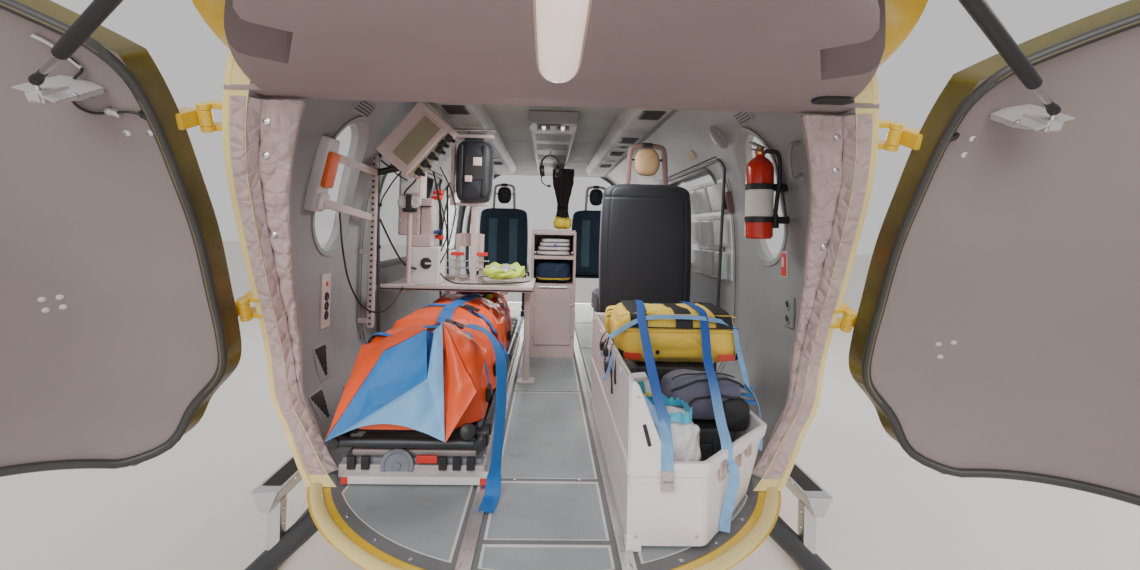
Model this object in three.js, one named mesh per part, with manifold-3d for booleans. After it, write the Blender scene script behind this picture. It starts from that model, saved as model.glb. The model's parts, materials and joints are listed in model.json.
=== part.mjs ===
// Air ambulance helicopter cabin section: a fuselage barrel with clamshell, sliding and cockpit
// doors, its medical interior and the skid landing gear it stands on.
// Units are millimetres. x is right, y is forward, z is up, and the ground is z = 0.
import * as THREE from 'three';
import { mergeVertices } from 'three/addons/utils/BufferGeometryUtils.js';
import Module from 'manifold-3d';

const wasm = await Module();
wasm.setup();

// Places inside the airframe group are x, station (forward of the reference plane behind the boom)
// and height above the cabin floor.
const FLOOR_HEIGHT = 800;
const MID_STATION = 2690;
const GAP = 0.3;

// Fuselage section: half-width 865 at the waist, fuller above it than below
const SECTION = { half: 865, waist: 450, rise: 950, drop: 650, upperPower: 3.2, lowerPower: 2.6 };
// Rear capsule in plan: it starts at shoulder, leans forward with height, and is depth long
const CAPSULE = { shoulder: 1700, lean: 420, leanHeight: 1150, leanPower: 1.6, depth: 714, swell: 110,
  swellHeight: 1100 };
const FRONT = 5100;
const PAST_FRONT = FRONT + 100;
const WALL = 50;
const DOOR_GAP = 6;

// Doorway of the clamshells, seen from the side: its front edge as station by height
const DOORWAY = [
  { height: 0, station: 1432 }, { height: 100, station: 1528 }, { height: 200, station: 1530 },
  { height: 330, station: 1552 }, { height: 455, station: 1509 }, { height: 551, station: 1462 },
  { height: 728, station: 1376 }, { height: 854, station: 1306 }, { height: 1022, station: 1222 },
  { height: 1240, station: 1105 },
];
const DOOR_BOTTOM = 36;
const PARTING = { height: 1120, slope: 0.08, station: 1200, gap: 4 };
const POST_DEPTH = 118;
const FRONT_FRAME = { wall: 75, depth: 60 };
const LINTEL = { bottom: 1045, top: 1120, rear: 1210, front: 1290 };
const ROOF_REAR = 1300;

// Clamshell hinge line on the right side and how far the doors stand open
const CLAMSHELL = { lower: [887, 1505, 454], upper: [855, 1244, 1015], openDegrees: 94.9 };
const HINGE = { pin: 8, bore: 8.6, knuckle: 16, length: 40, play: 0.5, lug: 14, lugArm: 46,
  outerShare: 0.5, armShare: 0.8, lugShare: 0.4, roomHalf: 40, room: 5 };
// Door strut: a thin barrel on a pivot in the boom root, and a rod whose guard sleeve slides over it.
// pin is the ball on the closed door; lengths run from the pivot with the door open.
const STRUT = { pivot: [300, 565, 1215], pin: [605, 1095, 1015], barrel: 9.5, barrelLength: 480,
  sleeve: 13, sleeveStart: 250, thinLength: 130, rod: 6, socket: 7.5, socketLength: 26, socketGap: 6,
  slide: 0.6, eye: 15, eyeHalf: 14, post: 6, postHead: 10, postLength: 60, ball: 7, clear: 20 };
// Bracket of the ball, as an outline along and up the door, and how far it reaches across
const BRACKET = { outward: [62, -6, 6], outline: [[-60, -74], [60, -74], [60, -54], [0, -30], [-60, -16]],
  inner: -12, outer: 115, stud: 5, studDrop: 40 };

const SIDE_DOOR = { bottom: 36, top: 1069, taper: 0.22 };
const SLIDING_DOOR = { rear: 2200, front: 3420 };
const COCKPIT_DOOR = { rear: 3700, front: 4860 };
const COCKPIT_HINGE = { x: 884, station: 4868, heights: [300, 640], reach: 29, arm: 40 };
const WINDOW_GLASS = { outer: 14, inner: 22, from: 300 };

const TUBE = { radius: 35, stations: [1680, 4100], channel: 50, saddle: 450, steps: 28 };
const SKID = { x: 1200, radius: 34, height: -762, rear: 1250, middle: 2400, straight: 400, bend: 4450,
  curve: 300, lift: 40, tip: 5020, tipHeight: -560, steps: 14 };
const STEP = { inner: 830, outer: 910, slope: 25, edge: 8, top: -100, drop: 65, rear: 1600, front: 4200 };

const BOOM = { rear: 300, flangeRadius: 232, flangeDepth: 20, radius: 205, height: 1335, sides: 24 };

const FINISH = {
  yellow: { color: 0xe8c31c, roughness: 0.3, metalness: 0.0 },
  mauve: { color: 0xb79c9c, roughness: 0.6, metalness: 0.0 },
  trimGrey: { color: 0x8d8f98, roughness: 0.65, metalness: 0.0 },
  floorGrey: { color: 0x7f8b95, roughness: 0.7, metalness: 0.1 },
  quilt: { color: 0xb9a3a0, roughness: 0.9, metalness: 0.0 },
  aluminium: { color: 0xb9bcc0, roughness: 0.35, metalness: 0.9 },
  darkMetal: { color: 0x35383c, roughness: 0.5, metalness: 0.6 },
  steel: { color: 0x9aa0a6, roughness: 0.25, metalness: 1.0 },
  white: { color: 0xeae6e6, roughness: 0.5, metalness: 0.0 },
  pale: { color: 0xcdbcb8, roughness: 0.5, metalness: 0.0 },
  black: { color: 0x1c2028, roughness: 0.6, metalness: 0.0 },
  navy: { color: 0x26384f, roughness: 0.6, metalness: 0.0 },
  orange: { color: 0xe4522c, roughness: 0.6, metalness: 0.0 },
  bagYellow: { color: 0xdfb54a, roughness: 0.7, metalness: 0.0 },
  bagGrey: { color: 0x3b4252, roughness: 0.8, metalness: 0.0 },
  bagWhite: { color: 0xd9dde6, roughness: 0.6, metalness: 0.0 },
  red: { color: 0xc93a2c, roughness: 0.3, metalness: 0.2 },
  curtain: { color: 0x40343a, roughness: 0.9, metalness: 0.0 },
  glass: { color: 0xdfe8ea, roughness: 0.05, metalness: 0.0 },
};

// Geometry helpers

// Six times the signed volume inside a closed mesh: negative when its faces point inwards
function signedVolume(points, index) {
  const [a, b, c] = [new THREE.Vector3(), new THREE.Vector3(), new THREE.Vector3()];
  let volume = 0;
  for (let i = 0; i < index.length; i += 3) {
    a.fromArray(points, 3 * index[i]);
    b.fromArray(points, 3 * index[i + 1]);
    c.fromArray(points, 3 * index[i + 2]);
    volume += a.dot(b.cross(c));
  }
  return volume;
}

// A closed geometry as a manifold solid facing out, without triangles that collapse on merging
function solid(geometry) {
  const bare = geometry.clone();
  bare.deleteAttribute('normal');
  bare.deleteAttribute('uv');
  const merged = mergeVertices(bare, 1e-3);
  const index = merged.index.array;
  const kept = [];
  for (let i = 0; i < index.length; i += 3) {
    const [a, b, c] = [index[i], index[i + 1], index[i + 2]];
    if (a !== b && b !== c && a !== c) kept.push(a, b, c);
  }
  if (signedVolume(merged.attributes.position.array, kept) < 0) kept.reverse();
  return new wasm.Manifold(new wasm.Mesh({
    numProp: 3,
    vertProperties: new Float32Array(merged.attributes.position.array),
    triVerts: new Uint32Array(kept),
  }));
}

function geometryOf(body) {
  const mesh = body.getMesh();
  const geometry = new THREE.BufferGeometry();
  geometry.setAttribute('position', new THREE.BufferAttribute(new Float32Array(mesh.vertProperties), 3));
  geometry.setIndex(new THREE.BufferAttribute(new Uint32Array(mesh.triVerts), 1));
  geometry.computeVertexNormals();
  return geometry;
}

const join = (...bodies) => bodies.reduce((sum, body) => sum.add(body));
const cut = (body, ...tools) => tools.reduce((rest, tool) => rest.subtract(tool), body);

// A solid between rings of points, each ring a closed outline with the same number of points
function loft(rings) {
  const count = rings[0].length;
  const points = rings.flat();
  const index = [];
  for (let r = 0; r + 1 < rings.length; r += 1) {
    for (let k = 0; k < count; k += 1) {
      const next = (k + 1) % count;
      const [a, b, c, d] = [r * count + k, r * count + next, (r + 1) * count + next, (r + 1) * count + k];
      index.push(a, b, c, a, c, d);
    }
  }
  const last = (rings.length - 1) * count;
  for (let k = 1; k + 1 < count; k += 1) {
    index.push(0, k + 1, k);
    index.push(last, last + k, last + k + 1);
  }
  const geometry = new THREE.BufferGeometry();
  geometry.setAttribute('position', new THREE.BufferAttribute(new Float32Array(points.flat()), 3));
  geometry.setIndex(index);
  return solid(geometry);
}

function box(x, station, height) {
  const geometry = new THREE.BoxGeometry(x[1] - x[0], station[1] - station[0], height[1] - height[0]);
  geometry.translate((x[0] + x[1]) / 2, (station[0] + station[1]) / 2, (height[0] + height[1]) / 2);
  return solid(geometry);
}

// Outlines extruded along x, y or z; each outline is a THREE.Shape or a list of corners
function extrude(outline, depth) {
  const shape = Array.isArray(outline)
    ? new THREE.Shape(outline.map(([u, v]) => new THREE.Vector2(u, v))) : outline;
  return new THREE.ExtrudeGeometry(shape, { depth, bevelEnabled: false, curveSegments: 6 });
}

// Outline of station and height, extruded along x
function acrossPrism(outline, from, to) {
  const geometry = extrude(outline, to - from);
  geometry.applyMatrix4(new THREE.Matrix4().makeBasis(
    new THREE.Vector3(0, 1, 0), new THREE.Vector3(0, 0, 1), new THREE.Vector3(1, 0, 0)));
  geometry.translate(from, 0, 0);
  return solid(geometry);
}

// Outline of x and height, extruded along the station
function alongPrism(outline, from, to) {
  const geometry = extrude(outline, to - from);
  geometry.rotateX(Math.PI / 2);
  geometry.translate(0, to, 0);
  return solid(geometry);
}

// Outline of x and station, extruded upwards
function uprightPrism(outline, from, to) {
  const geometry = extrude(outline, to - from);
  geometry.translate(0, 0, from);
  return solid(geometry);
}

function roundedShape(centre, size, radius) {
  const [u, v] = [centre[0] - size[0] / 2, centre[1] - size[1] / 2];
  const [w, h] = size;
  const shape = new THREE.Shape();
  shape.moveTo(u + radius, v);
  shape.lineTo(u + w - radius, v);
  shape.absarc(u + w - radius, v + radius, radius, -Math.PI / 2, 0);
  shape.lineTo(u + w, v + h - radius);
  shape.absarc(u + w - radius, v + h - radius, radius, 0, Math.PI / 2);
  shape.lineTo(u + radius, v + h);
  shape.absarc(u + radius, v + h - radius, radius, Math.PI / 2, Math.PI);
  shape.lineTo(u, v + radius);
  shape.absarc(u + radius, v + radius, radius, Math.PI, 1.5 * Math.PI);
  return shape;
}

// A straight round bar between two points
function bar(from, to, radius, sides = 12) {
  const start = new THREE.Vector3(...from);
  const end = new THREE.Vector3(...to);
  const direction = end.clone().sub(start);
  const geometry = new THREE.CylinderGeometry(radius, radius, direction.length(), sides);
  const turn = new THREE.Quaternion().setFromUnitVectors(
    new THREE.Vector3(0, 1, 0), direction.clone().normalize());
  geometry.applyQuaternion(turn);
  const middle = start.add(end).multiplyScalar(0.5);
  geometry.translate(middle.x, middle.y, middle.z);
  return solid(geometry);
}

function ball(centre, radius) {
  const geometry = new THREE.SphereGeometry(radius, 12, 8);
  geometry.translate(...centre);
  return solid(geometry);
}

// A round tube carried along a smooth curve through the points
function tube(points, radius, steps = 24, sides = 12) {
  const curve = new THREE.CatmullRomCurve3(points.map((p) => new THREE.Vector3(...p)), false, 'centripetal');
  const section = new THREE.Shape(Array.from({ length: sides }, (_, k) => {
    const angle = (2 * Math.PI * k) / sides;
    return new THREE.Vector2(radius * Math.cos(angle), radius * Math.sin(angle));
  }));
  return solid(new THREE.ExtrudeGeometry(section, { steps, extrudePath: curve, bevelEnabled: false }));
}

// A pillow-like solid: an ellipsoid whose section is squared by the power
function pillow(centre, size, power = 0.45) {
  const geometry = new THREE.SphereGeometry(1, 16, 8);
  const position = geometry.attributes.position;
  const squared = (value) => Math.sign(value) * Math.abs(value) ** power;
  for (let i = 0; i < position.count; i += 1) {
    const point = [position.getX(i), position.getY(i), position.getZ(i)];
    position.setXYZ(i, ...point.map((value, k) => centre[k] + (size[k] / 2) * squared(value)));
  }
  return solid(geometry);
}

// The same solid on the other side of the centre plane
function mirrored(body) {
  const geometry = geometryOf(body);
  geometry.scale(-1, 1, 1);
  return solid(geometry);
}

// Fuselage surface

const clamp01 = (value) => Math.min(1, Math.max(0, value));

function sectionProfile(inset) {
  const half = SECTION.half - inset;
  const level = (power, reach, angle) => ({
    half: half * Math.cos(angle) ** (2 / power),
    height: SECTION.waist + reach * Math.sin(Math.abs(angle)) ** (2 / power),
  });
  const rows = [];
  for (let k = -8; k < 0; k += 1) {
    rows.push(level(SECTION.lowerPower, -(SECTION.drop - inset), (k * Math.PI) / 16));
  }
  for (let k = 0; k <= 10; k += 1) {
    rows.push(level(SECTION.upperPower, SECTION.rise - inset, (k * Math.PI) / 20));
  }
  return rows;
}

function halfWidth(height, inset = 0) {
  const above = height > SECTION.waist;
  const reach = (above ? SECTION.rise : SECTION.drop) - inset;
  const power = above ? SECTION.upperPower : SECTION.lowerPower;
  const share = clamp01(Math.abs(height - SECTION.waist) / reach);
  return (SECTION.half - inset) * (1 - share ** power) ** (1 / power);
}

const shoulderStation = (height) => CAPSULE.shoulder
  - CAPSULE.lean * clamp01(height / CAPSULE.leanHeight) ** CAPSULE.leanPower;

function capsuleDepth(row, inset) {
  const swollen = CAPSULE.depth + CAPSULE.swell * clamp01(row.height / CAPSULE.swellHeight) - inset;
  return row.height < 0 ? swollen * Math.min(1, row.half / (halfWidth(0) - inset)) : swollen;
}

// x of the skin shrunk by inset, at a height and station
function skinX(height, station, inset) {
  const half = halfWidth(height, inset);
  const behind = clamp01((shoulderStation(height) - station) / capsuleDepth({ height, half }, inset));
  return half * Math.sqrt(1 - behind ** 2);
}

// The whole outer form, shrunk by inset, as a stack of plan outlines with an elliptical rear
function hull(inset, front = FRONT) {
  const quarter = 10;
  const rows = sectionProfile(inset).map((row) => {
    const shoulder = shoulderStation(row.height);
    const depth = capsuleDepth(row, inset);
    const side = [[row.half, front, row.height]];
    for (let k = 0; k <= quarter; k += 1) {
      const angle = (Math.PI / 2) * (1 - k / quarter);
      side.push([row.half * Math.sin(angle), shoulder - depth * Math.cos(angle), row.height]);
    }
    side[side.length - 1][0] = 0;
    const otherSide = side.slice(0, -1).reverse().map(([x, station, height]) => [-x, station, height]);
    return [...side, ...otherSide];
  });
  rows[0].forEach((point) => { point[0] = 0; });
  rows[rows.length - 1].forEach((point) => { point[0] = 0; });
  return loft(rows);
}

function doorwayStation(height) {
  const next = Math.max(1, DOORWAY.findIndex((row) => row.height >= height));
  const [low, high] = [DOORWAY[next - 1], DOORWAY[next]];
  const share = (height - low.height) / (high.height - low.height);
  return low.station + share * (high.station - low.station);
}

// Side outline behind or in front of the doorway edge, moved by offset
function doorwayOutline(offset, far, low, high) {
  const heights = [low, ...DOORWAY.map((row) => row.height).filter((h) => h > low && h < high), high];
  const edge = heights.map((height) => [doorwayStation(height) + offset, height]);
  return [...edge, [far, high], [far, low]];
}

const partingHeight = (station) => PARTING.height + PARTING.slope * (PARTING.station - station);

// Everything above or below the sloping line where the doors meet the boom root
function partingOutline(offset, edge) {
  return [[0, partingHeight(0) + offset], [FAR, partingHeight(FAR) + offset], [FAR, edge], [0, edge]];
}

// Reaches past everything, for cutting tools
const WIDE = 2000;
const DEEP = -400;
const HIGH = 2000;
const FAR = 3000;
const PAST = 1;
const across = (outline) => acrossPrism(outline, -WIDE, WIDE);

// Assembly

const part = new THREE.Group();
const airframe = new THREE.Group();
airframe.position.set(0, -MID_STATION, FLOOR_HEIGHT);
part.add(airframe);

function piece(name, body, finish, carrier = airframe) {
  const mesh = new THREE.Mesh(geometryOf(body), new THREE.MeshStandardMaterial(FINISH[finish]));
  mesh.name = name;
  carrier.add(mesh);
  return mesh;
}

function pair(name, body, finish, carriers = { L: airframe, R: airframe }) {
  piece(`${name}_R`, body, finish, carriers.R);
  piece(`${name}_L`, mirrored(body), finish, carriers.L);
}

// A group turned about a line; what is put in it is drawn as it lies before the turn
function turnedGroup(pivot, axis, degrees) {
  const outer = new THREE.Group();
  outer.position.set(...pivot);
  outer.quaternion.setFromAxisAngle(new THREE.Vector3(...axis), THREE.MathUtils.degToRad(degrees));
  const inner = new THREE.Group();
  inner.position.set(...pivot.map((value) => -value));
  outer.add(inner);
  airframe.add(outer);
  return inner;
}

const outerHull = hull(0);
const shell = cut(hull(0), hull(WALL, PAST_FRONT));
const insideWalls = hull(WALL + GAP, PAST_FRONT);
const WALL_END = FRONT - FRONT_FRAME.depth - GAP;

// Belly tub with its channels for the cross tubes, and the floor set into it
const FLOOR = { inset: 35, play: 3, depth: 27 };
const CHANNEL = { reach: 900, bottom: -300, top: -100 };
const channels = TUBE.stations.map((station) =>
  box([-CHANNEL.reach, CHANNEL.reach], [station - TUBE.channel, station + TUBE.channel],
    [CHANNEL.bottom, CHANNEL.top]));
const FLOOR_END = FRONT - FRONT_FRAME.depth;
piece('belly_tub', cut(
  outerHull.intersect(box([-WIDE, WIDE], [0, FRONT], [DEEP, 0])),
  hull(FLOOR.inset, PAST_FRONT).intersect(box([-WIDE, WIDE], [0, FLOOR_END], [-FLOOR.depth, PAST])),
  ...channels,
), 'yellow');
const floorSlab = hull(FLOOR.inset + FLOOR.play)
  .intersect(box([-WIDE, WIDE], [0, FLOOR_END - PAST], [-FLOOR.depth + GAP, 0]));

// Rails on the floor: x of each rail with the stations where it starts and ends
const RAILS = [
  { x: -590, rear: 1524, front: 4500 }, { x: -178, rear: 1090, front: 4500 },
  { x: 178, rear: 1090, front: 4500 }, { x: 590, rear: 1524, front: 4500 },
];
const RAIL = { half: 17, height: 6, slot: 6, lip: 3 };
const ON_RAILS = RAIL.height + GAP;
piece('cabin_floor', join(floorSlab, ...RAILS.map(({ x, rear, front }) => cut(
  box([x - RAIL.half, x + RAIL.half], [rear, front], [-PAST, RAIL.height]),
  box([x - RAIL.slot, x + RAIL.slot], [rear - PAST, front + PAST], [RAIL.lip, RAIL.height + PAST]),
))), 'floorGrey');

// Side walls with their door openings and rear windows
const OPENING_X = [560, 960];
const tapered = (x, lean) => (x - SECTION.half) * -SIDE_DOOR.taper + lean;
function sideOpening(door, offset) {
  const [inner, outer] = OPENING_X;
  return uprightPrism([
    [inner, door.rear + tapered(inner, offset)], [outer, door.rear + tapered(outer, offset)],
    [outer, door.front - tapered(outer, offset)], [inner, door.front - tapered(inner, offset)],
  ], SIDE_DOOR.bottom - DOOR_GAP + offset, SIDE_DOOR.top + DOOR_GAP - offset);
}
const WINDOWS = {
  rear: { centre: [1885, 870], size: [300, 480], radius: 140 },
  sliding: { centre: [2810, 790], size: [900, 480], radius: 90 },
  cockpit: { centre: [4290, 780], size: [840, 480], radius: 90 },
};
const windowCut = ({ centre, size, radius }, inset = 0) => acrossPrism(
  roundedShape(centre, [size[0] - 2 * inset, size[1] - 2 * inset], radius - inset), WINDOW_GLASS.from, WIDE);
const rightHalf = box([0, WIDE], [0, PAST_FRONT], [DEEP, HIGH]);
const rightShell = shell.intersect(rightHalf);
const wallZone = acrossPrism(
  doorwayOutline(DOOR_GAP + POST_DEPTH + GAP, WALL_END, GAP, LINTEL.top), 0, WIDE);
const cockpitHingePlaces = COCKPIT_HINGE.heights.map((height) => hingeMatrix(
  [COCKPIT_HINGE.x, COCKPIT_HINGE.station, height], new THREE.Vector3(0, 0, 1)));
pair('wall', join(cut(
  rightShell.intersect(wallZone),
  sideOpening(SLIDING_DOOR, 0),
  sideOpening(COCKPIT_DOOR, 0),
  windowCut(WINDOWS.rear),
), ...cockpitHingePlaces.map((place) => placed(hingePin(COCKPIT_HINGE.reach), place))), 'yellow');

// The sliding door rests on the sill through two runners
const RUNNER = { x: [708, 738], rears: [2400, 3140], length: 80, root: 5 };
const runners = RUNNER.rears.map((rear) => box(RUNNER.x, [rear, rear + RUNNER.length],
  [SIDE_DOOR.bottom - DOOR_GAP + GAP, SIDE_DOOR.bottom + RUNNER.root]));
const slidingDoor = join(cut(rightShell.intersect(sideOpening(SLIDING_DOOR, DOOR_GAP)),
  windowCut(WINDOWS.sliding)), ...runners);
pair('sliding_door', slidingDoor, 'yellow');

function pane(window) {
  return cut(hull(WINDOW_GLASS.outer), hull(WINDOW_GLASS.inner, PAST_FRONT))
    .intersect(windowCut(window, GAP));
}
pair('rear_window', pane(WINDOWS.rear), 'glass');
pair('sliding_window', pane(WINDOWS.sliding), 'glass');

// Roof with the gearbox deck and its four feet
const DECK = { half: 430, rear: 2050, front: 3650, low: 1300, top: 1425, root: 5 };
const DECK_FOOT = { half: 70, x: 330, inset: 160, top: 1455 };
const deckFeet = [-DECK_FOOT.x, DECK_FOOT.x].flatMap((x) =>
  [DECK.rear + DECK_FOOT.inset, DECK.front - DECK_FOOT.inset].map((station) =>
    box([x - DECK_FOOT.half, x + DECK_FOOT.half], [station - DECK_FOOT.half, station + DECK_FOOT.half],
      [DECK.top - DECK.root, DECK_FOOT.top])));
const roofShell = shell.intersect(
  box([-WIDE, WIDE], [ROOF_REAR + GAP, WALL_END], [LINTEL.top + GAP, HIGH]));
piece('roof', join(roofShell,
  cut(box([-DECK.half, DECK.half], [DECK.rear, DECK.front], [DECK.low, DECK.top]),
    hull(WALL - DECK.root, PAST_FRONT)),
  ...deckFeet), 'yellow');

// Rear door frame: two posts on the belly tub and the lintel over the doorway
const posts = shell
  .intersect(across(doorwayOutline(DOOR_GAP, FAR, GAP, LINTEL.top)))
  .subtract(across(doorwayOutline(DOOR_GAP + POST_DEPTH, FAR + PAST, 0, LINTEL.top + PAST)));
const lintel = outerHull.intersect(
  box([-WIDE, WIDE], [LINTEL.rear + GAP, LINTEL.front], [LINTEL.bottom, LINTEL.top]));
const belowFloor = box([-WIDE, WIDE], [0, FAR], [DEEP, GAP]);

// Right clamshell door, drawn closed
const clamshellAxis = new THREE.Vector3(...CLAMSHELL.upper)
  .sub(new THREE.Vector3(...CLAMSHELL.lower)).normalize();
const axisPoint = (height) => {
  const share = (height - CLAMSHELL.lower[2]) / (CLAMSHELL.upper[2] - CLAMSHELL.lower[2]);
  return CLAMSHELL.lower.map((value, k) => value + share * (CLAMSHELL.upper[k] - value));
};

// Hinge frame of reference: x across the pin inboard to outboard, y forward, z along the pin
function hingeMatrix(origin, axis) {
  const along = axis.clone();
  const outboard = new THREE.Vector3(1, 0, 0).addScaledVector(along, -along.x).normalize();
  const forward = along.clone().cross(outboard);
  return new THREE.Matrix4().makeBasis(outboard, forward, along).setPosition(...origin);
}

function placed(body, matrix) {
  const geometry = geometryOf(body);
  geometry.applyMatrix4(matrix);
  return solid(geometry);
}

// The moving half of a hinge: a bored knuckle with an arm back to the door
function knuckle(reach, arm) {
  const half = HINGE.length / 2;
  return cut(join(
    bar([0, 0, -half], [0, 0, half], HINGE.knuckle),
    box([-reach, HINGE.knuckle * HINGE.outerShare], [-arm, -HINGE.knuckle * HINGE.armShare],
      [-half, half]),
  ), bar([0, 0, -half - PAST], [0, 0, half + PAST], HINGE.bore));
}

// The fixed half: the pin and two lugs forward to the frame
function hingePin(reach) {
  const inner = HINGE.length / 2 + HINGE.play;
  const outer = inner + HINGE.lug;
  const lugs = [[inner, outer], [-outer, -inner]].map((span) => join(
    bar([0, 0, span[0]], [0, 0, span[1]], HINGE.knuckle),
    box([-reach, HINGE.knuckle * HINGE.outerShare], [HINGE.knuckle * HINGE.lugShare, HINGE.lugArm],
      span),
  ));
  return join(bar([0, 0, -outer], [0, 0, outer], HINGE.pin), ...lugs);
}

const CLAMSHELL_HINGES = [{ height: 480, reach: 42, arm: 58 }, { height: 985, reach: 62, arm: 58 }];
const hingePlace = (height) => hingeMatrix(axisPoint(height), clamshellAxis);
const framePins = CLAMSHELL_HINGES.map(({ height, reach }) =>
  placed(hingePin(reach), hingePlace(height)));
piece('rear_frame', cut(join(posts, lintel, ...framePins, ...framePins.map(mirrored)), belowFloor),
  'yellow');

const DOOR_INNER = 4;
const doorZone = acrossPrism(doorwayOutline(-DOOR_GAP, 0, DOOR_BOTTOM, HIGH), DOOR_INNER, WIDE);
const knuckleRoom = CLAMSHELL_HINGES.map(({ height }) => placed(
  bar([0, 0, -HINGE.roomHalf], [0, 0, HINGE.roomHalf], HINGE.knuckle + HINGE.room),
  hingePlace(height)));
// The bracket's frame: x along the door towards the hinge, y up, z out through the skin
const bracketOut = new THREE.Vector3(...BRACKET.outward).normalize();
const bracketUp = clamshellAxis.clone().addScaledVector(bracketOut, -clamshellAxis.dot(bracketOut))
  .normalize();
const bracketPlace = new THREE.Matrix4().makeBasis(
  bracketUp.clone().cross(bracketOut), bracketUp, bracketOut).setPosition(...STRUT.pin);
const ballStud = placed(join(
  uprightPrism(BRACKET.outline, BRACKET.inner, BRACKET.outer),
  bar([0, 0, 0], [0, -BRACKET.studDrop, 0], BRACKET.stud),
  ball([0, 0, 0], STRUT.ball),
), bracketPlace);
const doorSkin = rightShell.intersect(doorZone)
  .intersect(across(partingOutline(-PARTING.gap, DEEP)));
const clamshellDoor = join(
  cut(doorSkin, ...knuckleRoom),
  ...CLAMSHELL_HINGES.map(({ height, reach, arm }) => placed(knuckle(reach, arm), hingePlace(height))),
  ballStud,
);
const clamshells = {
  R: turnedGroup(CLAMSHELL.lower, clamshellAxis.toArray(), CLAMSHELL.openDegrees),
  L: turnedGroup([-CLAMSHELL.lower[0], CLAMSHELL.lower[1], CLAMSHELL.lower[2]],
    [-clamshellAxis.x, clamshellAxis.y, clamshellAxis.z], -CLAMSHELL.openDegrees),
};
pair('clamshell_door', clamshellDoor, 'yellow', clamshells);

// Boom root: the fuselage above the doors tapers into a round boom with a joining flange
function boomRing(station, width, height, rise, power) {
  return Array.from({ length: BOOM.sides }, (_, k) => {
    const angle = (2 * Math.PI * k) / BOOM.sides;
    const [c, s] = [Math.cos(angle), Math.sin(angle)];
    return [width * Math.sign(c) * Math.abs(c) ** (2 / power), station,
      height + rise * Math.sign(s) * Math.abs(s) ** (2 / power)];
  });
}
const BOOM_SECTIONS = [
  { station: 1290, width: 620, height: 1270, rise: 128, power: 3.2 },
  { station: 1000, width: 500, height: 1288, rise: 140, power: 2.8 },
  { station: 700, width: 330, height: 1315, rise: 172, power: 2.3 },
  { station: 460, width: 225, height: 1332, rise: 200, power: 2 },
  { station: BOOM.rear, width: BOOM.radius, height: BOOM.height, rise: BOOM.radius, power: 2 },
];
const capZone = across(partingOutline(PARTING.gap, HIGH))
  .intersect(box([-WIDE, WIDE], [0, ROOF_REAR], [LINTEL.top + GAP, HIGH]));
const flange = bar([0, BOOM.rear - BOOM.flangeDepth, BOOM.height], [0, BOOM.rear, BOOM.height],
  BOOM.flangeRadius, 32);
const boomCone = loft(BOOM_SECTIONS.map((row) =>
  boomRing(row.station, row.width, row.height, row.rise, row.power)));

// Door struts, drawn along the line from the pivot to the open door's ball
const vector = (place) => new THREE.Vector3(...place);
const openTurn = new THREE.Quaternion().setFromAxisAngle(
  clamshellAxis, THREE.MathUtils.degToRad(CLAMSHELL.openDegrees));
const openPin = vector(STRUT.pin).sub(vector(CLAMSHELL.lower)).applyQuaternion(openTurn)
  .add(vector(CLAMSHELL.lower));
const openLine = openPin.clone().sub(vector(STRUT.pivot));
const closedLine = vector(STRUT.pin).sub(vector(STRUT.pivot));
const strutAxis = openLine.clone().cross(closedLine).normalize();
// The strut's frame: x along the open strut, y towards the closed one, z along the pivot
const strutPlace = new THREE.Matrix4().makeBasis(
  openLine.clone().normalize(), strutAxis.clone().cross(openLine).normalize(), strutAxis,
).setPosition(...STRUT.pivot);
const onStrut = (body) => placed(body, strutPlace);
const along = (from, to, radius) => bar([from, 0, 0], [to, 0, 0], radius);
const swingAngle = openLine.angleTo(closedLine);

// Slot that the strut swings in, through the boom root and the panel under it
const slotReach = openLine.length() + 2 * STRUT.clear;
const closedTurn = (u, v) => [u * Math.cos(swingAngle) - v * Math.sin(swingAngle),
  u * Math.sin(swingAngle) + v * Math.cos(swingAngle)];
const slot = onStrut(uprightPrism([
  [-STRUT.clear, -STRUT.clear], [slotReach, -STRUT.clear],
  closedTurn(slotReach, STRUT.clear), closedTurn(-STRUT.clear, STRUT.clear),
], -STRUT.clear, STRUT.clear));
const slots = [slot, mirrored(slot)];

// The post that the barrel's eye turns on reaches up into the boom root
const upwards = Math.sign(strutAxis.z);
const strutPost = onStrut(join(
  bar([0, 0, -upwards * STRUT.eyeHalf], [0, 0, upwards * STRUT.postLength], STRUT.post),
  bar([0, 0, -upwards * (STRUT.eyeHalf + PAST)], [0, 0, -upwards * (STRUT.clear - PAST)],
    STRUT.postHead),
  bar([0, 0, -upwards * (STRUT.eyeHalf + 2 * PAST)], [0, 0, -upwards * STRUT.eyeHalf], STRUT.post),
));
piece('boom_root', join(cut(join(
  outerHull.intersect(capZone),
  boomCone.intersect(across(partingOutline(PARTING.gap, HIGH))),
), ...slots), flange, strutPost, mirrored(strutPost)), 'yellow');
pair('strut_barrel', onStrut(cut(
  join(along(0, STRUT.barrelLength, STRUT.barrel),
    bar([0, 0, -STRUT.eyeHalf], [0, 0, STRUT.eyeHalf], STRUT.eye)),
  bar([0, 0, -STRUT.eyeHalf - PAST], [0, 0, STRUT.eyeHalf + PAST], STRUT.post + STRUT.slide),
)), 'steel');
const rodEnd = openLine.length() - STRUT.ball - STRUT.socketGap;
const sleeveEnd = openLine.length() - STRUT.thinLength;
pair('strut_rod', onStrut(join(
  cut(along(STRUT.sleeveStart, sleeveEnd, STRUT.sleeve),
    along(STRUT.sleeveStart - PAST, sleeveEnd - STRUT.sleeve, STRUT.barrel + STRUT.slide)),
  along(sleeveEnd - PAST, rodEnd, STRUT.rod),
  along(rodEnd - STRUT.socketLength, rodEnd, STRUT.socket),
)), 'darkMetal');

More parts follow.
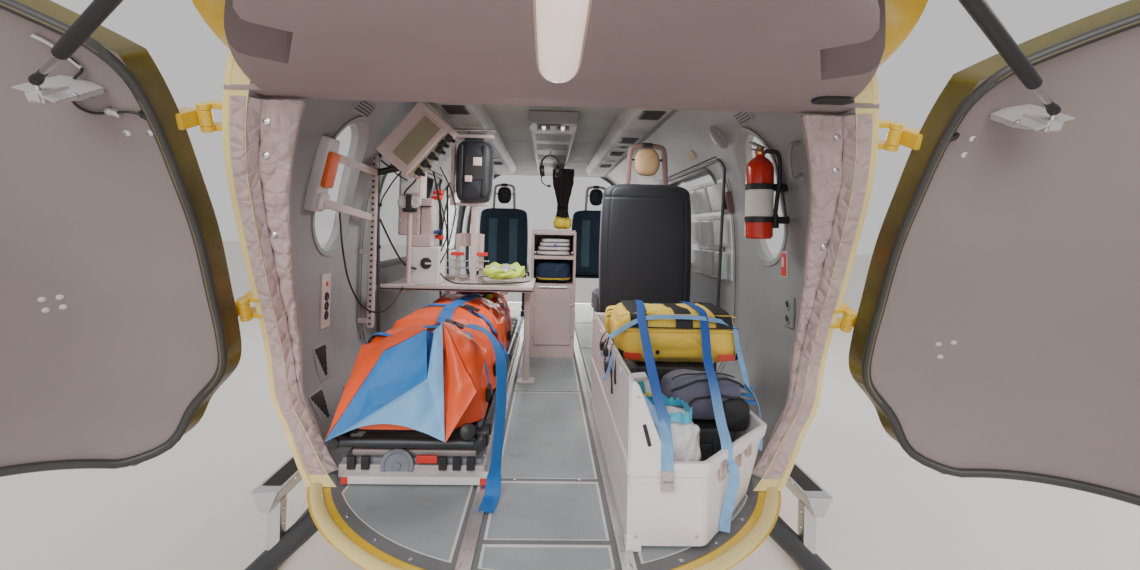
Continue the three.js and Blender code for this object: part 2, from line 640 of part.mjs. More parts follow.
// Panel under the boom root, nested inside the closed doors, with the lamp and vent recesses
const PANEL = { inset: 60, drop: LINTEL.bottom - LINTEL.top };
const LAMP = { half: 21, rear: 640, front: 1105, depth: 12, below: 1000 };
const panelZone = across(partingOutline(PANEL.drop, HIGH))
  .subtract(across(partingOutline(PARTING.gap - GAP, HIGH + PAST)))
  .intersect(box([-WIDE, WIDE], [0, LINTEL.rear], [0, HIGH]));
piece('boom_panel', cut(
  hull(PANEL.inset).intersect(panelZone),
  uprightPrism(roundedShape([0, (LAMP.rear + LAMP.front) / 2],
    [2 * LAMP.half, LAMP.front - LAMP.rear], LAMP.half - 1), LAMP.below,
    partingHeight(LAMP.front) + PANEL.drop + LAMP.depth),
  ...slots,
), 'mauve');

// Cockpit doors, hinged at their front edges
const cockpitSkin = rightShell.intersect(sideOpening(COCKPIT_DOOR, DOOR_GAP));
const cockpitDoor = join(
  cut(cockpitSkin, windowCut(WINDOWS.cockpit)),
  ...cockpitHingePlaces.map((place) => placed(knuckle(COCKPIT_HINGE.reach, COCKPIT_HINGE.arm), place)),
);
pair('cockpit_door', cockpitDoor, 'yellow');
pair('cockpit_glass', pane(WINDOWS.cockpit), 'glass');

// Front production frame
piece('front_frame', cut(hull(0), hull(FRONT_FRAME.wall, PAST_FRONT))
  .intersect(box([-WIDE, WIDE], [FLOOR_END, FRONT], [GAP, HIGH])), 'trimGrey');

// Quilted liners on the inner edge of the rear posts: wide at the top, narrow at the floor
const LINER_ROWS = [
  { height: 20, width: 18 }, { height: 250, width: 30 }, { height: 500, width: 50 },
  { height: 760, width: 80 }, { height: 1035, width: 118 },
];
const LINER_DEPTH = [30, 62];
pair('liner', loft(LINER_ROWS.map(({ height, width }) => {
  const [rear, front] = LINER_DEPTH.map((depth) => doorwayStation(height) + DOOR_GAP + depth);
  const [rearX, frontX] = [skinX(height, rear, WALL), skinX(height, front, WALL)];
  return [[rearX, rear, height], [frontX, front, height],
    [frontX - width, front, height], [rearX - width, rear, height]];
})).intersect(insideWalls), 'quilt');

// Ceiling with two ducts, and the console along its middle with its two lamp recesses
const CEILING = { bottom: 1262, rear: LINTEL.front + 10, front: FRONT - 70, root: 5 };
const DUCT = { inner: 300, outer: 500, innerSlope: 30, outerSlope: 40, bottom: 1205, rear: 1500,
  front: 4400 };
const ductOutline = [[DUCT.inner, CEILING.bottom + CEILING.root],
  [DUCT.inner + DUCT.innerSlope, DUCT.bottom], [DUCT.outer - DUCT.outerSlope, DUCT.bottom],
  [DUCT.outer, CEILING.bottom + CEILING.root]];
const duct = alongPrism(ductOutline, DUCT.rear, DUCT.front);
piece('ceiling', join(
  hull(WALL + GAP, FRONT).intersect(
    box([-WIDE, WIDE], [CEILING.rear, CEILING.front], [CEILING.bottom, HIGH])),
  duct, mirrored(duct),
), 'trimGrey');
const CONSOLE = { half: 110, bottom: 1200, rear: 2250, front: 4250 };
const LAMP_RECESS = { x: 45, half: 28, rear: 2300, front: 2420, depth: 25 };
piece('ceiling_console', cut(
  box([-CONSOLE.half, CONSOLE.half], [CONSOLE.rear, CONSOLE.front],
    [CONSOLE.bottom, CEILING.bottom - GAP]),
  ...[-LAMP_RECESS.x, LAMP_RECESS.x].map((x) => box([x - LAMP_RECESS.half, x + LAMP_RECESS.half],
    [LAMP_RECESS.rear, LAMP_RECESS.front], [CONSOLE.bottom - PAST, CONSOLE.bottom + LAMP_RECESS.depth])),
), 'trimGrey');

// Skid landing gear
const TUBE_HALF = [[0, -150], [560, -150], [680, -170], [810, -285], [963, -433], [1100, -566],
  [1178, -650], [1200, -713]];
const SADDLE = { half: 45, bottom: -190 };
const SPARE_LEAN = 3;
const tubePath = (station, spare = 0) => {
  const half = TUBE_HALF.map(([x, height], k) =>
    (k === TUBE_HALF.length - 1 ? [x + spare / SPARE_LEAN, height - spare] : [x, height]));
  return [
    ...half.slice(1).reverse().map(([x, height]) => [-x, station, height]),
    ...half.map(([x, height]) => [x, station, height]),
  ];
};
const saddle = (station) => [-TUBE.saddle, TUBE.saddle].map((x) => box(
  [x - SADDLE.half, x + SADDLE.half],
  [station - TUBE.channel + GAP, station + TUBE.channel - GAP], [SADDLE.bottom, CHANNEL.top - GAP]));
const crossTube = (station) => join(tube(tubePath(station), TUBE.radius, TUBE.steps), ...saddle(station));
piece('cross_tube_rear', crossTube(TUBE.stations[0]), 'darkMetal');
piece('cross_tube_front', crossTube(TUBE.stations[1]), 'darkMetal');

const SOCKET = { radius: 50, top: -660, sides: 16 };
const SHOE = { half: 25, spans: [[1500, 2300], [3300, 4300]] };
const skidTube = tube([[SKID.x, SKID.rear, SKID.height], [SKID.x, SKID.middle, SKID.height],
  [SKID.x, SKID.bend - SKID.straight, SKID.height], [SKID.x, SKID.bend, SKID.height],
  [SKID.x, SKID.bend + SKID.curve, SKID.height + SKID.lift], [SKID.x, SKID.tip, SKID.tipHeight]],
SKID.radius, SKID.steps);
const sockets = TUBE.stations.map((station) =>
  bar([SKID.x, station, SKID.height], [SKID.x, station, SOCKET.top], SOCKET.radius, SOCKET.sides));
const shoes = SHOE.spans.map((span) =>
  box([SKID.x - SHOE.half, SKID.x + SHOE.half], span, [-FLOOR_HEIGHT, SKID.height]));
const tubeClearance = TUBE.stations.map((station) =>
  tube(tubePath(station, PAST), TUBE.radius + GAP, TUBE.steps));
pair('skid', cut(join(skidTube, ...sockets, ...shoes), ...tubeClearance), 'darkMetal');

const stepOutline = [[STEP.inner, STEP.top], [STEP.inner, STEP.top - STEP.edge],
  [STEP.inner + STEP.slope, STEP.top - STEP.drop], [STEP.outer - STEP.slope, STEP.top - STEP.drop],
  [STEP.outer, STEP.top - STEP.edge], [STEP.outer, STEP.top]];
const STEP_POST = { x: [848, 892], half: 22, bottom: -330, root: 5 };
const stepPosts = TUBE.stations.map((station) =>
  box(STEP_POST.x, [station - STEP_POST.half, station + STEP_POST.half],
    [STEP_POST.bottom, STEP.top - STEP.drop + STEP_POST.root]));
pair('step', cut(join(alongPrism(stepOutline, STEP.rear, STEP.front), ...stepPosts), ...tubeClearance),
  'aluminium');

// Seats: all share one form, placed by x and by the station of the back's rear face
const SEAT = {
  cushion: { station: [60, 490], height: [330, 430] },
  back: { depth: 90, chamfer: 20, taper: 25 },
  head: { foot: 95, top: 75, below: 60, station: 45, radius: 12, bar: 80, barRadius: 14, sides: 8 },
  pad: { half: 70, station: [30, 75], height: [25, -22] },
  leg: { inset: 40, half: 12, rail: 15, railTop: 40, rails: [60, 430], height: [30, 340],
    stations: [[120, 180], [340, 400]] },
};
// Rows of the back: height above the floor or below its top, share of the recline, and half-width
const seatBackRows = (half, backTop) => [
  { height: 360, lean: 0, half: half - 10 }, { height: 560, lean: 0.2, half },
  { height: backTop - 160, lean: 0.7, half: half - 15 },
  { height: backTop, lean: 1, half: half * 0.62 },
];
function seat({ x, station, width, backTop, headTop, recline, foot }) {
  const half = width / 2;
  const { cushion, back, head, pad, leg } = SEAT;
  const shifted = (from, span) => span.map((value) => from + value);
  const backrest = loft(seatBackRows(half, backTop).map((row) => {
    const rear = station - recline * row.lean;
    return [[x - row.half, rear + back.chamfer, row.height], [x - row.half + back.taper, rear, row.height],
      [x + row.half - back.taper, rear, row.height], [x + row.half, rear + back.chamfer, row.height],
      [x + row.half, rear + back.depth, row.height], [x - row.half, rear + back.depth, row.height]];
  }));
  const headStation = station - recline + head.station;
  const headFrame = [-1, 1].map((side) => bar(
    [x + side * head.foot, headStation, backTop - head.below],
    [x + side * head.top, headStation, headTop - head.radius], head.radius, head.sides));
  const headTopBar = bar([x - head.bar, headStation, headTop - head.barRadius],
    [x + head.bar, headStation, headTop - head.barRadius], head.barRadius, head.sides);
  const headPad = box([x - pad.half, x + pad.half], shifted(station - recline, pad.station),
    [backTop + pad.height[0], headTop + pad.height[1]]);
  const legs = [-1, 1].flatMap((side) => {
    const middle = x + side * (half - leg.inset);
    return [
      box([middle - leg.rail, middle + leg.rail], shifted(station, leg.rails), [foot, leg.railTop]),
      ...leg.stations.map((span) =>
        box([middle - leg.half, middle + leg.half], shifted(station, span), leg.height)),
    ];
  });
  return join(
    box([x - half, x + half], shifted(station, cushion.station), cushion.height),
    backrest, ...headFrame, headTopBar, headPad, ...legs,
  );
}
piece('attendant_seat', seat({ x: 430, station: 2250, width: 430, backTop: 945, headTop: 1136,
  recline: 0, foot: ON_RAILS }), 'black');
pair('crew_seat', seat({ x: 385, station: 4230, width: 420, backTop: 900, headTop: 1110, recline: 20,
  foot: GAP }), 'navy');

// Equipment rack on the left wall, with the monitor on its arm
const MONITOR = { size: [270, 190, 165], centre: [-560, 2120, 1085], tiltDegrees: -50 };
function monitorBody(spare) {
  const geometry = new THREE.BoxGeometry(...MONITOR.size.map((value) => value + 2 * spare));
  geometry.rotateY(THREE.MathUtils.degToRad(MONITOR.tiltDegrees));
  geometry.translate(...MONITOR.centre);
  return solid(geometry);
}
const RACK = {
  shelf: { x: [-745, -70], station: [2200, 2620], height: [455, 475] },
  wallRail: { x: [-768, -738], station: [2150, 2180], height: [300, 1030] },
  corner: { x: [-760, -738], station: [2160, 2215], height: [455, 475] },
  leg: { x: [-122, -88], station: [2433, 2467], height: [GAP, 460] },
  post: { x: [-385, -355], station: [2440, 2470], height: [470, 850] },
  pump: { x: [-640, -500], station: [2300, 2460], height: [470, 690] },
  charger: { x: [-600, -540], station: [2330, 2420], height: [680, 860] },
  ties: { x: [-850, -750], station: [2155, 2175], heights: [330, 620, 1000], half: 10 },
  arm: { from: [-745, 2165, 955], to: [-560, 2165, 1000], radius: 14 },
};
const boxOf = ({ x, station, height }) => box(x, station, height);
const { ties: TIES, arm: ARM, ...RACK_BOXES } = RACK;
piece('rack', join(
  ...Object.values(RACK_BOXES).map(boxOf),
  ...TIES.heights.map((height) => box(TIES.x, TIES.station, [height - TIES.half, height + TIES.half])),
  cut(bar(ARM.from, ARM.to, ARM.radius), monitorBody(GAP)),
).intersect(insideWalls), 'pale');
piece('monitor', monitorBody(0), 'pale');
const VENTILATOR = { x: [-475, -270], station: [2380, 2540], height: [RACK.post.height[1] + GAP, 1190] };
piece('ventilator', boxOf(VENTILATOR), 'black');

// Cabinet with two open shelves that face the rear
const CABINET = { x: [-105, 150], station: [2900, 3250], top: 722, wall: { x: 15, front: 20 },
  shelves: [[420, 560], [580, 700]] };
piece('cabinet', cut(
  box(CABINET.x, CABINET.station, [GAP, CABINET.top]),
  ...CABINET.shelves.map((height) => box(
    [CABINET.x[0] + CABINET.wall.x, CABINET.x[1] - CABINET.wall.x],
    [CABINET.station[0] - PAST, CABINET.station[1] - CABINET.wall.front], height)),
), 'pale');

// Curtain tied back between cabin and cockpit
const CURTAIN = { centre: [95, 3900, 976.1], size: [170, 90, 447.2], power: 0.7 };
piece('curtain', pillow(CURTAIN.centre, CURTAIN.size, CURTAIN.power), 'curtain');

// Stretcher, its base on the floor rails, and the folded bag on it
const BASE = {
  plate: { x: [-598, -180], station: [1475, 3300], height: [ON_RAILS, 80] },
  lip: { x: [-575, -170], station: [1440, 1480], height: [ON_RAILS, 30] },
};
piece('stretcher_base', join(boxOf(BASE.plate), boxOf(BASE.lip)), 'pale');
const STRETCHER = {
  x: [-600, -195], ends: [1440, 3350], height: 118, rail: 16, cross: 14,
  crossStations: [1456, 2100, 2750, 3334],
  deck: { x: [-598, -197], station: [1500, 3300], height: [126, 160] },
  foot: { x: [-560, -235], half: 20, length: 60, stations: [1700, 3000], top: 150 },
};
const { x: RAIL_X, ends: RAIL_ENDS, height: RAIL_HEIGHT, foot: FOOT } = STRETCHER;
piece('stretcher', join(
  ...RAIL_X.map((x) => bar([x, RAIL_ENDS[0], RAIL_HEIGHT], [x, RAIL_ENDS[1], RAIL_HEIGHT],
    STRETCHER.rail)),
  ...STRETCHER.crossStations.map((station) => bar([RAIL_X[0], station, RAIL_HEIGHT],
    [RAIL_X[1], station, RAIL_HEIGHT], STRETCHER.cross)),
  ...FOOT.stations.flatMap((station) => FOOT.x.map((x) => box([x - FOOT.half, x + FOOT.half],
    [station - FOOT.length, station + FOOT.length], [BASE.plate.height[1] + GAP, FOOT.top]))),
  boxOf(STRETCHER.deck),
), 'darkMetal');
const BAG = { x: -400, lift: 3, side: 0.55, leftShoulder: 0.55, rightShoulder: 0.45 };
const DECK_TOP = STRETCHER.deck.height[1] + GAP;
const BAG_ROWS = [
  { station: 1440, top: 250, bottom: DECK_TOP + BAG.lift, half: 130 },
  { station: 1520, top: 330, bottom: DECK_TOP, half: 205 },
  { station: 1750, top: 385, bottom: DECK_TOP, half: 212 },
  { station: 2300, top: 395, bottom: DECK_TOP, half: 205 },
  { station: 2950, top: 370, bottom: DECK_TOP, half: 190 },
  { station: 3080, top: 240, bottom: DECK_TOP, half: 150 },
];
piece('stretcher_bag', loft(BAG_ROWS.map(({ station, top, bottom, half }) => {
  const sideTop = bottom + (top - bottom) * BAG.side;
  return [
    [BAG.x - half, station, bottom], [BAG.x - half, station, sideTop],
    [BAG.x - half * BAG.leftShoulder, station, top], [BAG.x + half * BAG.rightShoulder, station, top],
    [BAG.x + half, station, sideTop], [BAG.x + half, station, bottom],
  ];
})), 'orange');

// Kit crate: open at the top, its right side leaning out up to the rim, with a high left wall whose
// corner slopes down across the rear
const CRATE = { wall: 12, top: 385, rim: 200, floor: ON_RAILS, slopeTo: 275 };
const crateRing = (outline, height) => outline.map(([x, station]) => [x, station, height]);
const crateOutline = {
  low: [[185, 1170], [365, 1170], [450, 1270], [565, 1425], [565, 2140], [185, 2140]],
  high: [[185, 1170], [365, 1170], [458, 1265], [608, 1410], [608, 2140], [185, 2140]],
};
const crateInner = {
  low: [[197, 1182], [360, 1182], [441, 1278], [553, 1430], [553, 2128], [197, 2128]],
  high: [[197, 1182], [360, 1182], [450, 1275], [596, 1415], [596, 2128], [197, 2128]],
};
const CRATE_LEFT = crateInner.high[0][0];
const [CRATE_RIGHT, CRATE_FRONT] = crateOutline.high[4];
piece('crate', cut(
  loft([crateRing(crateOutline.low, CRATE.floor), crateRing(crateOutline.high, CRATE.rim),
    crateRing(crateOutline.high, CRATE.top)]),
  loft([crateRing(crateInner.low, CRATE.floor + CRATE.wall), crateRing(crateInner.high, CRATE.rim),
    crateRing(crateInner.high, CRATE.top + PAST)]),
  alongPrism([[CRATE_LEFT + PAST, CRATE.top + PAST], [CRATE_LEFT + PAST, CRATE.top],
    [CRATE.slopeTo, CRATE.rim], [CRATE_RIGHT + PAST, CRATE.rim],
    [CRATE_RIGHT + PAST, CRATE.top + PAST]], 0, CRATE_FRONT - 2 * CRATE.wall - PAST),
), 'white');
// Cases in it: a base plate, the tall case the yellow bags lie on and the low one under the grey bag
const crateBed = CRATE.floor + CRATE.wall + GAP;
const CASES = {
  plate: { x: [215, 545], station: [1465, 2110], height: [crateBed, crateBed + 6] },
  tall: { x: [215, 545], station: [1680, 2110], height: [crateBed, 285] },
  low: { x: [330, 545], station: [1465, 1660], height: [crateBed, 165] },
};
piece('crate_cases', join(...Object.values(CASES).map(boxOf)), 'white');
const BAGS = [
  { name: 'bag_yellow', centre: [428, 1800, 379.3], size: [416, 300, 188], finish: 'bagYellow' },
  { name: 'bag_yellow_small', centre: [350, 2035, 363.3], size: [270, 120, 156], finish: 'bagYellow' },
  { name: 'bag_grey', centre: [461, 1548, 240.3], size: [250, 190, 150], finish: 'bagGrey' },
  { name: 'bag_white', centre: [300, 1312, 144.6], size: [184, 200, 252], finish: 'bagWhite' },
];
BAGS.forEach(({ name, centre, size, finish }) => piece(name, pillow(centre, size), finish));

// Fire extinguisher on the right wall
const BOTTLE = { x: 700, station: 1700, low: 715, high: 990, radius: 45, sides: 16 };
const NECK = { top: 1025, radius: 15, root: 5, sides: 8 };
const HOLDER = { from: 30, half: 20, height: [840, 880] };
piece('extinguisher', join(
  bar([BOTTLE.x, BOTTLE.station, BOTTLE.low], [BOTTLE.x, BOTTLE.station, BOTTLE.high], BOTTLE.radius,
    BOTTLE.sides),
  bar([BOTTLE.x, BOTTLE.station, BOTTLE.high - NECK.root], [BOTTLE.x, BOTTLE.station, NECK.top],
    NECK.radius, NECK.sides),
  box([BOTTLE.x + HOLDER.from, SECTION.half],
    [BOTTLE.station - HOLDER.half, BOTTLE.station + HOLDER.half], HOLDER.height),
).intersect(insideWalls), 'red');

export default part;
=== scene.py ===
"""Looks of an air ambulance helicopter's cabin section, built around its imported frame.

Lengths are millimetres in the airframe's own places: x to the right, y the station forward of the
tail boom's reference plane, z the height above the cabin floor. Meshes are written in metres in the
part's frame, which stands on the ground.
"""

from __future__ import annotations

import json
import logging
import math
from collections.abc import Sequence
from dataclasses import dataclass, field, replace
from enum import Enum

import bmesh
import bpy
import numpy as np
from mathutils import Matrix, Vector

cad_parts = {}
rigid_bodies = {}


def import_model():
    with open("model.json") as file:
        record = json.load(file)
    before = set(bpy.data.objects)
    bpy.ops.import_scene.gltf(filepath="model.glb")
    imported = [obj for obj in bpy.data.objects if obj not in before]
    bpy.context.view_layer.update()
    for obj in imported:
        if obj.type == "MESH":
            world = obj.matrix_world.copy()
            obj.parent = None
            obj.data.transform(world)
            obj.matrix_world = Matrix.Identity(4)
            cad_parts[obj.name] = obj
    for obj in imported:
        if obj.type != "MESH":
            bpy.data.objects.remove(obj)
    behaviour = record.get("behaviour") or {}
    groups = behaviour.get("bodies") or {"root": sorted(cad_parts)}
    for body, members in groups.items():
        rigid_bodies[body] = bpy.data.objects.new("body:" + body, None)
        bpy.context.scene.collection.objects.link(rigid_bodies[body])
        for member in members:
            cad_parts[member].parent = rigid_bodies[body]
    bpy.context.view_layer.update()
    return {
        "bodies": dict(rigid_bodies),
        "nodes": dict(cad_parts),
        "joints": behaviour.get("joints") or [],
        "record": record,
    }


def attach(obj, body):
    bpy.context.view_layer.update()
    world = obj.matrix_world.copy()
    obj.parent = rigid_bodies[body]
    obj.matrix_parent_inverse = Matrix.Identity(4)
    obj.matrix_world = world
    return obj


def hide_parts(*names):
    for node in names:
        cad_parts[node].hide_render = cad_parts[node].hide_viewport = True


LOG = logging.getLogger("cabin_section")
ORIGIN = np.array([0.0, -2690.0, 800.0])
ROOT = "fuselage"
CREASE = 38.0
MERGE = 0.01
Array = np.ndarray
Color = tuple[float, float, float]


# Shader maths


class Socket:
    """A node's output that takes Python arithmetic and adds a Math node for each step."""

    def __init__(self, graph: "Graph", port: bpy.types.NodeSocket | None) -> None:
        """Keeps the graph and the output that this stands for."""
        self.graph = graph
        self.port = port

    def step(self, operation: str, other: "Socket | float" = 0.0, swap: bool = False) -> "Socket":
        """Adds one Math node.

        Args:
            operation: the Math node's operation.
            other: the second value.
            swap: whether the other value comes first.

        Returns:
            The node's result.
        """
        first, second = (other, self) if swap else (self, other)
        return self.graph.node("ShaderNodeMath", {"operation": operation}, {0: first, 1: second})

    def __add__(self, other: "Socket | float") -> "Socket":
        """Sum."""
        return self.step("ADD", other)

    def __sub__(self, other: "Socket | float") -> "Socket":
        """Difference."""
        return self.step("SUBTRACT", other)

    def __rsub__(self, other: float) -> "Socket":
        """Difference from a number."""
        return self.step("SUBTRACT", other, swap=True)

    def __mul__(self, other: "Socket | float") -> "Socket":
        """Product."""
        return self.step("MULTIPLY", other)

    def __gt__(self, other: "Socket | float") -> "Socket":
        """One where this is greater, else zero."""
        return self.step("GREATER_THAN", other)

    def __lt__(self, other: "Socket | float") -> "Socket":
        """One where this is less, else zero."""
        return self.step("LESS_THAN", other)

    __radd__ = __add__
    __rmul__ = __mul__


class Graph:
    """The node tree of one material."""

    def __init__(self, name: str) -> None:
        """Starts an empty material of that name."""
        self.material = bpy.data.materials.new(name)
        self.material.use_nodes = True
        self.tree = self.material.node_tree
        self.tree.nodes.clear()

    def node(self, kind: str, settings: dict | None = None, sockets: dict | None = None,
             out: int | str = 0) -> Socket:
        """Adds a node.

        Args:
            kind: the node's type.
            settings: its properties, set first; "stops" are a colour ramp's.
            sockets: values or links of its inputs, by name or number.
            out: the output that is wanted.

        Returns:
            That output.
        """
        made = self.tree.nodes.new(kind)
        for key, value in (settings or {}).items():
            if key == "stops":
                elements = made.color_ramp.elements
                while len(elements) < len(value):
                    elements.new(0.5)
                for element, (place, color) in zip(elements, value):
                    element.position = place
                    element.color = color
            else:
                setattr(made, key, value)
        for key, value in (sockets or {}).items():
            if isinstance(value, Socket):
                self.tree.links.new(value.port, made.inputs[key])
            else:
                made.inputs[key].default_value = value
        return Socket(self, made.outputs[out] if made.outputs else None)

    def places(self) -> Socket:
        """Object coordinates, in metres."""
        return self.node("ShaderNodeTexCoord", out="Object")

    def axis(self, places: Socket, name: str) -> Socket:
        """One coordinate, X, Y or Z, of a vector."""
        return self.node("ShaderNodeSeparateXYZ", None, {0: places}, name)

    def noise(self, places: Socket, size: float, detail: float = 3.0) -> Socket:
        """Noise from 0 to 1 whose blotches are about size millimetres."""
        return self.node("ShaderNodeTexNoise", None,
                         {"Vector": places, "Scale": 1000.0 / size, "Detail": detail}, "Fac")

    def stretched(self, places: Socket, factors: Sequence[float]) -> Socket:
        """A vector scaled by its three factors."""
        return self.node("ShaderNodeVectorMath", {"operation": "MULTIPLY"}, {0: places, 1: factors})

    def between(self, low: float, high: float, value: Socket) -> Socket:
        """Zero at low, one at high, and smooth between."""
        return self.node("ShaderNodeMapRange", {"interpolation_type": "SMOOTHSTEP"},
                         {"Value": value, "From Min": low, "From Max": high})

    def mixed(self, share: Socket | float, first: Socket | Color, second: Socket | Color) -> Socket:
        """A colour between two, by share."""
        full = [c if isinstance(c, Socket) else (*c, 1.0) for c in (first, second)]
        return self.node("ShaderNodeMix", {"data_type": "RGBA"},
                         {0: share, 6: full[0], 7: full[1]}, 2)


def tinted(color: Color, factor: float) -> Color:
    """A colour made lighter or darker by a factor, within range."""
    return tuple(min(1.0, max(0.0, channel * factor)) for channel in color)


class Grain(Enum):
    """What the fine relief of a surface looks like."""

    SMOOTH = "smooth"
    PEBBLED = "pebbled"
    WOVEN = "woven"
    RIPSTOP = "ripstop"
    LEATHER = "leather"
    BRUSHED = "brushed"
    DOTTED = "dotted"


@dataclass(frozen=True)
class Finish:
    """A surface finish; sizes are millimetres.

    color and roughness drift over blotches of drift_size; grain is relief of grain_size and depth;
    soil darkens the finish in patches.
    """

    name: str
    color: Color
    roughness: float = 0.5
    metallic: float = 0.0
    coat: float = 0.0
    sheen: float = 0.0
    grain: Grain = Grain.SMOOTH
    grain_size: float = 1.2
    depth: float = 0.02
    drift: float = 0.08
    drift_size: float = 180.0
    soil: float = 0.12
    glow: float = 0.0

    def relief(self, graph: Graph, places: Socket) -> Socket:
        """Height of the grain from 0 to 1."""
        size = self.grain_size
        if self.grain is Grain.SMOOTH:
            return graph.noise(places, size * 14, 2.0)
        if self.grain is Grain.PEBBLED:
            return graph.noise(places, size, 1.0)
        if self.grain is Grain.LEATHER:
            edge = graph.node("ShaderNodeTexVoronoi", {"feature": "DISTANCE_TO_EDGE"},
                              {"Vector": places, "Scale": 1000.0 / size})
            return edge.step("MINIMUM", 0.25) * 4.0
        if self.grain is Grain.BRUSHED:
            return graph.noise(graph.stretched(places, (1.0, 0.05, 1.0)), size, 2.0)
        turns = 2000.0 * math.pi / size
        waves = [(graph.axis(places, name) * turns).step("SINE") for name in "XYZ"]
        lattice = waves[0] * waves[1] + waves[1] * waves[2] + waves[2] * waves[0]
        if self.grain is Grain.DOTTED:
            return graph.between(0.35, 0.75, lattice)
        if self.grain is Grain.RIPSTOP:
            slow = [(graph.axis(places, name) * (turns / 8)).step("COSINE") for name in "XYZ"]
            ribs = slow[0].step("MAXIMUM", slow[1]).step("MAXIMUM", slow[2])
            return lattice * 0.3 + graph.between(0.93, 1.0, ribs)
        return lattice * 0.5 + 0.5

    def shade(self, graph: Graph, places: Socket) -> Socket:
        """The base colour: two tones that drift into each other, with soil in patches."""
        tone = graph.noise(places, self.drift_size, 4.0)
        color = graph.mixed(graph.between(0.3, 0.7, tone), tinted(self.color, 1 - self.drift),
                            tinted(self.color, 1 + self.drift))
        stain = graph.between(0.56, 0.8, graph.noise(places, self.drift_size * 0.37, 6.0))
        return graph.mixed(stain * self.soil, color, tinted(self.color, 0.35))

    def bump(self, graph: Graph, places: Socket) -> Socket:
        """The grain as a bumped normal."""
        return graph.node("ShaderNodeBump", None, {
            "Strength": 1.0, "Distance": self.depth / 1000, "Height": self.relief(graph, places)})

    def material(self) -> bpy.types.Material:
        """The finish as a material, made once."""
        found = bpy.data.materials.get(self.name)
        if found:
            return found
        graph = Graph(self.name)
        places = graph.places()
        polish = graph.noise(places, self.drift_size * 0.6, 5.0)
        shader = graph.node("ShaderNodeBsdfPrincipled", None, {
            "Base Color": self.shade(graph, places),
            "Roughness": (polish - 0.5) * 0.22 + self.roughness,
            "Metallic": self.metallic, "Coat Weight": self.coat, "Coat Roughness": 0.12,
            "Sheen Weight": self.sheen, "Emission Strength": self.glow,
            "Emission Color": (*self.color, 1.0),
            "Normal": self.bump(graph, places)})
        graph.node("ShaderNodeOutputMaterial", None, {"Surface": shader})
        return graph.material


@dataclass(frozen=True)
class ClearFinish:
    """A see-through sheet: mostly clear, with a tint, a gloss and faint smears."""

    name: str
    color: Color = (0.88, 0.92, 0.93)
    opacity: float = 0.16
    roughness: float = 0.04

    def material(self) -> bpy.types.Material:
        """The finish as a material, made once."""
        found = bpy.data.materials.get(self.name)
        if found:
            return found
        graph = Graph(self.name)
        places = graph.places()
        smear = graph.between(0.5, 0.8, graph.noise(places, 90.0, 5.0))
        shader = graph.node("ShaderNodeBsdfPrincipled", None, {
            "Base Color": graph.mixed(smear, self.color, tinted(self.color, 1.1)),
            "Roughness": smear * 0.12 + self.roughness, "Alpha": smear * 0.05 + self.opacity})
        graph.node("ShaderNodeOutputMaterial", None, {"Surface": shader})
        return graph.material


# Surfaces


def unit(vectors: Array) -> Array:
    """Vectors scaled to length one."""
    length = np.linalg.norm(vectors, axis=-1, keepdims=True)
    return vectors / np.where(length < 1e-9, 1.0, length)


def swing(points: Array, pivot: Sequence[float], axis: Sequence[float], degrees: float) -> Array:
    """Points turned about a line, by Rodrigues' formula."""
    turn = math.radians(degrees)
    arm = np.asarray(points, float) - np.asarray(pivot, float)
    line = unit(np.asarray(axis, float))
    along = (arm @ line)[..., None] * line
    return pivot + along + (arm - along) * math.cos(turn) + np.cross(line, arm) * math.sin(turn)


def smooth_path(knots: Sequence[Sequence[float]], count: int) -> Array:
    """A Catmull-Rom curve through the knots, each span a cubic of its four nearest knots."""
    known = np.asarray(knots, float)
    spans = len(known) - 1
    place = np.linspace(0, spans, count)
    start = np.minimum(place.astype(int), spans - 1)
    t = (place - start)[:, None]
    padded = np.vstack([2 * known[0] - known[1], known, 2 * known[-1] - known[-2]])
    a, b, c, d = (padded[start + k] for k in range(4))
    return 0.5 * (2 * b + (c - a) * t + (2 * a - 5 * b + 4 * c - d) * t**2
                  + (3 * b - a - 3 * c + d) * t**3)


def even_path(points: Array, count: int) -> Array:
    """The same line with count points spaced evenly along its length."""
    steps = np.linalg.norm(np.diff(points, axis=0), axis=1)
    run = np.concatenate([[0.0], np.cumsum(steps)])
    wanted = np.linspace(0, run[-1], count)
    return np.stack([np.interp(wanted, run, points[:, k]) for k in range(3)], 1)


def rails(path: Array, up: Sequence[float] | Array, closed: bool = False) -> tuple[Array, Array]:
    """Side and lift directions along a path: side = tangent x up, lift = side x tangent."""
    if closed:
        tangent = np.roll(path, -1, 0) - np.roll(path, 1, 0)
    else:
        tangent = np.gradient(path, axis=0)
    tangent = unit(tangent)
    side = unit(np.cross(tangent, np.broadcast_to(np.asarray(up, float), path.shape)))
    return side, np.cross(side, tangent)


def sweep(path: Array, profile: Array, up: Sequence[float] | Array = (0, 0, 1),
          closed: bool = False, scale: Array | float = 1.0) -> Array:
    """A profile of side and lift offsets carried along a path, as rows of points."""
    side, lift = rails(path, up, closed)
    size = np.broadcast_to(np.asarray(scale, float), len(path))[:, None, None]
    outline = np.asarray(profile, float)[None] * size
    return (path[:, None] + outline[..., :1] * side[:, None] + outline[..., 1:] * lift[:, None])


def ring(radius: float, sides: int = 14) -> Array:
    """A round profile: radius times the cosine and sine of equal angles."""
    angle = np.linspace(0, 2 * np.pi, sides, endpoint=False)
    return radius * np.stack([np.cos(angle), np.sin(angle)], 1)


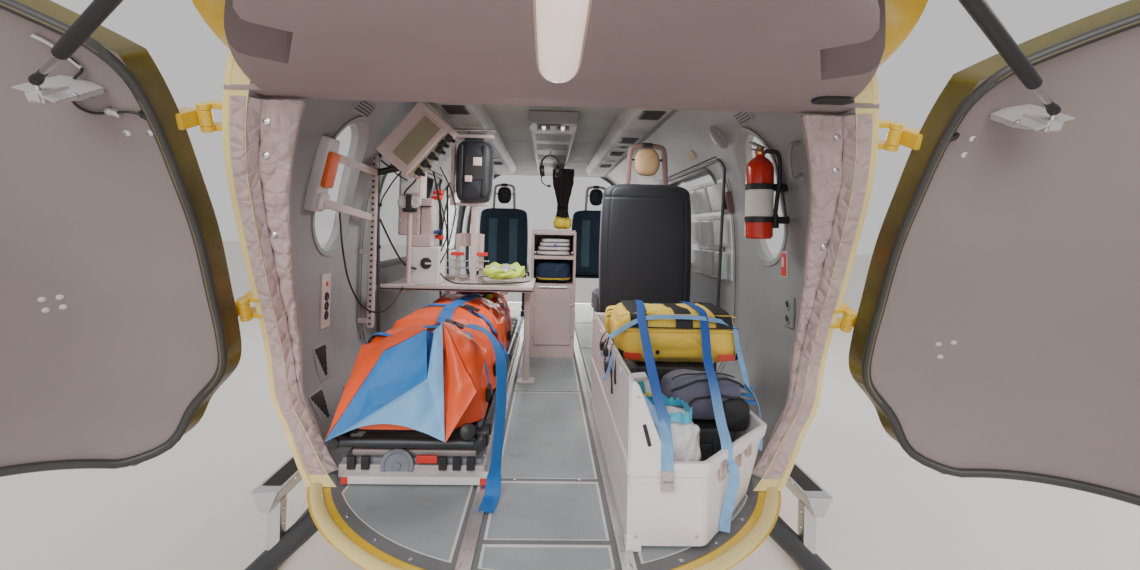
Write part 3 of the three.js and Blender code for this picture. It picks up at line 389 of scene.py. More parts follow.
def slab_profile(width: float, thickness: float, crown: float = 0.0) -> Array:
    """A flat strap's profile: a thin rectangle with softened edges and a raised middle."""
    w, t = width / 2, thickness / 2
    return np.array([[-w, 0], [-w + t, t], [-w / 3, t + crown], [w / 3, t + crown], [w - t, t],
                     [w, 0], [w - t, -t], [-w + t, -t]])


def rounded_outline(centre: Sequence[float], size: Sequence[float], radius: float,
                    steps: int = 6) -> Array:
    """A rectangle with round corners, as a closed run of points going anticlockwise."""
    angle = np.linspace(0, np.pi / 2, steps + 1)
    corners = [(1, 1, 0), (-1, 1, 1), (-1, -1, 2), (1, -1, 3)]
    half = np.asarray(size, float) / 2 - radius
    runs = [np.asarray(centre) + half * (u, v)
            + radius * np.stack([np.cos(angle + k * np.pi / 2), np.sin(angle + k * np.pi / 2)], 1)
            for u, v, k in corners]
    return np.concatenate(runs)


class Shape:
    """Points and faces of one piece, gathered surface by surface, in airframe millimetres."""

    def __init__(self) -> None:
        """Starts with nothing."""
        self.points: list[Array] = []
        self.faces: list[list[int]] = []
        self.paint: list[int] = []
        self.count = 0

    def add(self, points: Array, faces: Sequence[Sequence[int]], paint: int = 0) -> "Shape":
        """Adds points and the faces between them.

        Args:
            points: the new points.
            faces: runs of their numbers.
            paint: which finish of the piece the faces take.

        Returns:
            The shape itself.
        """
        flat = np.asarray(points, float).reshape(-1, 3)
        self.faces.extend([[k + self.count for k in face] for face in faces])
        self.paint.extend([paint] * len(faces))
        self.points.append(flat)
        self.count += len(flat)
        return self

    def grid(self, rows: Array, around: bool = False, along: bool = False, caps: bool = False,
             paint: int = 0) -> "Shape":
        """Adds a surface given as rows of points, u by v.

        Args:
            rows: points of shape u, v, 3.
            around: whether each row closes on itself.
            along: whether the last row joins the first.
            caps: whether the first and last rows are filled.
            paint: which finish the faces take.

        Returns:
            The shape itself.
        """
        n, m = rows.shape[:2]
        u, v = np.meshgrid(np.arange(n if along else n - 1), np.arange(m if around else m - 1),
                           indexing="ij")
        a = u * m + v
        b = u * m + (v + 1) % m
        c = ((u + 1) % n) * m + (v + 1) % m
        d = ((u + 1) % n) * m + v
        faces = np.stack([a, b, c, d], -1).reshape(-1, 4).tolist()
        if caps:
            faces += [list(range(m - 1, -1, -1)), list(range((n - 1) * m, n * m))]
        return self.add(rows, faces, paint)

    def shell(self, outer: Array, inner: Array, paint: tuple[int, int, int] = (0, 0, 0)) -> "Shape":
        """Adds a closed wall between two grids of one size: paint is outside, inside and edges."""
        self.grid(outer, paint=paint[0])
        self.grid(inner[::-1], paint=paint[1])
        for one, two in ((outer[0], inner[0]), (inner[-1], outer[-1]),
                         (inner[:, 0], outer[:, 0]), (outer[:, -1], inner[:, -1])):
            self.grid(np.stack([one, two]), paint=paint[2])
        return self

    def tube(self, path: Array, radius: float | Array, sides: int = 14, paint: int = 0,
             up: Sequence[float] = (0.05, 0.1, 1.0), closed: bool = False) -> "Shape":
        """Adds a round bar along a path; radius may change along it."""
        rows = sweep(np.asarray(path, float), ring(1.0, sides), up, closed, radius)
        return self.grid(rows, around=True, along=closed, caps=not closed, paint=paint)

    def rod(self, start: Sequence[float], end: Sequence[float], radius: float, sides: int = 16,
            paint: int = 0) -> "Shape":
        """Adds a straight round bar with chamfered ends."""
        a, b = np.asarray(start, float), np.asarray(end, float)
        edge = min(radius * 0.2, 2.0) / max(np.linalg.norm(b - a), 1e-6)
        share = np.array([0.0, edge, 1 - edge, 1.0])
        size = radius * np.array([0.86, 1.0, 1.0, 0.86])
        tilt = (1.0, 0.2, 0.1) if abs(unit(b - a)[0]) < 0.8 else (0.1, 0.2, 1.0)
        return self.tube(a + share[:, None] * (b - a), size, sides, paint, tilt)

    def lathe(self, base: Sequence[float], axis: Sequence[float],
              profile: Sequence[Sequence[float]], sides: int = 28, paint: int = 0) -> "Shape":
        """Adds a turned form: the profile lists how far along the axis, and how far out."""
        line = unit(np.asarray(axis, float))
        table = np.asarray(profile, float)
        tilt = np.array([1.0, 0.0, 0.0]) if abs(line[0]) < 0.8 else np.array([0.0, 0.0, 1.0])
        side = unit(np.cross(line, tilt))
        lift = np.cross(side, line)
        circle = ring(1.0, sides)
        spokes = circle[:, :1] * side + circle[:, 1:] * lift
        rows = (np.asarray(base, float) + table[:, :1, None] * line
                + table[:, 1:, None] * spokes[None])
        return self.grid(rows, around=True, caps=True, paint=paint)

    def block(self, centre: Sequence[float], size: Sequence[float], radius: float = 2.0,
              turn: Array | None = None, paint: int = 0, steps: int = 2) -> "Shape":
        """Adds a box with round edges: an octant of a sphere pushed out to each corner.

        Args:
            centre: the box's middle.
            size: its three sizes.
            radius: of the edges.
            turn: an optional 3x3 rotation about the middle.
            paint: which finish the faces take.
            steps: facets over a quarter turn of an edge.

        Returns:
            The shape itself.
        """
        quarter = np.linspace(0, np.pi / 2, steps + 1)
        lon = np.concatenate([quarter + k * np.pi / 2 for k in range(4)])
        lat = np.concatenate([quarter - np.pi / 2, quarter])
        sign_x = np.repeat([1, -1, -1, 1], steps + 1)
        sign_y = np.repeat([1, 1, -1, -1], steps + 1)
        sign_z = np.repeat([-1, 1], steps + 1)
        half = np.asarray(size, float) / 2
        r = min(radius, half.min() * 0.98)
        out = np.stack([np.outer(np.cos(lat), np.cos(lon)), np.outer(np.cos(lat), np.sin(lon)),
                        np.outer(np.sin(lat), np.ones_like(lon))], -1)
        corner = np.stack([np.broadcast_to(sign_x, out.shape[:2]),
                           np.broadcast_to(sign_y, out.shape[:2]),
                           np.broadcast_to(sign_z[:, None], out.shape[:2])], -1)
        rows = out * r + corner * (half - r)
        if turn is not None:
            rows = rows @ np.asarray(turn, float).T
        return self.grid(rows + np.asarray(centre, float), around=True, caps=True, paint=paint)

    def span(self, low: Sequence[float], high: Sequence[float], radius: float = 2.0,
             paint: int = 0) -> "Shape":
        """Adds a round-edged box between two corners."""
        a, b = np.asarray(low, float), np.asarray(high, float)
        return self.block((a + b) / 2, b - a, radius, paint=paint)

    def plate(self, outline: Array, normal: str, start: float, end: float, edge: float = 1.5,
              paint: int = 0) -> "Shape":
        """Adds a flat plate: an outline carried along an axis, with chamfered rims.

        Args:
            outline: points in the other two axes, in x, y, z order.
            normal: the axis across the plate, x, y or z.
            start: where it starts on that axis.
            end: where it ends.
            edge: the chamfer.
            paint: which finish the faces take.

        Returns:
            The shape itself.
        """
        flat = np.asarray(outline, float)
        tangent = unit(np.roll(flat, -1, 0) - np.roll(flat, 1, 0))
        turned = np.stack([tangent[:, 1], -tangent[:, 0]], 1)
        area = np.sum(flat[:, 0] * np.roll(flat[:, 1], -1) - flat[:, 1] * np.roll(flat[:, 0], -1))
        inward = -turned * np.sign(area)
        edge = min(edge, abs(end - start) * 0.45)
        depths = [start, start + edge, end - edge, end]
        rims = [flat + inward * edge, flat, flat, flat + inward * edge]
        place = "xyz".index(normal)
        rows = np.stack([np.insert(rim, place, depth, axis=1) for rim, depth in zip(rims, depths)])
        return self.grid(rows, around=True, caps=True, paint=paint)

    def moved(self, change: "Motion") -> "Shape":
        """The shape with its points passed through a motion."""
        self.points = [change(points) for points in self.points]
        return self

    def mirrored(self) -> "Shape":
        """A copy on the other side of the centre plane."""
        other = Shape()
        other.points = [points * (-1, 1, 1) for points in self.points]
        other.faces = [face[::-1] for face in self.faces]
        other.paint = list(self.paint)
        other.count = self.count
        return other

    def join(self, other: "Shape", paint: int | None = None) -> "Shape":
        """Adds another shape's faces, with their own finishes or one for all."""
        self.faces.extend([[k + self.count for k in face] for face in other.faces])
        self.paint.extend(other.paint if paint is None else [paint] * len(other.paint))
        self.points.extend(other.points)
        self.count += other.count
        return self

    def mesh(self, name: str) -> bpy.types.Mesh:
        """The shape as a mesh in metres, doubles merged and faces turned outwards."""
        made = bpy.data.meshes.new(name)
        places = (np.concatenate(self.points) + ORIGIN) / 1000.0
        made.from_pydata(places.tolist(), [], self.faces)
        made.polygons.foreach_set("material_index", np.asarray(self.paint, np.int32))
        work = bmesh.new()
        work.from_mesh(made)
        bmesh.ops.remove_doubles(work, verts=work.verts, dist=MERGE / 1000.0)
        bmesh.ops.dissolve_degenerate(work, edges=work.edges, dist=1e-6)
        bmesh.ops.recalc_face_normals(work, faces=work.faces)
        work.to_mesh(made)
        work.free()
        return made


class Motion:
    """A turn about a line, kept so that closed and open places can be swapped."""

    def __init__(self, pivot: Sequence[float], axis: Sequence[float], degrees: float) -> None:
        """Keeps the line and the angle."""
        self.pivot = np.asarray(pivot, float)
        self.axis = np.asarray(axis, float)
        self.degrees = degrees

    def __call__(self, points: Array) -> Array:
        """The points after the turn."""
        return swing(points, self.pivot, self.axis, self.degrees)


@dataclass
class Outfit:
    """How a shape becomes a piece: its finishes, what it rides on and what it stands for."""

    finishes: Sequence[Finish | ClearFinish]
    body: str = ROOT
    replaces: Sequence[str] = ()
    slot: str | None = None
    crease: float = CREASE
    flat: bool = True


def put(name: str, shape: Shape, outfit: Outfit) -> bpy.types.Object:
    """Makes a finished piece of the scene.

    Args:
        name: the piece's name.
        shape: its points and faces.
        outfit: its finishes, body, replaced nodes and shading.

    Returns:
        The piece's object.
    """
    mesh = shape.mesh(name)
    for finish in outfit.finishes:
        mesh.materials.append(finish.material())
    mesh.polygons.foreach_set("use_smooth", np.ones(len(mesh.polygons), bool))
    mesh.set_sharp_from_angle(angle=math.radians(outfit.crease))
    piece = bpy.data.objects.new(name, mesh)
    bpy.context.scene.collection.objects.link(piece)
    if outfit.flat:
        piece.modifiers.new("flats", "WEIGHTED_NORMAL").keep_sharp = True
    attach(piece, outfit.body)
    if outfit.replaces:
        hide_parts(*outfit.replaces)
    LOG.info("%s: %d faces on %s", name, len(mesh.polygons), outfit.body)
    return piece


def carve(piece: bpy.types.Object, *cutters: Shape) -> None:
    """Cuts shapes out of a piece, and leaves the cut faces with the piece's last finish."""
    last = max(0, len(piece.data.materials) - 1)
    tools = []
    for number, shape in enumerate(cutters):
        mesh = shape.mesh(f"{piece.name}_cutter{number}")
        for finish in piece.data.materials:
            mesh.materials.append(finish)
        mesh.polygons.foreach_set("material_index", np.full(len(mesh.polygons), last, np.int32))
        tool = bpy.data.objects.new(mesh.name, mesh)
        bpy.context.scene.collection.objects.link(tool)
        tools.append(tool)
        change = piece.modifiers.new("carve", "BOOLEAN")
        change.operation = "DIFFERENCE"
        change.solver = "EXACT"
        change.object = tool
    kept = [m for m in piece.modifiers if m.type != "BOOLEAN"]
    for modifier in kept:
        modifier.show_viewport = False
    bpy.context.view_layer.update()
    carved = bpy.data.meshes.new_from_object(
        piece.evaluated_get(bpy.context.evaluated_depsgraph_get()))
    carved.name = piece.data.name
    piece.data = carved
    for modifier in [m for m in piece.modifiers if m.type == "BOOLEAN"]:
        piece.modifiers.remove(modifier)
    for modifier in kept:
        modifier.show_viewport = True
    for tool in tools:
        bpy.data.meshes.remove(tool.data)
    carved.polygons.foreach_set("use_smooth", np.ones(len(carved.polygons), bool))
    carved.set_sharp_from_angle(angle=math.radians(CREASE))


# Fuselage surface

# The section: half-width, height of the waist, rise to the crown and drop to the keel.
HALF, WAIST, RISE, DROP = 865.0, 450.0, 950.0, 650.0
UPPER_POWER, LOWER_POWER = 3.2, 2.6
# The walls: front station, thickness, last station, and the gap and post round the doorway.
FRONT = 5100.0
WALL = 50.0
WALL_END = 5039.7
DOOR_GAP = 6.0
POST_WIDTH = 118.0
WALL_FOOT, WALL_TALL = 0.3, 1119.7
ROOF_FOOT = 1120.3
CROSS_TUBES = (1680.0, 4100.0)
# The rear capsule: where it starts, how far it leans, how deep it is, and over which heights.
SHOULDER, SHOULDER_LEAN, SHOULDER_RISE = 1700.0, 420.0, 1150.0
CAPSULE, CAPSULE_GROWTH, CAPSULE_RISE = 714.0, 110.0, 1100.0
# The line between the doors and the boom root: its height and slope at a station.
PARTING, PARTING_SLOPE, PARTING_STATION = 1120.0, 0.08, 1200.0
# The doorway's edge as height and station, and the hinges: line, arms' heights and reaches.
DOORWAY = np.array([[0, 1432], [100, 1528], [200, 1530], [330, 1552], [455, 1509], [551, 1462],
                    [728, 1376], [854, 1306], [1022, 1222], [1240, 1105]], float)
HINGE_LOWER = np.array([887.0, 1505.0, 454.0])
HINGE_UPPER = np.array([855.0, 1244.0, 1015.0])
HINGE_ARMS = ((480.0, 42.0), (985.0, 62.0))
OPEN_DEGREES = 94.9
# The right strut: its pivot in the boom root and its pin on the shut door.
PIVOT = np.array([300.0, 565.0, 1215.0])
PIN = np.array([605.0, 1095.0, 1015.0])
LINTEL_REAR = 1210.0


class Side(Enum):
    """The two sides of the cabin, with the sign of x."""

    RIGHT = 1
    LEFT = -1

    @property
    def letter(self) -> str:
        """R or L, as in the node names."""
        return self.name[0]

    def of(self, shape: Shape) -> Shape:
        """A shape drawn on the right, put on this side."""
        return shape if self is Side.RIGHT else shape.mirrored()


def half_width(height: Array | float, inset: float = 0.0) -> Array:
    """Half-width of the section: a superellipse, fuller above the waist than below."""
    height = np.asarray(height, float)
    above = height > WAIST
    reach = np.where(above, RISE, DROP) - inset
    power = np.where(above, UPPER_POWER, LOWER_POWER)
    share = np.clip(np.abs(height - WAIST) / reach, 0, 1)
    return (HALF - inset) * (1 - share**power) ** (1 / power)


def shoulder(height: Array | float) -> Array:
    """Station where the rear capsule starts: it leans forward with the height to the power 1.6."""
    share = np.clip(np.asarray(height, float) / SHOULDER_RISE, 0, 1)
    return SHOULDER - SHOULDER_LEAN * share ** 1.6


def capsule_depth(height: Array, half: Array, inset: float) -> Array:
    """Length of the rear ellipse at a height; below the floor it shrinks with the half-width."""
    swollen = CAPSULE + CAPSULE_GROWTH * np.clip(height / CAPSULE_RISE, 0, 1) - inset
    return np.where(height < 0, swollen * np.minimum(1, half / (half_width(0.0) - inset)), swollen)


def skin_x(height: Array | float, station: Array | float, inset: float = 0.0) -> Array:
    """x of the skin, shrunk by inset, at a height and station."""
    height = np.asarray(height, float)
    half = half_width(height, inset)
    behind = (shoulder(height) - station) / capsule_depth(height, half, inset)
    return half * np.sqrt(1 - np.clip(behind, 0, 1) ** 2)


def section(angle: Array, inset: float = 0.0) -> tuple[Array, Array]:
    """Half-width and height by angle, from -90 degrees at the keel to 90 at the crown."""
    power = np.where(angle > 0, UPPER_POWER, LOWER_POWER)
    reach = np.where(angle > 0, RISE - inset, -(DROP - inset))
    cos, sin = np.clip(np.cos(angle), 0, 1), np.abs(np.sin(angle))
    return (HALF - inset) * cos ** (2 / power), WAIST + reach * sin ** (2 / power)


def doorway(height: Array | float) -> Array:
    """Station of the clamshell doorway's edge: a cubic through the surveyed points."""
    h, s = DOORWAY.T
    slope = np.gradient(s, h)
    height = np.clip(np.asarray(height, float), h[0], h[-1])
    k = np.clip(np.searchsorted(h, height, "right") - 1, 0, len(h) - 2)
    width = h[k + 1] - h[k]
    t = (height - h[k]) / width
    return ((2 * t**3 - 3 * t**2 + 1) * s[k] + (t**3 - 2 * t**2 + t) * width * slope[k]
            + (3 * t**2 - 2 * t**3) * s[k + 1] + (t**3 - t**2) * width * slope[k + 1])


def parting(station: Array | float) -> Array:
    """Height of the sloping line where the doors meet the boom root."""
    return PARTING + PARTING_SLOPE * (PARTING_STATION - np.asarray(station, float))


def wall_grid(stations: Array, heights: Array, inset: float) -> Array:
    """Points on the right side of the skin for grids of stations and heights."""
    return np.stack([skin_x(heights, stations, inset), stations, heights], -1)


def plan_loop(height: Array, half: Array, depth: Array, front: float, steps: int = 40) -> Array:
    """Closed plan outlines, one per height: straight sides and an elliptical rear."""
    angle = np.linspace(np.pi / 2, -np.pi / 2, steps)
    x = half[:, None] * np.sin(angle)
    station = shoulder(height)[:, None] - depth[:, None] * np.cos(angle)
    level = np.repeat(height[:, None], steps, 1)
    rear = np.stack([x, station, level], -1)
    right = np.stack([half, np.full_like(half, front), height], -1)[:, None]
    left = right * (-1, 1, 1)
    return np.concatenate([right, rear, left], 1)


def ripple(points: Array, size: float, seed: float = 0.0) -> Array:
    """Smooth unevenness from -1 to 1: sines along seven fixed directions, summed."""
    k = np.arange(7)
    lines = np.stack([np.sin(k * 2.4 + seed), np.cos(k * 1.7 + seed * 1.3),
                      np.sin(k * 3.9 + 1 + seed)], 1)
    waves = np.sin(points @ lines.T * (2 * np.pi / size) * (0.7 + 0.12 * k) + k * 1.9 + seed * 5)
    return waves.mean(-1) * 1.6


# Finishes of the airframe

YELLOW = Finish("hull_yellow", (0.80, 0.53, 0.03), 0.28, coat=0.6, depth=0.05, drift=0.03,
                soil=0.05)
PALE_YELLOW = Finish("rim_yellow", (0.87, 0.72, 0.30), 0.4, coat=0.3, depth=0.03, drift=0.05)
MAUVE = Finish("door_mauve", (0.265, 0.215, 0.21), 0.62, grain=Grain.PEBBLED, grain_size=1.6,
               depth=0.06, drift=0.05, drift_size=420.0, soil=0.08)
PANEL_MAUVE = Finish("overhead_mauve", (0.29, 0.225, 0.225), 0.6, grain=Grain.PEBBLED,
                     grain_size=1.6, depth=0.06, drift=0.05, drift_size=500.0, soil=0.06)
WALL_GREY = Finish("wall_grey", (0.30, 0.31, 0.32), 0.5, grain=Grain.PEBBLED, grain_size=1.5,
                   depth=0.08, drift=0.06, drift_size=300.0)
RUBBER = Finish("rubber_seal", (0.045, 0.045, 0.043), 0.42, grain_size=0.8, depth=0.04, drift=0.12)
# Olive colour of the strip on the door seal's crest: a painted highlight.
SEAL_HIGHLIGHT = Finish("seal_ridge", (0.15, 0.125, 0.055), 0.35, depth=0.02, drift=0.2)
# Dark olive for the clamshell doors' yellow edge faces: painted shade.
DOOR_EDGE_SHADE = Finish("door_edge_olive", (0.11, 0.09, 0.022), 0.3, coat=0.5, depth=0.02, drift=0.25)
# Black: painted shade on the edges and cut faces of the sliding and cockpit door leaves, in the
# shut gap; black plastic on the duct vents and the panel vent.
SHUT_SHADE_AND_BLACK = Finish("shut_line_black", (0.03, 0.03, 0.035), 0.6, grain=Grain.PEBBLED, depth=0.03)
BARE_METAL = Finish("bare_aluminium", (0.62, 0.62, 0.63), 0.32, metallic=0.9, grain=Grain.BRUSHED,
                    grain_size=0.5, depth=0.02)
STEEL = Finish("polished_steel", (0.66, 0.67, 0.69), 0.22, metallic=1.0, grain=Grain.BRUSHED,
               grain_size=0.4, depth=0.01)
DARK_METAL = Finish("gun_metal", (0.055, 0.06, 0.065), 0.42, metallic=0.5, grain=Grain.PEBBLED,
                    grain_size=0.9, depth=0.04)
BLACK_PLASTIC = Finish("black_plastic", (0.022, 0.022, 0.025), 0.45, grain=Grain.PEBBLED,
                       grain_size=0.7, depth=0.04)
PALE_BRACKET = Finish("pale_bracket", (0.56, 0.55, 0.55), 0.38, metallic=0.3, grain=Grain.PEBBLED,
                      grain_size=1.0, depth=0.03)
CORD_BROWN = Finish("cord_brown", (0.36, 0.17, 0.08), 0.7, drift=0.3, drift_size=12.0)
# Darker mauve on the overhead panel's cut faces in its slots and recesses: painted shade.
PANEL_RECESS_SHADE = Finish("overhead_shade", (0.17, 0.13, 0.13), 0.7, grain=Grain.PEBBLED, depth=0.04)
WINDOW = ClearFinish("window_sheet")


def fastener(shape: Shape, place: Sequence[float], normal: Sequence[float], radius: float = 5.0,
             paint: int = 0) -> None:
    """Adds a domed screw head standing on a surface, with a ring washer under it."""
    r = radius
    shape.lathe(place, normal, [(-1.0, r * 1.3), (0.7, r * 1.3), (0.9, r), (1.6, r),
                                (2.4, r * 0.75), (2.8, r * 0.35), (1.9, r * 0.3), (1.9, 0.01)], 12,
                paint)


def hinge_frame() -> Array:
    """Columns outboard, forward and up along the right clamshell door's hinge line."""
    line = unit(HINGE_UPPER - HINGE_LOWER)
    outboard = unit(np.array([1.0, 0, 0]) - line[0] * line)
    return np.stack([outboard, np.cross(line, outboard), line], 1)


def hinge_arms() -> list[tuple[Array, float]]:
    """The centre of each hinge on the right and how far its arm reaches."""
    line = HINGE_UPPER - HINGE_LOWER
    return [(HINGE_LOWER + (height - HINGE_LOWER[2]) / line[2] * line, reach)
            for height, reach in HINGE_ARMS]


@dataclass
class ClamshellDoor:
    """One rear door, drawn shut on the right and then swung open."""

    side: Side
    bottom: float = 36.0
    width: float = 1030.0
    tall: float = 1090.0
    centre_gap: float = 4.0
    top_gap: float = 4.0
    rim: float = 13.0
    corner: float = 0.055
    seal_radius: float = 11.0
    seal_inset: float = 50.0
    seal_margin: float = 17.0
    seal_points: int = 200

    @property
    def studs(self) -> Sequence[tuple[float, float]]:
        """Where the press studs are on the inner face, from the photograph."""
        if self.side is Side.LEFT:
            return ((0.907, 0.813), (0.958, 0.836), (0.631, 0.402), (0.661, 0.409), (0.631, 0.377),
                    (0.661, 0.386))
        return ((0.914, 0.85), (0.968, 0.841), (0.914, 0.818), (0.806, 0.344), (0.773, 0.344),
                (0.797, 0.307))

    @property
    def open(self) -> Motion:
        """The swing from shut to open."""
        return Motion(HINGE_LOWER, HINGE_UPPER - HINGE_LOWER, OPEN_DEGREES)

    def surface(self, u: Array, v: Array, inset: float) -> Array:
        """Points of the door: u from the centre line to the hinge edge, v from sill to top.

        The plan at each height is the capsule's ellipse; u is shared out by its angle. The top
        follows the sloping parting line, whose height depends on the station, found by repeating.
        """
        height = self.bottom + v * self.tall
        for _ in range(4):
            half = half_width(height, inset)
            depth = capsule_depth(height, half, inset)
            first = np.arcsin(self.centre_gap / half)
            edge = doorway(height) - DOOR_GAP
            last = np.arccos(np.clip((shoulder(height) - edge) / depth, -1, 1))
            angle = first + u * (last - first)
            station = shoulder(height) - depth * np.cos(angle)
            height = self.bottom + v * (parting(station) - self.top_gap - self.bottom)
        return np.stack([half * np.sin(angle), station, height], -1)

    def perimeter(self, inset: float) -> Array:
        """The seal's closed line around the door, a margin in from its edge, corners rounded."""
        u0, v0 = self.seal_margin / self.width, self.seal_margin / self.tall
        angle = np.linspace(0, np.pi / 2, 12)
        runs = []
        for k, (cu, cv) in enumerate(((1, 1), (0, 1), (0, 0), (1, 0))):
            ru, rv = self.corner * self.tall / self.width, self.corner
            mid = (u0 + ru if cu == 0 else 1 - u0 - ru, v0 + rv if cv == 0 else 1 - v0 - rv)
            turn = angle + k * np.pi / 2
            runs.append(np.stack([mid[0] + ru * np.cos(turn), mid[1] + rv * np.sin(turn)], 1))
        loop = np.concatenate(runs + [runs[0][:1]])
        steps = np.linalg.norm(np.diff(loop, axis=0), axis=1)
        run = np.concatenate([[0.0], np.cumsum(steps)])
        wanted = np.linspace(0, run[-1], self.seal_points, endpoint=False)
        u, v = (np.interp(wanted, run, loop[:, k]) for k in range(2))
        return self.surface(u, v, inset)

    def leaf(self) -> Shape:
        """The door's skin: yellow outside, mauve inside, and on the edge dark olive, which is
        painted shade on the yellow paint.
        """
        u, v = np.meshgrid(np.linspace(0, 1, 60), np.linspace(0, 1, 64))
        share = 2 * self.rim / (self.width + self.tall)
        inner_u, inner_v = share + u * (1 - 2 * share), share + v * (1 - 2 * share)
        return Shape().shell(self.surface(u, v, 0.0), self.surface(inner_u, inner_v, WALL),
                             (0, 1, 2))

    def seal(self) -> Shape:
        """The rubber tube round the inside, with an olive strip along its crest as a painted
        highlight.
        """
        path = self.perimeter(self.seal_inset)
        inward = unit(self.perimeter(self.seal_inset + 20.0) - path)
        r = self.seal_radius
        angle = np.linspace(0, 2 * np.pi, 14, endpoint=False)
        profile = np.stack([1.15 * r * np.cos(angle), 4 + r * np.sin(angle)], 1)
        rows = sweep(path, profile, inward, closed=True)
        shape = Shape().grid(rows, around=True, along=True)
        # The olive strip on the tube's crest is a painted highlight, not a part of the seal.
        ridge = path + inward * (r + 3.4)
        return shape.grid(sweep(ridge, slab_profile(5.0, 2.2), inward, closed=True), around=True,
                          along=True, paint=1)

    def inner_frame(self, u: float, v: float) -> tuple[Array, Array, Array, Array]:
        """A place on the inner face, with its inward, hingeward and upward directions."""
        here, side, top = (self.surface(np.array(a), np.array(b), WALL)
                           for a, b in ((u, v), (u + 0.01, v), (u, v + 0.01)))
        across, up = unit(side - here), unit(top - here)
        inward = unit(np.cross(up, across))
        inward = inward if inward[0] < 0 else -inward
        return here, inward, across, up

    @staticmethod
    def bracket_frame() -> Array:
        """Columns towards the hinge, up the door and out through its skin, at the ball."""
        outward = unit(np.array([62.0, -6.0, 6.0]))
        line = unit(HINGE_UPPER - HINGE_LOWER)
        up = unit(line - outward * float(line @ outward))
        return np.stack([np.cross(up, outward), up, outward], 1)

    def bracket(self) -> Shape:
        """Wedge bracket of the strut's ball: a folded top, two webs, and a socket block."""
        frame = self.bracket_frame()

        def place(x: float, y: float, z: float) -> Array:
            """A point given across, up and out of the door at the ball."""
            return PIN + frame @ np.array([x * 0.6, y * 0.62, z], float)

        shape = Shape()
        edge = np.array([[-60, -16], [0, -30], [60, -54]], float)
        fine = smooth_path(np.insert(edge, 2, 0.0, axis=1), 16)[:, :2]
        rows = []
        for depth in (-12.0, 104.0):
            for drop in (0.0, 4.0)[:: 1 if depth < 0 else -1]:
                rows.append(np.stack([place(x, y - drop, depth) for x, y in fine]))
        shape.grid(np.stack(rows), along=True, paint=0)
        for x, top in ((-58.0, -18.0), (58.0, -55.0)):
            web = [place(x + s, y, z) for s in (-2, 2) for y, z in (
                (top, -12), (top, 102), (-72, 100), (-72, 40))]
            shape.add(np.stack(web), [[0, 1, 2, 3], [7, 6, 5, 4], [0, 4, 5, 1], [1, 5, 6, 2],
                                      [2, 6, 7, 3], [3, 7, 4, 0]], 0)
        shape.block(place(-4, -46, 20), (34, 24, 62), 4, frame, 0)
        shape.block(place(-4, -44, -11.5), (21, 12, 4), 3, frame, 1)
        shape.block(place(-4, -44, -13.0), (25, 16, 2), 4, frame, 0)
        shape.rod(place(0, -40, 0), place(0, 0, 0), 5, paint=2)
        shape.lathe(place(0, -8, 0), frame[:, 1], [(0, 3), (1, 5.5), (4, 7.2), (8, 8.0), (12, 7.2),
                                                   (15, 5.5), (16, 1.5)], 18, 1)
        for x, y, z, paint in ((-46, -62, 78, 1), (40, -66, 78, 1), (46, -58, 40, 2),
                               (-46, -58, 40, 1)):
            shape.lathe(place(x, y, z), -frame[:, 2], [(0, 9), (2, 9), (2, 6.5), (6, 6),
                                                       (6.5, 0.3)], 14, paint)
        return shape

    def hardware(self) -> Shape:
        """Strut bracket with its ball, and the press studs of the door."""
        shape = self.bracket()
        for u, v in self.studs:
            here, normal, *_ = self.inner_frame(u, v)
            fastener(shape, here, normal, 5.5, 2)
        return shape

    def hinges(self) -> Shape:
        """The moving knuckles and the arms that carry the door."""
        shape, turn = Shape(), hinge_frame()
        outboard, forward, line = turn.T
        for centre, reach in hinge_arms():
            shape.lathe(centre - line * 20, line, [(0, 8.6), (0, 14), (2, 16), (38, 16), (40, 14),
                                                   (40, 8.6)], 24, 0)
            middle = centre + outboard * (8 - reach) / 2 - forward * 35.4
            shape.block(middle, (reach + 8, 45, 40), 5, turn, 0)
        return shape

    def tether(self) -> Shape:
        """Left: the cable from the bracket to the door's edge. Right: a short wrapped cord."""
        shape = Shape()
        if self.side is Side.LEFT:
            places = ((0.835, 0.945), (0.862, 0.94), (0.889, 0.92), (0.864, 0.893), (0.843, 0.865),
                      (0.836, 0.838), (0.86, 0.832), (0.906, 0.852), (0.94, 0.868), (0.969, 0.876))
            u, v = np.array(places).T
            shape.tube(smooth_path(self.surface(u, v, WALL + 7.0), 60), 2.8, 10, 1)
            shape.tube(smooth_path(self.surface(u[:3], v[:3], WALL + 7.0), 24), 4.2, 12, 0)
            clips = ((0.906, 0.852, 0), (0.969, 0.876, 1))
            ball, normal, *_ = self.inner_frame(0.895, 0.85)
            shape.lathe(ball + normal * 2, normal, [(0, 5), (3, 8), (8, 8.5), (12, 5), (13, 0.3)],
                        16, 0)
        else:
            u, v = np.array(((0.965, 0.877), (0.976, 0.878), (0.986, 0.879), (0.993, 0.878))).T
            path = smooth_path(self.surface(u, v, WALL + 7.0), 30)
            shape.tube(path, 3.2, 10, 1)
            shape.tube(path[8:], 4.6 + 0.7 * np.sin(np.arange(22) * 1.9), 12, 3)
            clips = ((0.966, 0.877, 1),)
        for u, v, paint in clips:
            here, normal, across, up = self.inner_frame(u, v)
            shape.block(here + normal * 6, (18, 14, 13), 3, np.stack([across, up, normal], 1),
                        paint)
        return shape

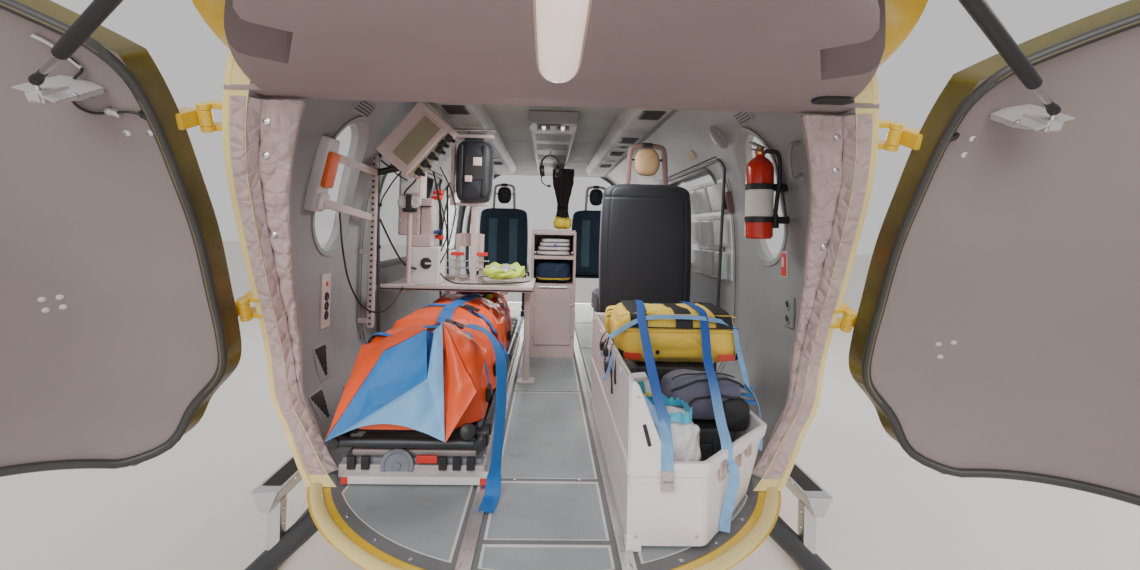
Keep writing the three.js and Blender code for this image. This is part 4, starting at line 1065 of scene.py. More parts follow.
    def dress(self) -> None:
        """Makes the door's pieces."""
        name, body = self.side.letter, f"clamshell_{self.side.letter}"
        for title, shape, outfit in (
            (f"clamshell_leaf_{name}", self.leaf(), Outfit(
                (YELLOW, MAUVE, DOOR_EDGE_SHADE), body, (f"clamshell_door_{name}",), "yellow_paint",
                crease=60)),
            (f"clamshell_seal_{name}", self.seal(), Outfit((RUBBER, SEAL_HIGHLIGHT), body)),
            (f"clamshell_hardware_{name}", self.hardware(), Outfit(
                (PALE_BRACKET, BLACK_PLASTIC, STEEL), body)),
            (f"clamshell_hinges_{name}", self.hinges(), Outfit(
                (YELLOW,), body, (), "yellow_paint")),
            (f"clamshell_tether_{name}", self.tether(), Outfit(
                (PALE_BRACKET, BLACK_PLASTIC, STEEL, CORD_BROWN), body)),
        ):
            put(title, self.side.of(shape.moved(self.open)), outfit)


class StrutPlane:
    """The plane in which the right strut swings between the open and the shut door."""

    end = swing(PIN, HINGE_LOWER, HINGE_UPPER - HINGE_LOWER, OPEN_DEGREES)
    reach = float(np.linalg.norm(end - PIVOT))
    line = unit(end - PIVOT)
    axis = unit(np.cross(line, PIN - PIVOT))
    side = np.cross(axis, line)
    turn = math.acos(float(line @ unit(PIN - PIVOT)))
    clear = 20.0

    @classmethod
    def slot(cls) -> Shape:
        """The slab that the strut sweeps with its clearance, for cutting what it passes."""
        far, c, s = cls.reach + 2 * cls.clear, math.cos(cls.turn), math.sin(cls.turn)
        flat = np.array([[-cls.clear, -cls.clear], [far, -cls.clear],
                         [far * c - cls.clear * s, far * s + cls.clear * c],
                         [-cls.clear * (c + s), cls.clear * (c - s)]])
        rows = [PIVOT + flat[:, :1] * cls.line + flat[:, 1:] * cls.side + level * cls.axis
                for level in (-cls.clear, cls.clear)]
        return Shape().grid(np.stack(rows), around=True, caps=True)

    @classmethod
    def post(cls) -> Shape:
        """The post that the strut's eye turns on, up into the boom root, with its head below."""
        shape = Shape().rod(PIVOT - cls.axis * 16, PIVOT + cls.axis * 60, 6)
        return shape.lathe(PIVOT - cls.axis * 19, cls.axis, [(0, 7), (1, 10), (4, 10), (4, 6)], 6)


@dataclass
class DoorStrut:
    """The gas strut between the boom root and one clamshell door, drawn as it stands open."""

    side: Side
    barrel: float = 480.0
    barrel_radius: float = 9.5
    sleeve: float = 13.0
    sleeve_start: float = 250.0
    thin_length: float = 130.0
    rod_radius: float = 6.0

    def dress(self) -> None:
        """Makes the barrel with its eye, and the rod with its guard sleeve and ball socket."""
        line, axis, reach = StrutPlane.line, StrutPlane.axis, StrutPlane.reach
        r, s, rod = self.barrel_radius, self.sleeve, self.rod_radius
        barrel = Shape().lathe(PIVOT, line, [
            (12, 6.5), (26, 6.5), (30, r - 0.8), (33, r), (self.barrel - 3, r),
            (self.barrel, r - 1.5), (self.barrel, 6)], 28, 0)
        barrel.lathe(PIVOT - axis * 14, axis, [(0, 6.6), (0, 13), (2, 15), (26, 15), (28, 13),
                                               (28, 6.6)], 24, 1)
        end = reach - self.thin_length
        sleeve = Shape().lathe(PIVOT, line, [
            (self.sleeve_start, r + 0.7), (self.sleeve_start, s - 1), (self.sleeve_start + 2, s),
            (end - 60, s), (end - 4, s - 0.4), (end - 1, s - 1.6), (end, s - 3),
            (end, rod - 1)], 28, 1)
        sleeve.lathe(PIVOT, line, [(end - 10, rod - 1), (end - 10, rod), (reach - 46, rod),
                                   (reach - 46, rod - 1)], 20, 0)
        sleeve.lathe(PIVOT, line, [(reach - 48, rod - 2), (reach - 47, 7.2), (reach - 24, 7.2),
                                   (reach - 20, 9.4), (reach - 8, 10.5), (reach - 3, 9.8),
                                   (reach - 3, 7.6), (reach - 8, 5.0)], 20, 1)
        letter = self.side.letter
        put(f"strut_tube_{letter}", self.side.of(barrel), Outfit(
            (STEEL, DARK_METAL), f"strut_{letter}", (f"strut_barrel_{letter}",), "steel"))
        put(f"strut_guard_{letter}", self.side.of(sleeve), Outfit(
            (STEEL, BLACK_PLASTIC), f"rod_{letter}", (f"strut_rod_{letter}",), "dark_metal"))


@dataclass(frozen=True)
class WindowPlace:
    """A rounded window in the side: its middle, size and corner, as station and height.

    faces is how deep the pane's outer and inner faces lie in the skin.
    """

    centre: tuple[float, float]
    size: tuple[float, float]
    radius: float
    faces: tuple[float, float] = (14.0, 22.0)

    def outline(self, inset: float = 0.0, steps: int = 10) -> Array:
        """The window's edge moved inwards by inset."""
        return rounded_outline(self.centre, (self.size[0] - 2 * inset, self.size[1] - 2 * inset),
                               self.radius - inset, steps)

    def cutter(self) -> Shape:
        """A prism through the right side."""
        return Shape().plate(self.outline(), "x", 300.0, 1000.0, 0.0)

    def pane(self) -> Shape:
        """The curved sheet: rings of the outline shrunk towards the middle, laid on the skin."""
        share = np.linspace(1.0, 0.0, 14)
        edge = self.outline(0.3)
        flat = np.asarray(self.centre) + share[:, None, None] * (edge - self.centre)
        front, back = (wall_grid(flat[..., 0], flat[..., 1], inset) for inset in self.faces)
        shape = Shape().grid(front, around=True).grid(back[::-1], around=True)
        return shape.grid(np.stack([front[0], back[0]]), around=True)

    def gasket(self, inset: float, reach: float, thickness: float) -> Shape:
        """A rubber or metal bead along the window's edge on the skin's inner or outer face."""
        outline = np.insert(self.outline(-reach / 2), 0, 0, 1)
        edge = even_path(np.vstack([outline, outline[:1]]), 97)[:-1]
        path = wall_grid(edge[:, 1], edge[:, 2], inset)
        rows = sweep(path, slab_profile(reach, thickness, 1.0), (1.0, 0.0, 0.0), closed=True)
        return Shape().grid(rows, around=True, along=True)


REAR_WINDOW = WindowPlace((1885.0, 870.0), (300.0, 480.0), 140.0)
SLIDING_WINDOW = WindowPlace((2810.0, 790.0), (900.0, 480.0), 90.0)
COCKPIT_WINDOW = WindowPlace((4290.0, 780.0), (840.0, 480.0), 90.0)


@dataclass(frozen=True)
class SideDoor:
    """A door opening in the side wall: its stations at the skin's widest line."""

    rear: float
    front: float
    bottom: float = 36.0
    top: float = 1069.0
    taper: float = 0.22

    def opening(self, offset: float) -> Shape:
        """A prism whose ends taper with x, moved inwards by offset."""

        def lean(x: float) -> float:
            """How far the ends move at an x."""
            return (x - HALF) * -self.taper + offset

        outline = np.array([[560, self.rear + lean(560)], [960, self.rear + lean(960)],
                            [960, self.front - lean(960)], [560, self.front - lean(560)]])
        return Shape().plate(outline, "z", self.bottom - DOOR_GAP + offset,
                             self.top + DOOR_GAP - offset, 0.0)

    def leaf(self, inset: float = 0.0, thickness: float = WALL) -> Shape:
        """The door itself, as a curved shell inside the opening's edges."""
        u, v = np.meshgrid(np.linspace(0, 1, 50), np.linspace(0, 1, 44))
        heights = self.bottom + v * (self.top - self.bottom)
        grids = []
        for depth in (inset, inset + thickness):
            x = skin_x(heights, np.full_like(heights, 2500.0), depth)
            lean = (x - HALF) * -self.taper + DOOR_GAP
            stations = self.rear + lean + u * (self.front - self.rear - 2 * lean)
            grids.append(np.stack([x, stations, heights], -1))
        return Shape().shell(grids[0], grids[1], (0, 1, 2))

    def rim(self, offset: float = DOOR_GAP + 14) -> Shape:
        """A rubber seal along the inner edge of the door."""
        low, high = self.bottom + 14, self.top - 14
        corners = rounded_outline(((self.rear + self.front) / 2, (low + high) / 2),
                                  (self.front - self.rear - 2 * offset + 66, high - low), 40, 6)
        path = wall_grid(corners[:, 0], corners[:, 1], WALL + 3)
        return Shape().tube(path, 7.0, 10, up=(1.0, 0.05, 0.02), closed=True)


SLIDING = SideDoor(2200.0, 3420.0)
COCKPIT = SideDoor(3700.0, 4860.0)


@dataclass
class SideWall:
    """One side of the fuselage with its doors, windows and rear post."""

    side: Side

    def skin(self) -> bpy.types.Object:
        """The wall from the rear post to the front frame, cut by the openings."""
        u, v = np.meshgrid(np.linspace(0, 1, 130), np.linspace(0, 1, 60))
        heights = WALL_FOOT + v * WALL_TALL
        start = doorway(heights) + DOOR_GAP + POST_WIDTH + 0.3
        stations = start + u * (WALL_END - start)
        shape = Shape().shell(wall_grid(stations, heights, 0.0), wall_grid(stations, heights, WALL),
                              (0, 1, 0))
        letter = self.side.letter
        piece = put(f"side_wall_{letter}", self.side.of(shape), Outfit(
            (YELLOW, WALL_GREY), ROOT, (f"wall_{letter}",), "yellow_paint"))
        carve(piece, *(self.side.of(cutter) for cutter in (
            SLIDING.opening(0.0), COCKPIT.opening(0.0), REAR_WINDOW.cutter())))
        return piece

    def doors(self) -> None:
        """The sliding door and the cockpit door with their windows and seals."""
        letter = self.side.letter
        for name, door, window, body, nodes in (
            ("sliding", SLIDING, SLIDING_WINDOW, ROOT, (f"sliding_door_{letter}",)),
            ("cockpit", COCKPIT, COCKPIT_WINDOW, f"cockpit_{letter}", (f"cockpit_door_{letter}",)),
        ):
            # The leaves' edges and window cut faces take the black as painted shade of the shut
            # gap.
            leaf = put(f"{name}_leaf_{letter}", self.side.of(door.leaf()), Outfit(
                (YELLOW, WALL_GREY, SHUT_SHADE_AND_BLACK), body, nodes, "yellow_paint"))
            carve(leaf, self.side.of(window.cutter()))
            put(f"{name}_seal_{letter}", self.side.of(door.rim()), Outfit((RUBBER,), body))
            trim = window.gasket(WALL + 2, 24.0, 6.0).join(window.gasket(-1.5, 18.0, 4.0))
            put(f"{name}_gasket_{letter}", self.side.of(trim), Outfit((RUBBER,), body))
            pane_node = {"sliding": "sliding_window", "cockpit": "cockpit_glass"}[name]
            put(f"{name}_pane_{letter}", self.side.of(window.pane()), Outfit(
                (WINDOW,), body, (f"{pane_node}_{letter}",), "glass"))

    def rear_window(self) -> None:
        """The oval rear window: its pane, outer gasket and the pale lining inside."""
        letter = self.side.letter
        put(f"rear_pane_{letter}", self.side.of(REAR_WINDOW.pane()), Outfit(
            (WINDOW,), ROOT, (f"rear_window_{letter}",), "glass"))
        edge = REAR_WINDOW.outline(0.5, 14)
        rows = np.stack([wall_grid(edge[:, 0], edge[:, 1], inset) for inset in (24.0, 50.0)])
        lining = Shape().grid(rows, around=True)
        wide = REAR_WINDOW.outline(-16.0, 14)
        rim = np.stack([wall_grid(line[:, 0], line[:, 1], inset) for line, inset in (
            (edge, 50.0), (edge, 54.0), (wide, 55.0), (wide, 50.5))])
        lining.grid(rim, around=True)
        lining.join(REAR_WINDOW.gasket(-1.5, 18.0, 4.0), 1)
        put(f"rear_window_lining_{letter}", self.side.of(lining), Outfit((WALL_GREY, RUBBER), ROOT))

    def dress(self) -> None:
        """Makes the side's pieces."""
        self.skin()
        self.doors()
        self.rear_window()


@dataclass
class RearFrame:
    """The doorway's two posts, the lintel over it and the fixed halves of the hinges."""

    lintel: tuple[float, float, float, float] = (1045.0, 1120.0, LINTEL_REAR + 0.3, 1290.0)

    def posts(self) -> Shape:
        """The right post: the skin's strip along the doorway, with a raised sealing lip."""
        u, v = np.meshgrid(np.linspace(0, 1, 10), np.linspace(0, 1, 70))
        heights = WALL_FOOT + v * WALL_TALL
        stations = doorway(heights) + DOOR_GAP + u * POST_WIDTH
        shape = Shape().shell(wall_grid(stations, heights, 0.0), wall_grid(stations, heights, WALL),
                              (0, 1, 2))
        level = np.linspace(4, 1116, 90)
        path = wall_grid(doorway(level) + DOOR_GAP + 1, level, 8.0)
        lip = slab_profile(13.0, 4.0)
        return shape.grid(sweep(path, lip, (0.0, 1.0, 0.3)), around=True, caps=True, paint=2)

    def beam(self) -> Shape:
        """The lintel: plan rows from side to side, clipped to the skin at each height."""
        low, high, rear, front = self.lintel
        heights = np.array([low, low + 6, high - 2, high])
        shrink = np.array([3.0, 0.0, 0.0, 0.5])
        share = np.linspace(-1, 1, 60)
        rows = []
        for station, flip in ((rear, 1), (front, -1)):
            x = skin_x(heights, station, 1.0)[:, None] * share
            rows.append(np.stack([x, np.full_like(x, station) + flip * shrink[:, None],
                                  np.repeat(heights[:, None], 60, 1)], -1)[::flip])
        loop = np.concatenate(rows).transpose(1, 0, 2)
        return Shape().grid(loop, around=True, caps=True)

    def hinge_pins(self) -> Shape:
        """Pins with two lugs each on the right, reaching forward to the post."""
        shape, turn = Shape(), hinge_frame()
        outboard, forward, line = turn.T
        for centre, reach in hinge_arms():
            shape.rod(centre - line * 34, centre + line * 34, 8, paint=1)
            for place in (-27.5, 27.5):
                shape.lathe(centre + line * (place - 7), line,
                            [(0, 8), (0, 14.5), (1.5, 16), (12.5, 16), (14, 14.5), (14, 8)], 24)
                middle = centre + line * place + outboard * (8 - reach) / 2 + forward * 26.2
                shape.block(middle, (reach + 8, 39.6, 14), 2.5, turn)
        return shape

    def dress(self) -> None:
        """Makes the frame's pieces."""
        posts = self.posts()
        shape = Shape().join(posts).join(posts.mirrored())
        put("doorway_posts", shape, Outfit((YELLOW, WALL_GREY, PALE_YELLOW), ROOT, ("rear_frame",),
                                           "yellow_paint"))
        put("doorway_lintel", self.beam(), Outfit((PANEL_MAUVE,), ROOT))
        pins = self.hinge_pins()
        put("doorway_hinge_pins", Shape().join(pins).join(pins.mirrored()),
            Outfit((YELLOW, STEEL), ROOT))


@dataclass
class Shell:
    """Belly, roof with the gearbox deck, boom root, overhead panel and front frame."""

    deck: tuple[float, float, float, float] = (430.0, 2050.0, 3650.0, 1425.0)

    def belly(self) -> None:
        """The tub under the floor: plan outlines from the keel up to the floor."""
        rim_angle = math.asin(((WAIST + 1.6) / DROP) ** (LOWER_POWER / 2))
        angle = np.linspace(-np.pi / 2 + 0.004, -rim_angle, 26)
        half, height = section(angle)
        depth = capsule_depth(height, half, 0.0)
        rows = plan_loop(height, half, depth, FRONT, 64)
        piece = put("belly_skin", Shape().grid(rows, around=True, caps=True), Outfit(
            (YELLOW, DARK_METAL), ROOT, ("belly_tub",), "yellow_paint", crease=50))
        carve(piece, *(Shape().plate(rounded_outline((0, s), (1800, 100), 6, 3), "z", -300, -100, 0)
                       for s in CROSS_TUBES))

    def roof(self) -> None:
        """The crown above the walls, with the gearbox deck and its feet."""
        first = math.asin(((ROOF_FOOT - WAIST) / RISE) ** (UPPER_POWER / 2))
        crest = np.linspace(first, np.pi / 2, 30)
        angle = np.concatenate([crest, np.pi - crest[-2::-1]])
        shape = Shape()
        grids = []
        for inset in (0.0, WALL):
            start = math.asin(((ROOF_FOOT - WAIST) / (RISE - inset)) ** (UPPER_POWER / 2))
            bent = start + (np.minimum(angle, np.pi - angle) - first) * (
                (np.pi / 2 - start) / (np.pi / 2 - first))
            half, height = section(bent, inset)
            half = half * np.where(angle > np.pi / 2, -1, 1)
            station = np.linspace(1300.3, WALL_END, 50)[:, None] + 0 * half
            grids.append(np.stack([half + 0 * station, station, height + 0 * station], -1))
        shape.shell(grids[0], grids[1], (0, 1, 0))
        half, rear, front, top = self.deck
        shape.plate(rounded_outline((0, (rear + front) / 2), (2 * half, front - rear), 40, 5), "z",
                    1345, top, 6.0, 0)
        for x in (-330, 330):
            for s in (rear + 160, front - 160):
                shape.plate(rounded_outline((x, s), (140, 140), 16, 4), "z", top - 4, 1455, 4.0, 2)
                shape.lathe((x, s, 1452), (0, 0, 1), [(0, 34), (3, 34), (4, 30), (4, 12), (2, 11),
                                                       (2, 0.1)], 24, 3)
        put("crown_skin", shape, Outfit((YELLOW, WALL_GREY, DARK_METAL, STEEL), ROOT, ("roof",),
                                        "yellow_paint"))

    def boom_root(self) -> None:
        """The crown behind the roof, drawn down into the round boom with its flange."""
        turn = np.linspace(-np.pi / 2, np.pi / 2, 60)
        share = np.linspace(0, 1, 24)[:, None]
        angle = np.full((1, len(turn)), 0.8)
        for _ in range(6):
            half, height = section(angle)
            station = shoulder(height) - capsule_depth(height, half, 0.0) * np.cos(turn)
            angle = np.arcsin(((parting(station) + 4 - WAIST) / RISE) ** (UPPER_POWER / 2))
        bent = angle + share * (np.pi / 2 - angle)
        half, height = section(bent)
        depth = capsule_depth(height, half, 0.0)
        x = half * np.sin(turn)
        station = shoulder(height) - depth * np.cos(turn)
        rows = np.stack([x, station, height], -1)
        ends = [rows[:, k:k + 1] * (1, 0, 1) + (0, 1300.0, 0) for k in (0, -1)]
        rows = np.concatenate([ends[0], rows, ends[1]], 1)
        crown = put("boom_fairing", Shape().grid(rows, around=True, caps=True), Outfit(
            (YELLOW,), ROOT, ("boom_root",), "yellow_paint"))
        carve(crown, StrutPlane.slot(), StrutPlane.slot().mirrored())
        stations = np.array([[1290, 620, 1270, 128, 3.2], [1000, 500, 1288, 140, 2.8],
                             [700, 330, 1315, 172, 2.3], [460, 225, 1332, 200, 2.0],
                             [281, 205, 1335, 205, 2.0]], float)
        fine = smooth_path(stations[:, :3], 40)
        rest = smooth_path(stations[:, [0, 3, 4]], 40)
        spin = np.linspace(0, 2 * np.pi, 64, endpoint=False)
        power = 2 / rest[:, 2:3]
        cone_x = fine[:, 1:2] * np.sign(np.cos(spin)) * np.abs(np.cos(spin)) ** power
        cone_z = fine[:, 2:3] + rest[:, 1:2] * np.sign(np.sin(spin)) * np.abs(np.sin(spin)) ** power
        cone_z = np.maximum(cone_z, parting(fine[:, :1]) + 4)
        cone = np.stack([cone_x, fine[:, :1] + 0 * cone_x, cone_z], -1)
        centre = np.array([0.0, 0.0, 1335.0])
        inside = np.stack([centre + (cone[-1] - centre) * (share, 0, share) + (0, station, 0)
                           for share, station in ((0.94, 281.0), (0.93, 340.0), (0.5, 344.0),
                                                  (0.01, 344.0))])
        body = Shape().grid(cone, around=True).grid(np.stack([cone[-1], inside[0]]), around=True)
        body.grid(inside, around=True, paint=1)
        put("boom_cone", body, Outfit((YELLOW, WALL_GREY), ROOT, (), "yellow_paint"))
        ring_shape = Shape().lathe((0, 280, 1335), (0, 1, 0), [
            (0, 193), (0, 230), (2, 232), (18, 232), (20, 230), (20, 193)], 72, 0)
        for k in np.linspace(0, 2 * np.pi, 24, endpoint=False):
            fastener(ring_shape, (218 * math.cos(k), 280, 1335 + 218 * math.sin(k)), (0, -1, 0),
                     5.0, 0)
            fastener(ring_shape, (218 * math.cos(k), 300, 1335 + 218 * math.sin(k)), (0, 1, 0),
                     5.0, 0)
        put("boom_flange_ring", ring_shape, Outfit((BARE_METAL,), ROOT))
        post = StrutPlane.post()
        put("strut_posts", Shape().join(post).join(post.mirrored()), Outfit((DARK_METAL,), ROOT))

    def overhead(self) -> None:
        """The panel under the boom root, with the lamp recess and the strut slots, their cut faces
        in a darker mauve as painted shade.
        """
        turn = np.linspace(-1, 1, 90) * 1.15

        def rim(height: float, inset: float) -> Array:
            """The panel's plan edge at a height, following the shrunk skin to the lintel."""
            half = half_width(height, inset)
            depth = capsule_depth(np.asarray(height), half, inset)
            last = math.acos((shoulder(height) - LINTEL_REAR) / depth)
            angle = turn / 1.15 * last
            return np.stack([half * np.sin(angle), shoulder(height) - depth * np.cos(angle),
                             np.full_like(angle, height)], -1)

        rows = []
        for drop, inset in ((-75.0, 92.0), (-74.0, 78.0), (-68.0, 66.0), (-56.0, 61.0), (0.0, 60.0),
                            (3.0, 60.5)):
            line = rim(PARTING + drop, inset)
            line[:, 2] = parting(line[:, 1]) + drop
            rows.append(line)
        shape = Shape().grid(np.stack(rows), around=True, caps=True)
        piece = put("overhead_panel", shape, Outfit((PANEL_MAUVE, PANEL_RECESS_SHADE), ROOT,
                                                    ("boom_panel",), "mauve_paint", crease=50))
        lamp = Shape().plate(rounded_outline((0, 872.5), (42, 465), 20, 8), "z", 1000, 1069, 0.0)
        vent = Shape().plate(rounded_outline((640, 1150), (66, 26), 12.9, 8), "z", 1000, 1060, 0.0)
        carve(piece, StrutPlane.slot(), StrutPlane.slot().mirrored(), lamp, vent)

    def front_frame(self) -> None:
        """The ring that closes the section's front: outer and inner sections of the hull."""
        above = np.linspace(0.0, np.pi / 2, 40)
        angle = np.concatenate([above, np.pi - above[-2::-1]])
        bent = np.minimum(angle, np.pi - angle)
        sign = np.where(angle > np.pi / 2, -1, 1)

        def bow(inset: float) -> Array:
            """One arch, from the right side over the crown to the left."""
            low = np.linspace(0.5, WAIST, 20)[:-1]
            side = np.stack([half_width(low, inset), low], 1)
            half, height = section(bent, inset)
            arch = np.stack([half * sign, height], 1)
            return np.concatenate([side, arch, side[::-1] * (-1, 1)])

        outer, inner = bow(0.0), bow(75.0)
        rows = []
        for line, station in ((inner, 5040.0), (outer, 5040.0), (outer, 5100.0), (inner, 5100.0)):
            rows.append(np.insert(line, 1, station, axis=1))
        shape = Shape().grid(np.stack(rows), along=True)
        ends = np.stack(rows)
        for k in (0, -1):
            shape.add(ends[:, k], [[0, 1, 2, 3]])
        for k in range(4, len(outer) - 4, 5):
            middle = (outer[k] + inner[k]) / 2
            fastener(shape, (middle[0], 5100.0, middle[1]), (0, 1, 0), 6.0, 1)
        put("front_ring", shape, Outfit((WALL_GREY, STEEL), ROOT, ("front_frame",), "trim_grey"))

    def dress(self) -> None:
        """Makes the shell's pieces."""
        self.belly()
        self.roof()
        self.boom_root()
        self.overhead()
        self.front_frame()


# Forms shared by the soft goods and the fittings


@dataclass
class SoftForm:
    """A stuffed form: round-cornered sections along one axis, with folds and a sagging top.

    size is across x, y and z; axis is the one that the sections follow; square and end set how
    boxy the sections and the ends are; folds is the depth of the unevenness in millimetres.
    """

    centre: Sequence[float]
    size: Sequence[float]
    axis: str = "X"
    square: float = 3.2
    end: float = 4.5
    folds: float = 3.0
    fold_size: float = 150.0
    seed: float = 0.0
    sag: float = 0.0

    @property
    def turn(self) -> int:
        """How far the axes are rolled so that the sections' axis comes first."""
        return "XYZ".index(self.axis)

    def surface(self, along: Array, phi: Array, out: Array | float = 0.0) -> Array:
        """Points of the skin, out millimetres above it.

        Args:
            along: from -1 to 1 between the two ends.
            phi: angle around the sections.
            out: distance above the skin.

        Returns:
            The points.
        """
        along, phi = np.broadcast_arrays(np.asarray(along, float), np.asarray(phi, float))
        half = np.roll(np.asarray(self.size, float), -self.turn) / 2
        taper = (1 - np.abs(along) ** self.end + 1e-9) ** (1 / self.end)
        c, s = np.cos(phi), np.sin(phi)
        y = np.sign(c) * np.abs(c) ** (2 / self.square) * taper
        z = np.sign(s) * np.abs(s) ** (2 / self.square) * taper
        unitless = np.stack([along, y, z], -1)
        powers = np.array([self.end, self.square, self.square])
        slope = np.sign(unitless) * np.abs(unitless) ** (powers - 1) / half
        normal = np.roll(unit(slope + 1e-12), self.turn, -1)
        local = np.roll(unitless * half, self.turn, -1)
        here = local + np.asarray(self.centre, float)
        swell_by = out - self.folds + self.folds * ripple(here, self.fold_size, self.seed)
        local = local + normal * swell_by[..., None]
        low = -np.asarray(self.size, float)[2] / 2
        if self.sag:
            rise = np.clip(local[..., 2] / -low, 0, 1)
            dip = self.sag * rise * np.cos(np.pi / 2 * np.clip(along, -1, 1)) ** 2
            local = local - np.stack([0 * dip, 0 * dip, dip], -1)
        floor = low - np.minimum(out, 0.0)
        local[..., 2] = np.maximum(local[..., 2], floor)
        return local + np.asarray(self.centre, float)

    def skin(self, rows: int = 70, around: int = 96, out: float = 0.0) -> Shape:
        """The closed skin, out millimetres above its own surface."""
        along = np.sin(np.linspace(-np.pi / 2, np.pi / 2, rows))[:, None]
        phi = np.linspace(0, 2 * np.pi, around, endpoint=False)[None]
        return Shape().grid(self.surface(along, phi, out), around=True, caps=True)

    def band(self, shape: Shape, along: Sequence[float], phi: Sequence[float], width: float,
             paint: int = 0, thickness: float = 2.4, lift: float = 1.2, count: int = 60) -> Shape:
        """Adds a strap that lies on the skin through the given places."""
        knots = np.stack([along, phi], 1)
        run = np.linspace(0, 1, len(knots))
        fine = np.linspace(0, 1, count)
        t, turn = (np.interp(fine, run, knots[:, k]) for k in range(2))
        path = self.surface(t, turn, lift)
        normal = unit(self.surface(t, turn, lift + 6.0) - path)
        return shape.grid(sweep(path, slab_profile(width, thickness), normal), around=True,
                          caps=True, paint=paint)

    def line(self, shape: Shape, along: Sequence[float], phi: Sequence[float], radius: float,
             paint: int = 0, count: int = 60) -> Shape:
        """Adds a seam, piping or zip cord on the skin."""
        run, fine = np.linspace(0, 1, len(along)), np.linspace(0, 1, count)
        t, turn = np.interp(fine, run, along), np.interp(fine, run, phi)
        return shape.tube(self.surface(t, turn, radius * 0.4), radius, sides=8, paint=paint)


WEBBING_THICKNESS = 2.2


def webbing(shape: Shape, knots: Sequence[Sequence[float]], up: Sequence[float] | Array,
            width: float, paint: int = 0, count: int = 40) -> Shape:
    """Adds a flat strap along a smooth path through the knots."""
    path = smooth_path(np.asarray(knots, float), count)
    return shape.grid(sweep(path, slab_profile(width, WEBBING_THICKNESS), up), around=True,
                      caps=True, paint=paint)


UPRIGHT = np.array([[1.0, 0, 0], [0, 0, 1], [0, 1, 0]])


def frame_of(normal: Sequence[float], along: Sequence[float]) -> Array:
    """A rotation whose columns are along, across and normal."""
    z = unit(np.asarray(normal, float))
    x = np.asarray(along, float)
    x = unit(x - z * float(x @ z))
    return np.stack([x, np.cross(z, x), z], 1)


def buckle(shape: Shape, centre: Sequence[float], normal: Sequence[float], along: Sequence[float],
           size: tuple[float, float], paint: int = 0) -> Shape:
    """Adds a side-release buckle: two halves, the prongs' windows and the ladder end."""
    turn = frame_of(normal, along)
    long, wide = size
    middle = np.asarray(centre, float)
    for shift, share in ((-0.27, 0.44), (0.27, 0.44)):
        shape.block(middle + turn[:, 0] * long * shift, (long * share, wide, 7), 2.4, turn, paint)
    for side in (-1, 1):
        shape.block(middle + turn[:, 1] * side * wide * 0.42, (long * 0.5, wide * 0.12, 8), 1.5,
                    turn, paint)
    shape.rod(middle + turn[:, 0] * long * 0.5 - turn[:, 1] * wide * 0.5,
              middle + turn[:, 0] * long * 0.5 + turn[:, 1] * wide * 0.5, 2.4, 10, paint)
    return shape


def slots(shape: Shape, centre: Sequence[float], turn: Array, count: int, pitch: float,
          size: tuple[float, float], paint: int) -> Shape:
    """Adds a row of thin dark bars, as the louvres of a vent, stepped along the second column."""
    for k in range(count):
        shift = (k - (count - 1) / 2) * pitch
        shape.block(np.asarray(centre, float) + turn[:, 1] * shift, (size[0], size[1], 3.0), 0.8,
                    turn, paint)
    return shape


VOXEL = 6.0
PRESSURE = 4.0
SETTLE_FRAMES = 20


def swell(piece: bpy.types.Object, reach: float) -> None:
    """Puffs a closed skin up with cloth under pressure, and keeps the result as its mesh.

    Args:
        piece: the skin, made a little smaller than it ends.
        reach: how far a point may move, in millimetres.
    """

    def settled() -> Array:
        """Keeps the piece as its modifiers leave it, and returns its points."""
        graph = bpy.context.evaluated_depsgraph_get()
        mesh = bpy.data.meshes.new_from_object(piece.evaluated_get(graph))
        piece.modifiers.clear()
        piece.data = mesh
        places = np.empty(len(mesh.vertices) * 3)
        mesh.vertices.foreach_get("co", places)
        return places.reshape(-1, 3)

    piece.modifiers.clear()
    even = piece.modifiers.new("even", "REMESH")
    even.mode = "VOXEL"
    even.voxel_size = VOXEL / 1000
    start = settled()
    puff = piece.modifiers.new("puff", "CLOTH")
    puff.settings.use_pressure = True
    puff.settings.uniform_pressure_force = PRESSURE
    puff.settings.effector_weights.gravity = 0.0
    puff.collision_settings.use_collision = False
    for frame in range(1, SETTLE_FRAMES + 1):
        bpy.context.scene.frame_set(frame)
    move = settled() - start
    bpy.context.scene.frame_set(1)
    length = np.linalg.norm(move, axis=1, keepdims=True)
    moved = start + move * np.minimum(1.0, reach / 1000 / np.maximum(length, 1e-9))
    piece.data.vertices.foreach_set("co", moved.ravel())
    piece.data.polygons.foreach_set("use_smooth", np.ones(len(piece.data.polygons), bool))
    piece.data.update()
    soft = piece.modifiers.new("soften", "SUBSURF")
    soft.levels = soft.render_levels = 1


def stuffed(name: str, form: SoftForm, finish: Finish, outfit: Outfit,
            reach: float = 7.0) -> bpy.types.Object:
    """Makes a padded skin from a form; cloth under pressure swells it into shape."""
    skin = form.skin(out=-reach)
    piece = put(name, skin, replace(outfit, finishes=(finish,), crease=75.0, flat=False))
    swell(piece, reach)
    return piece


# Floor, liners, ceiling and console

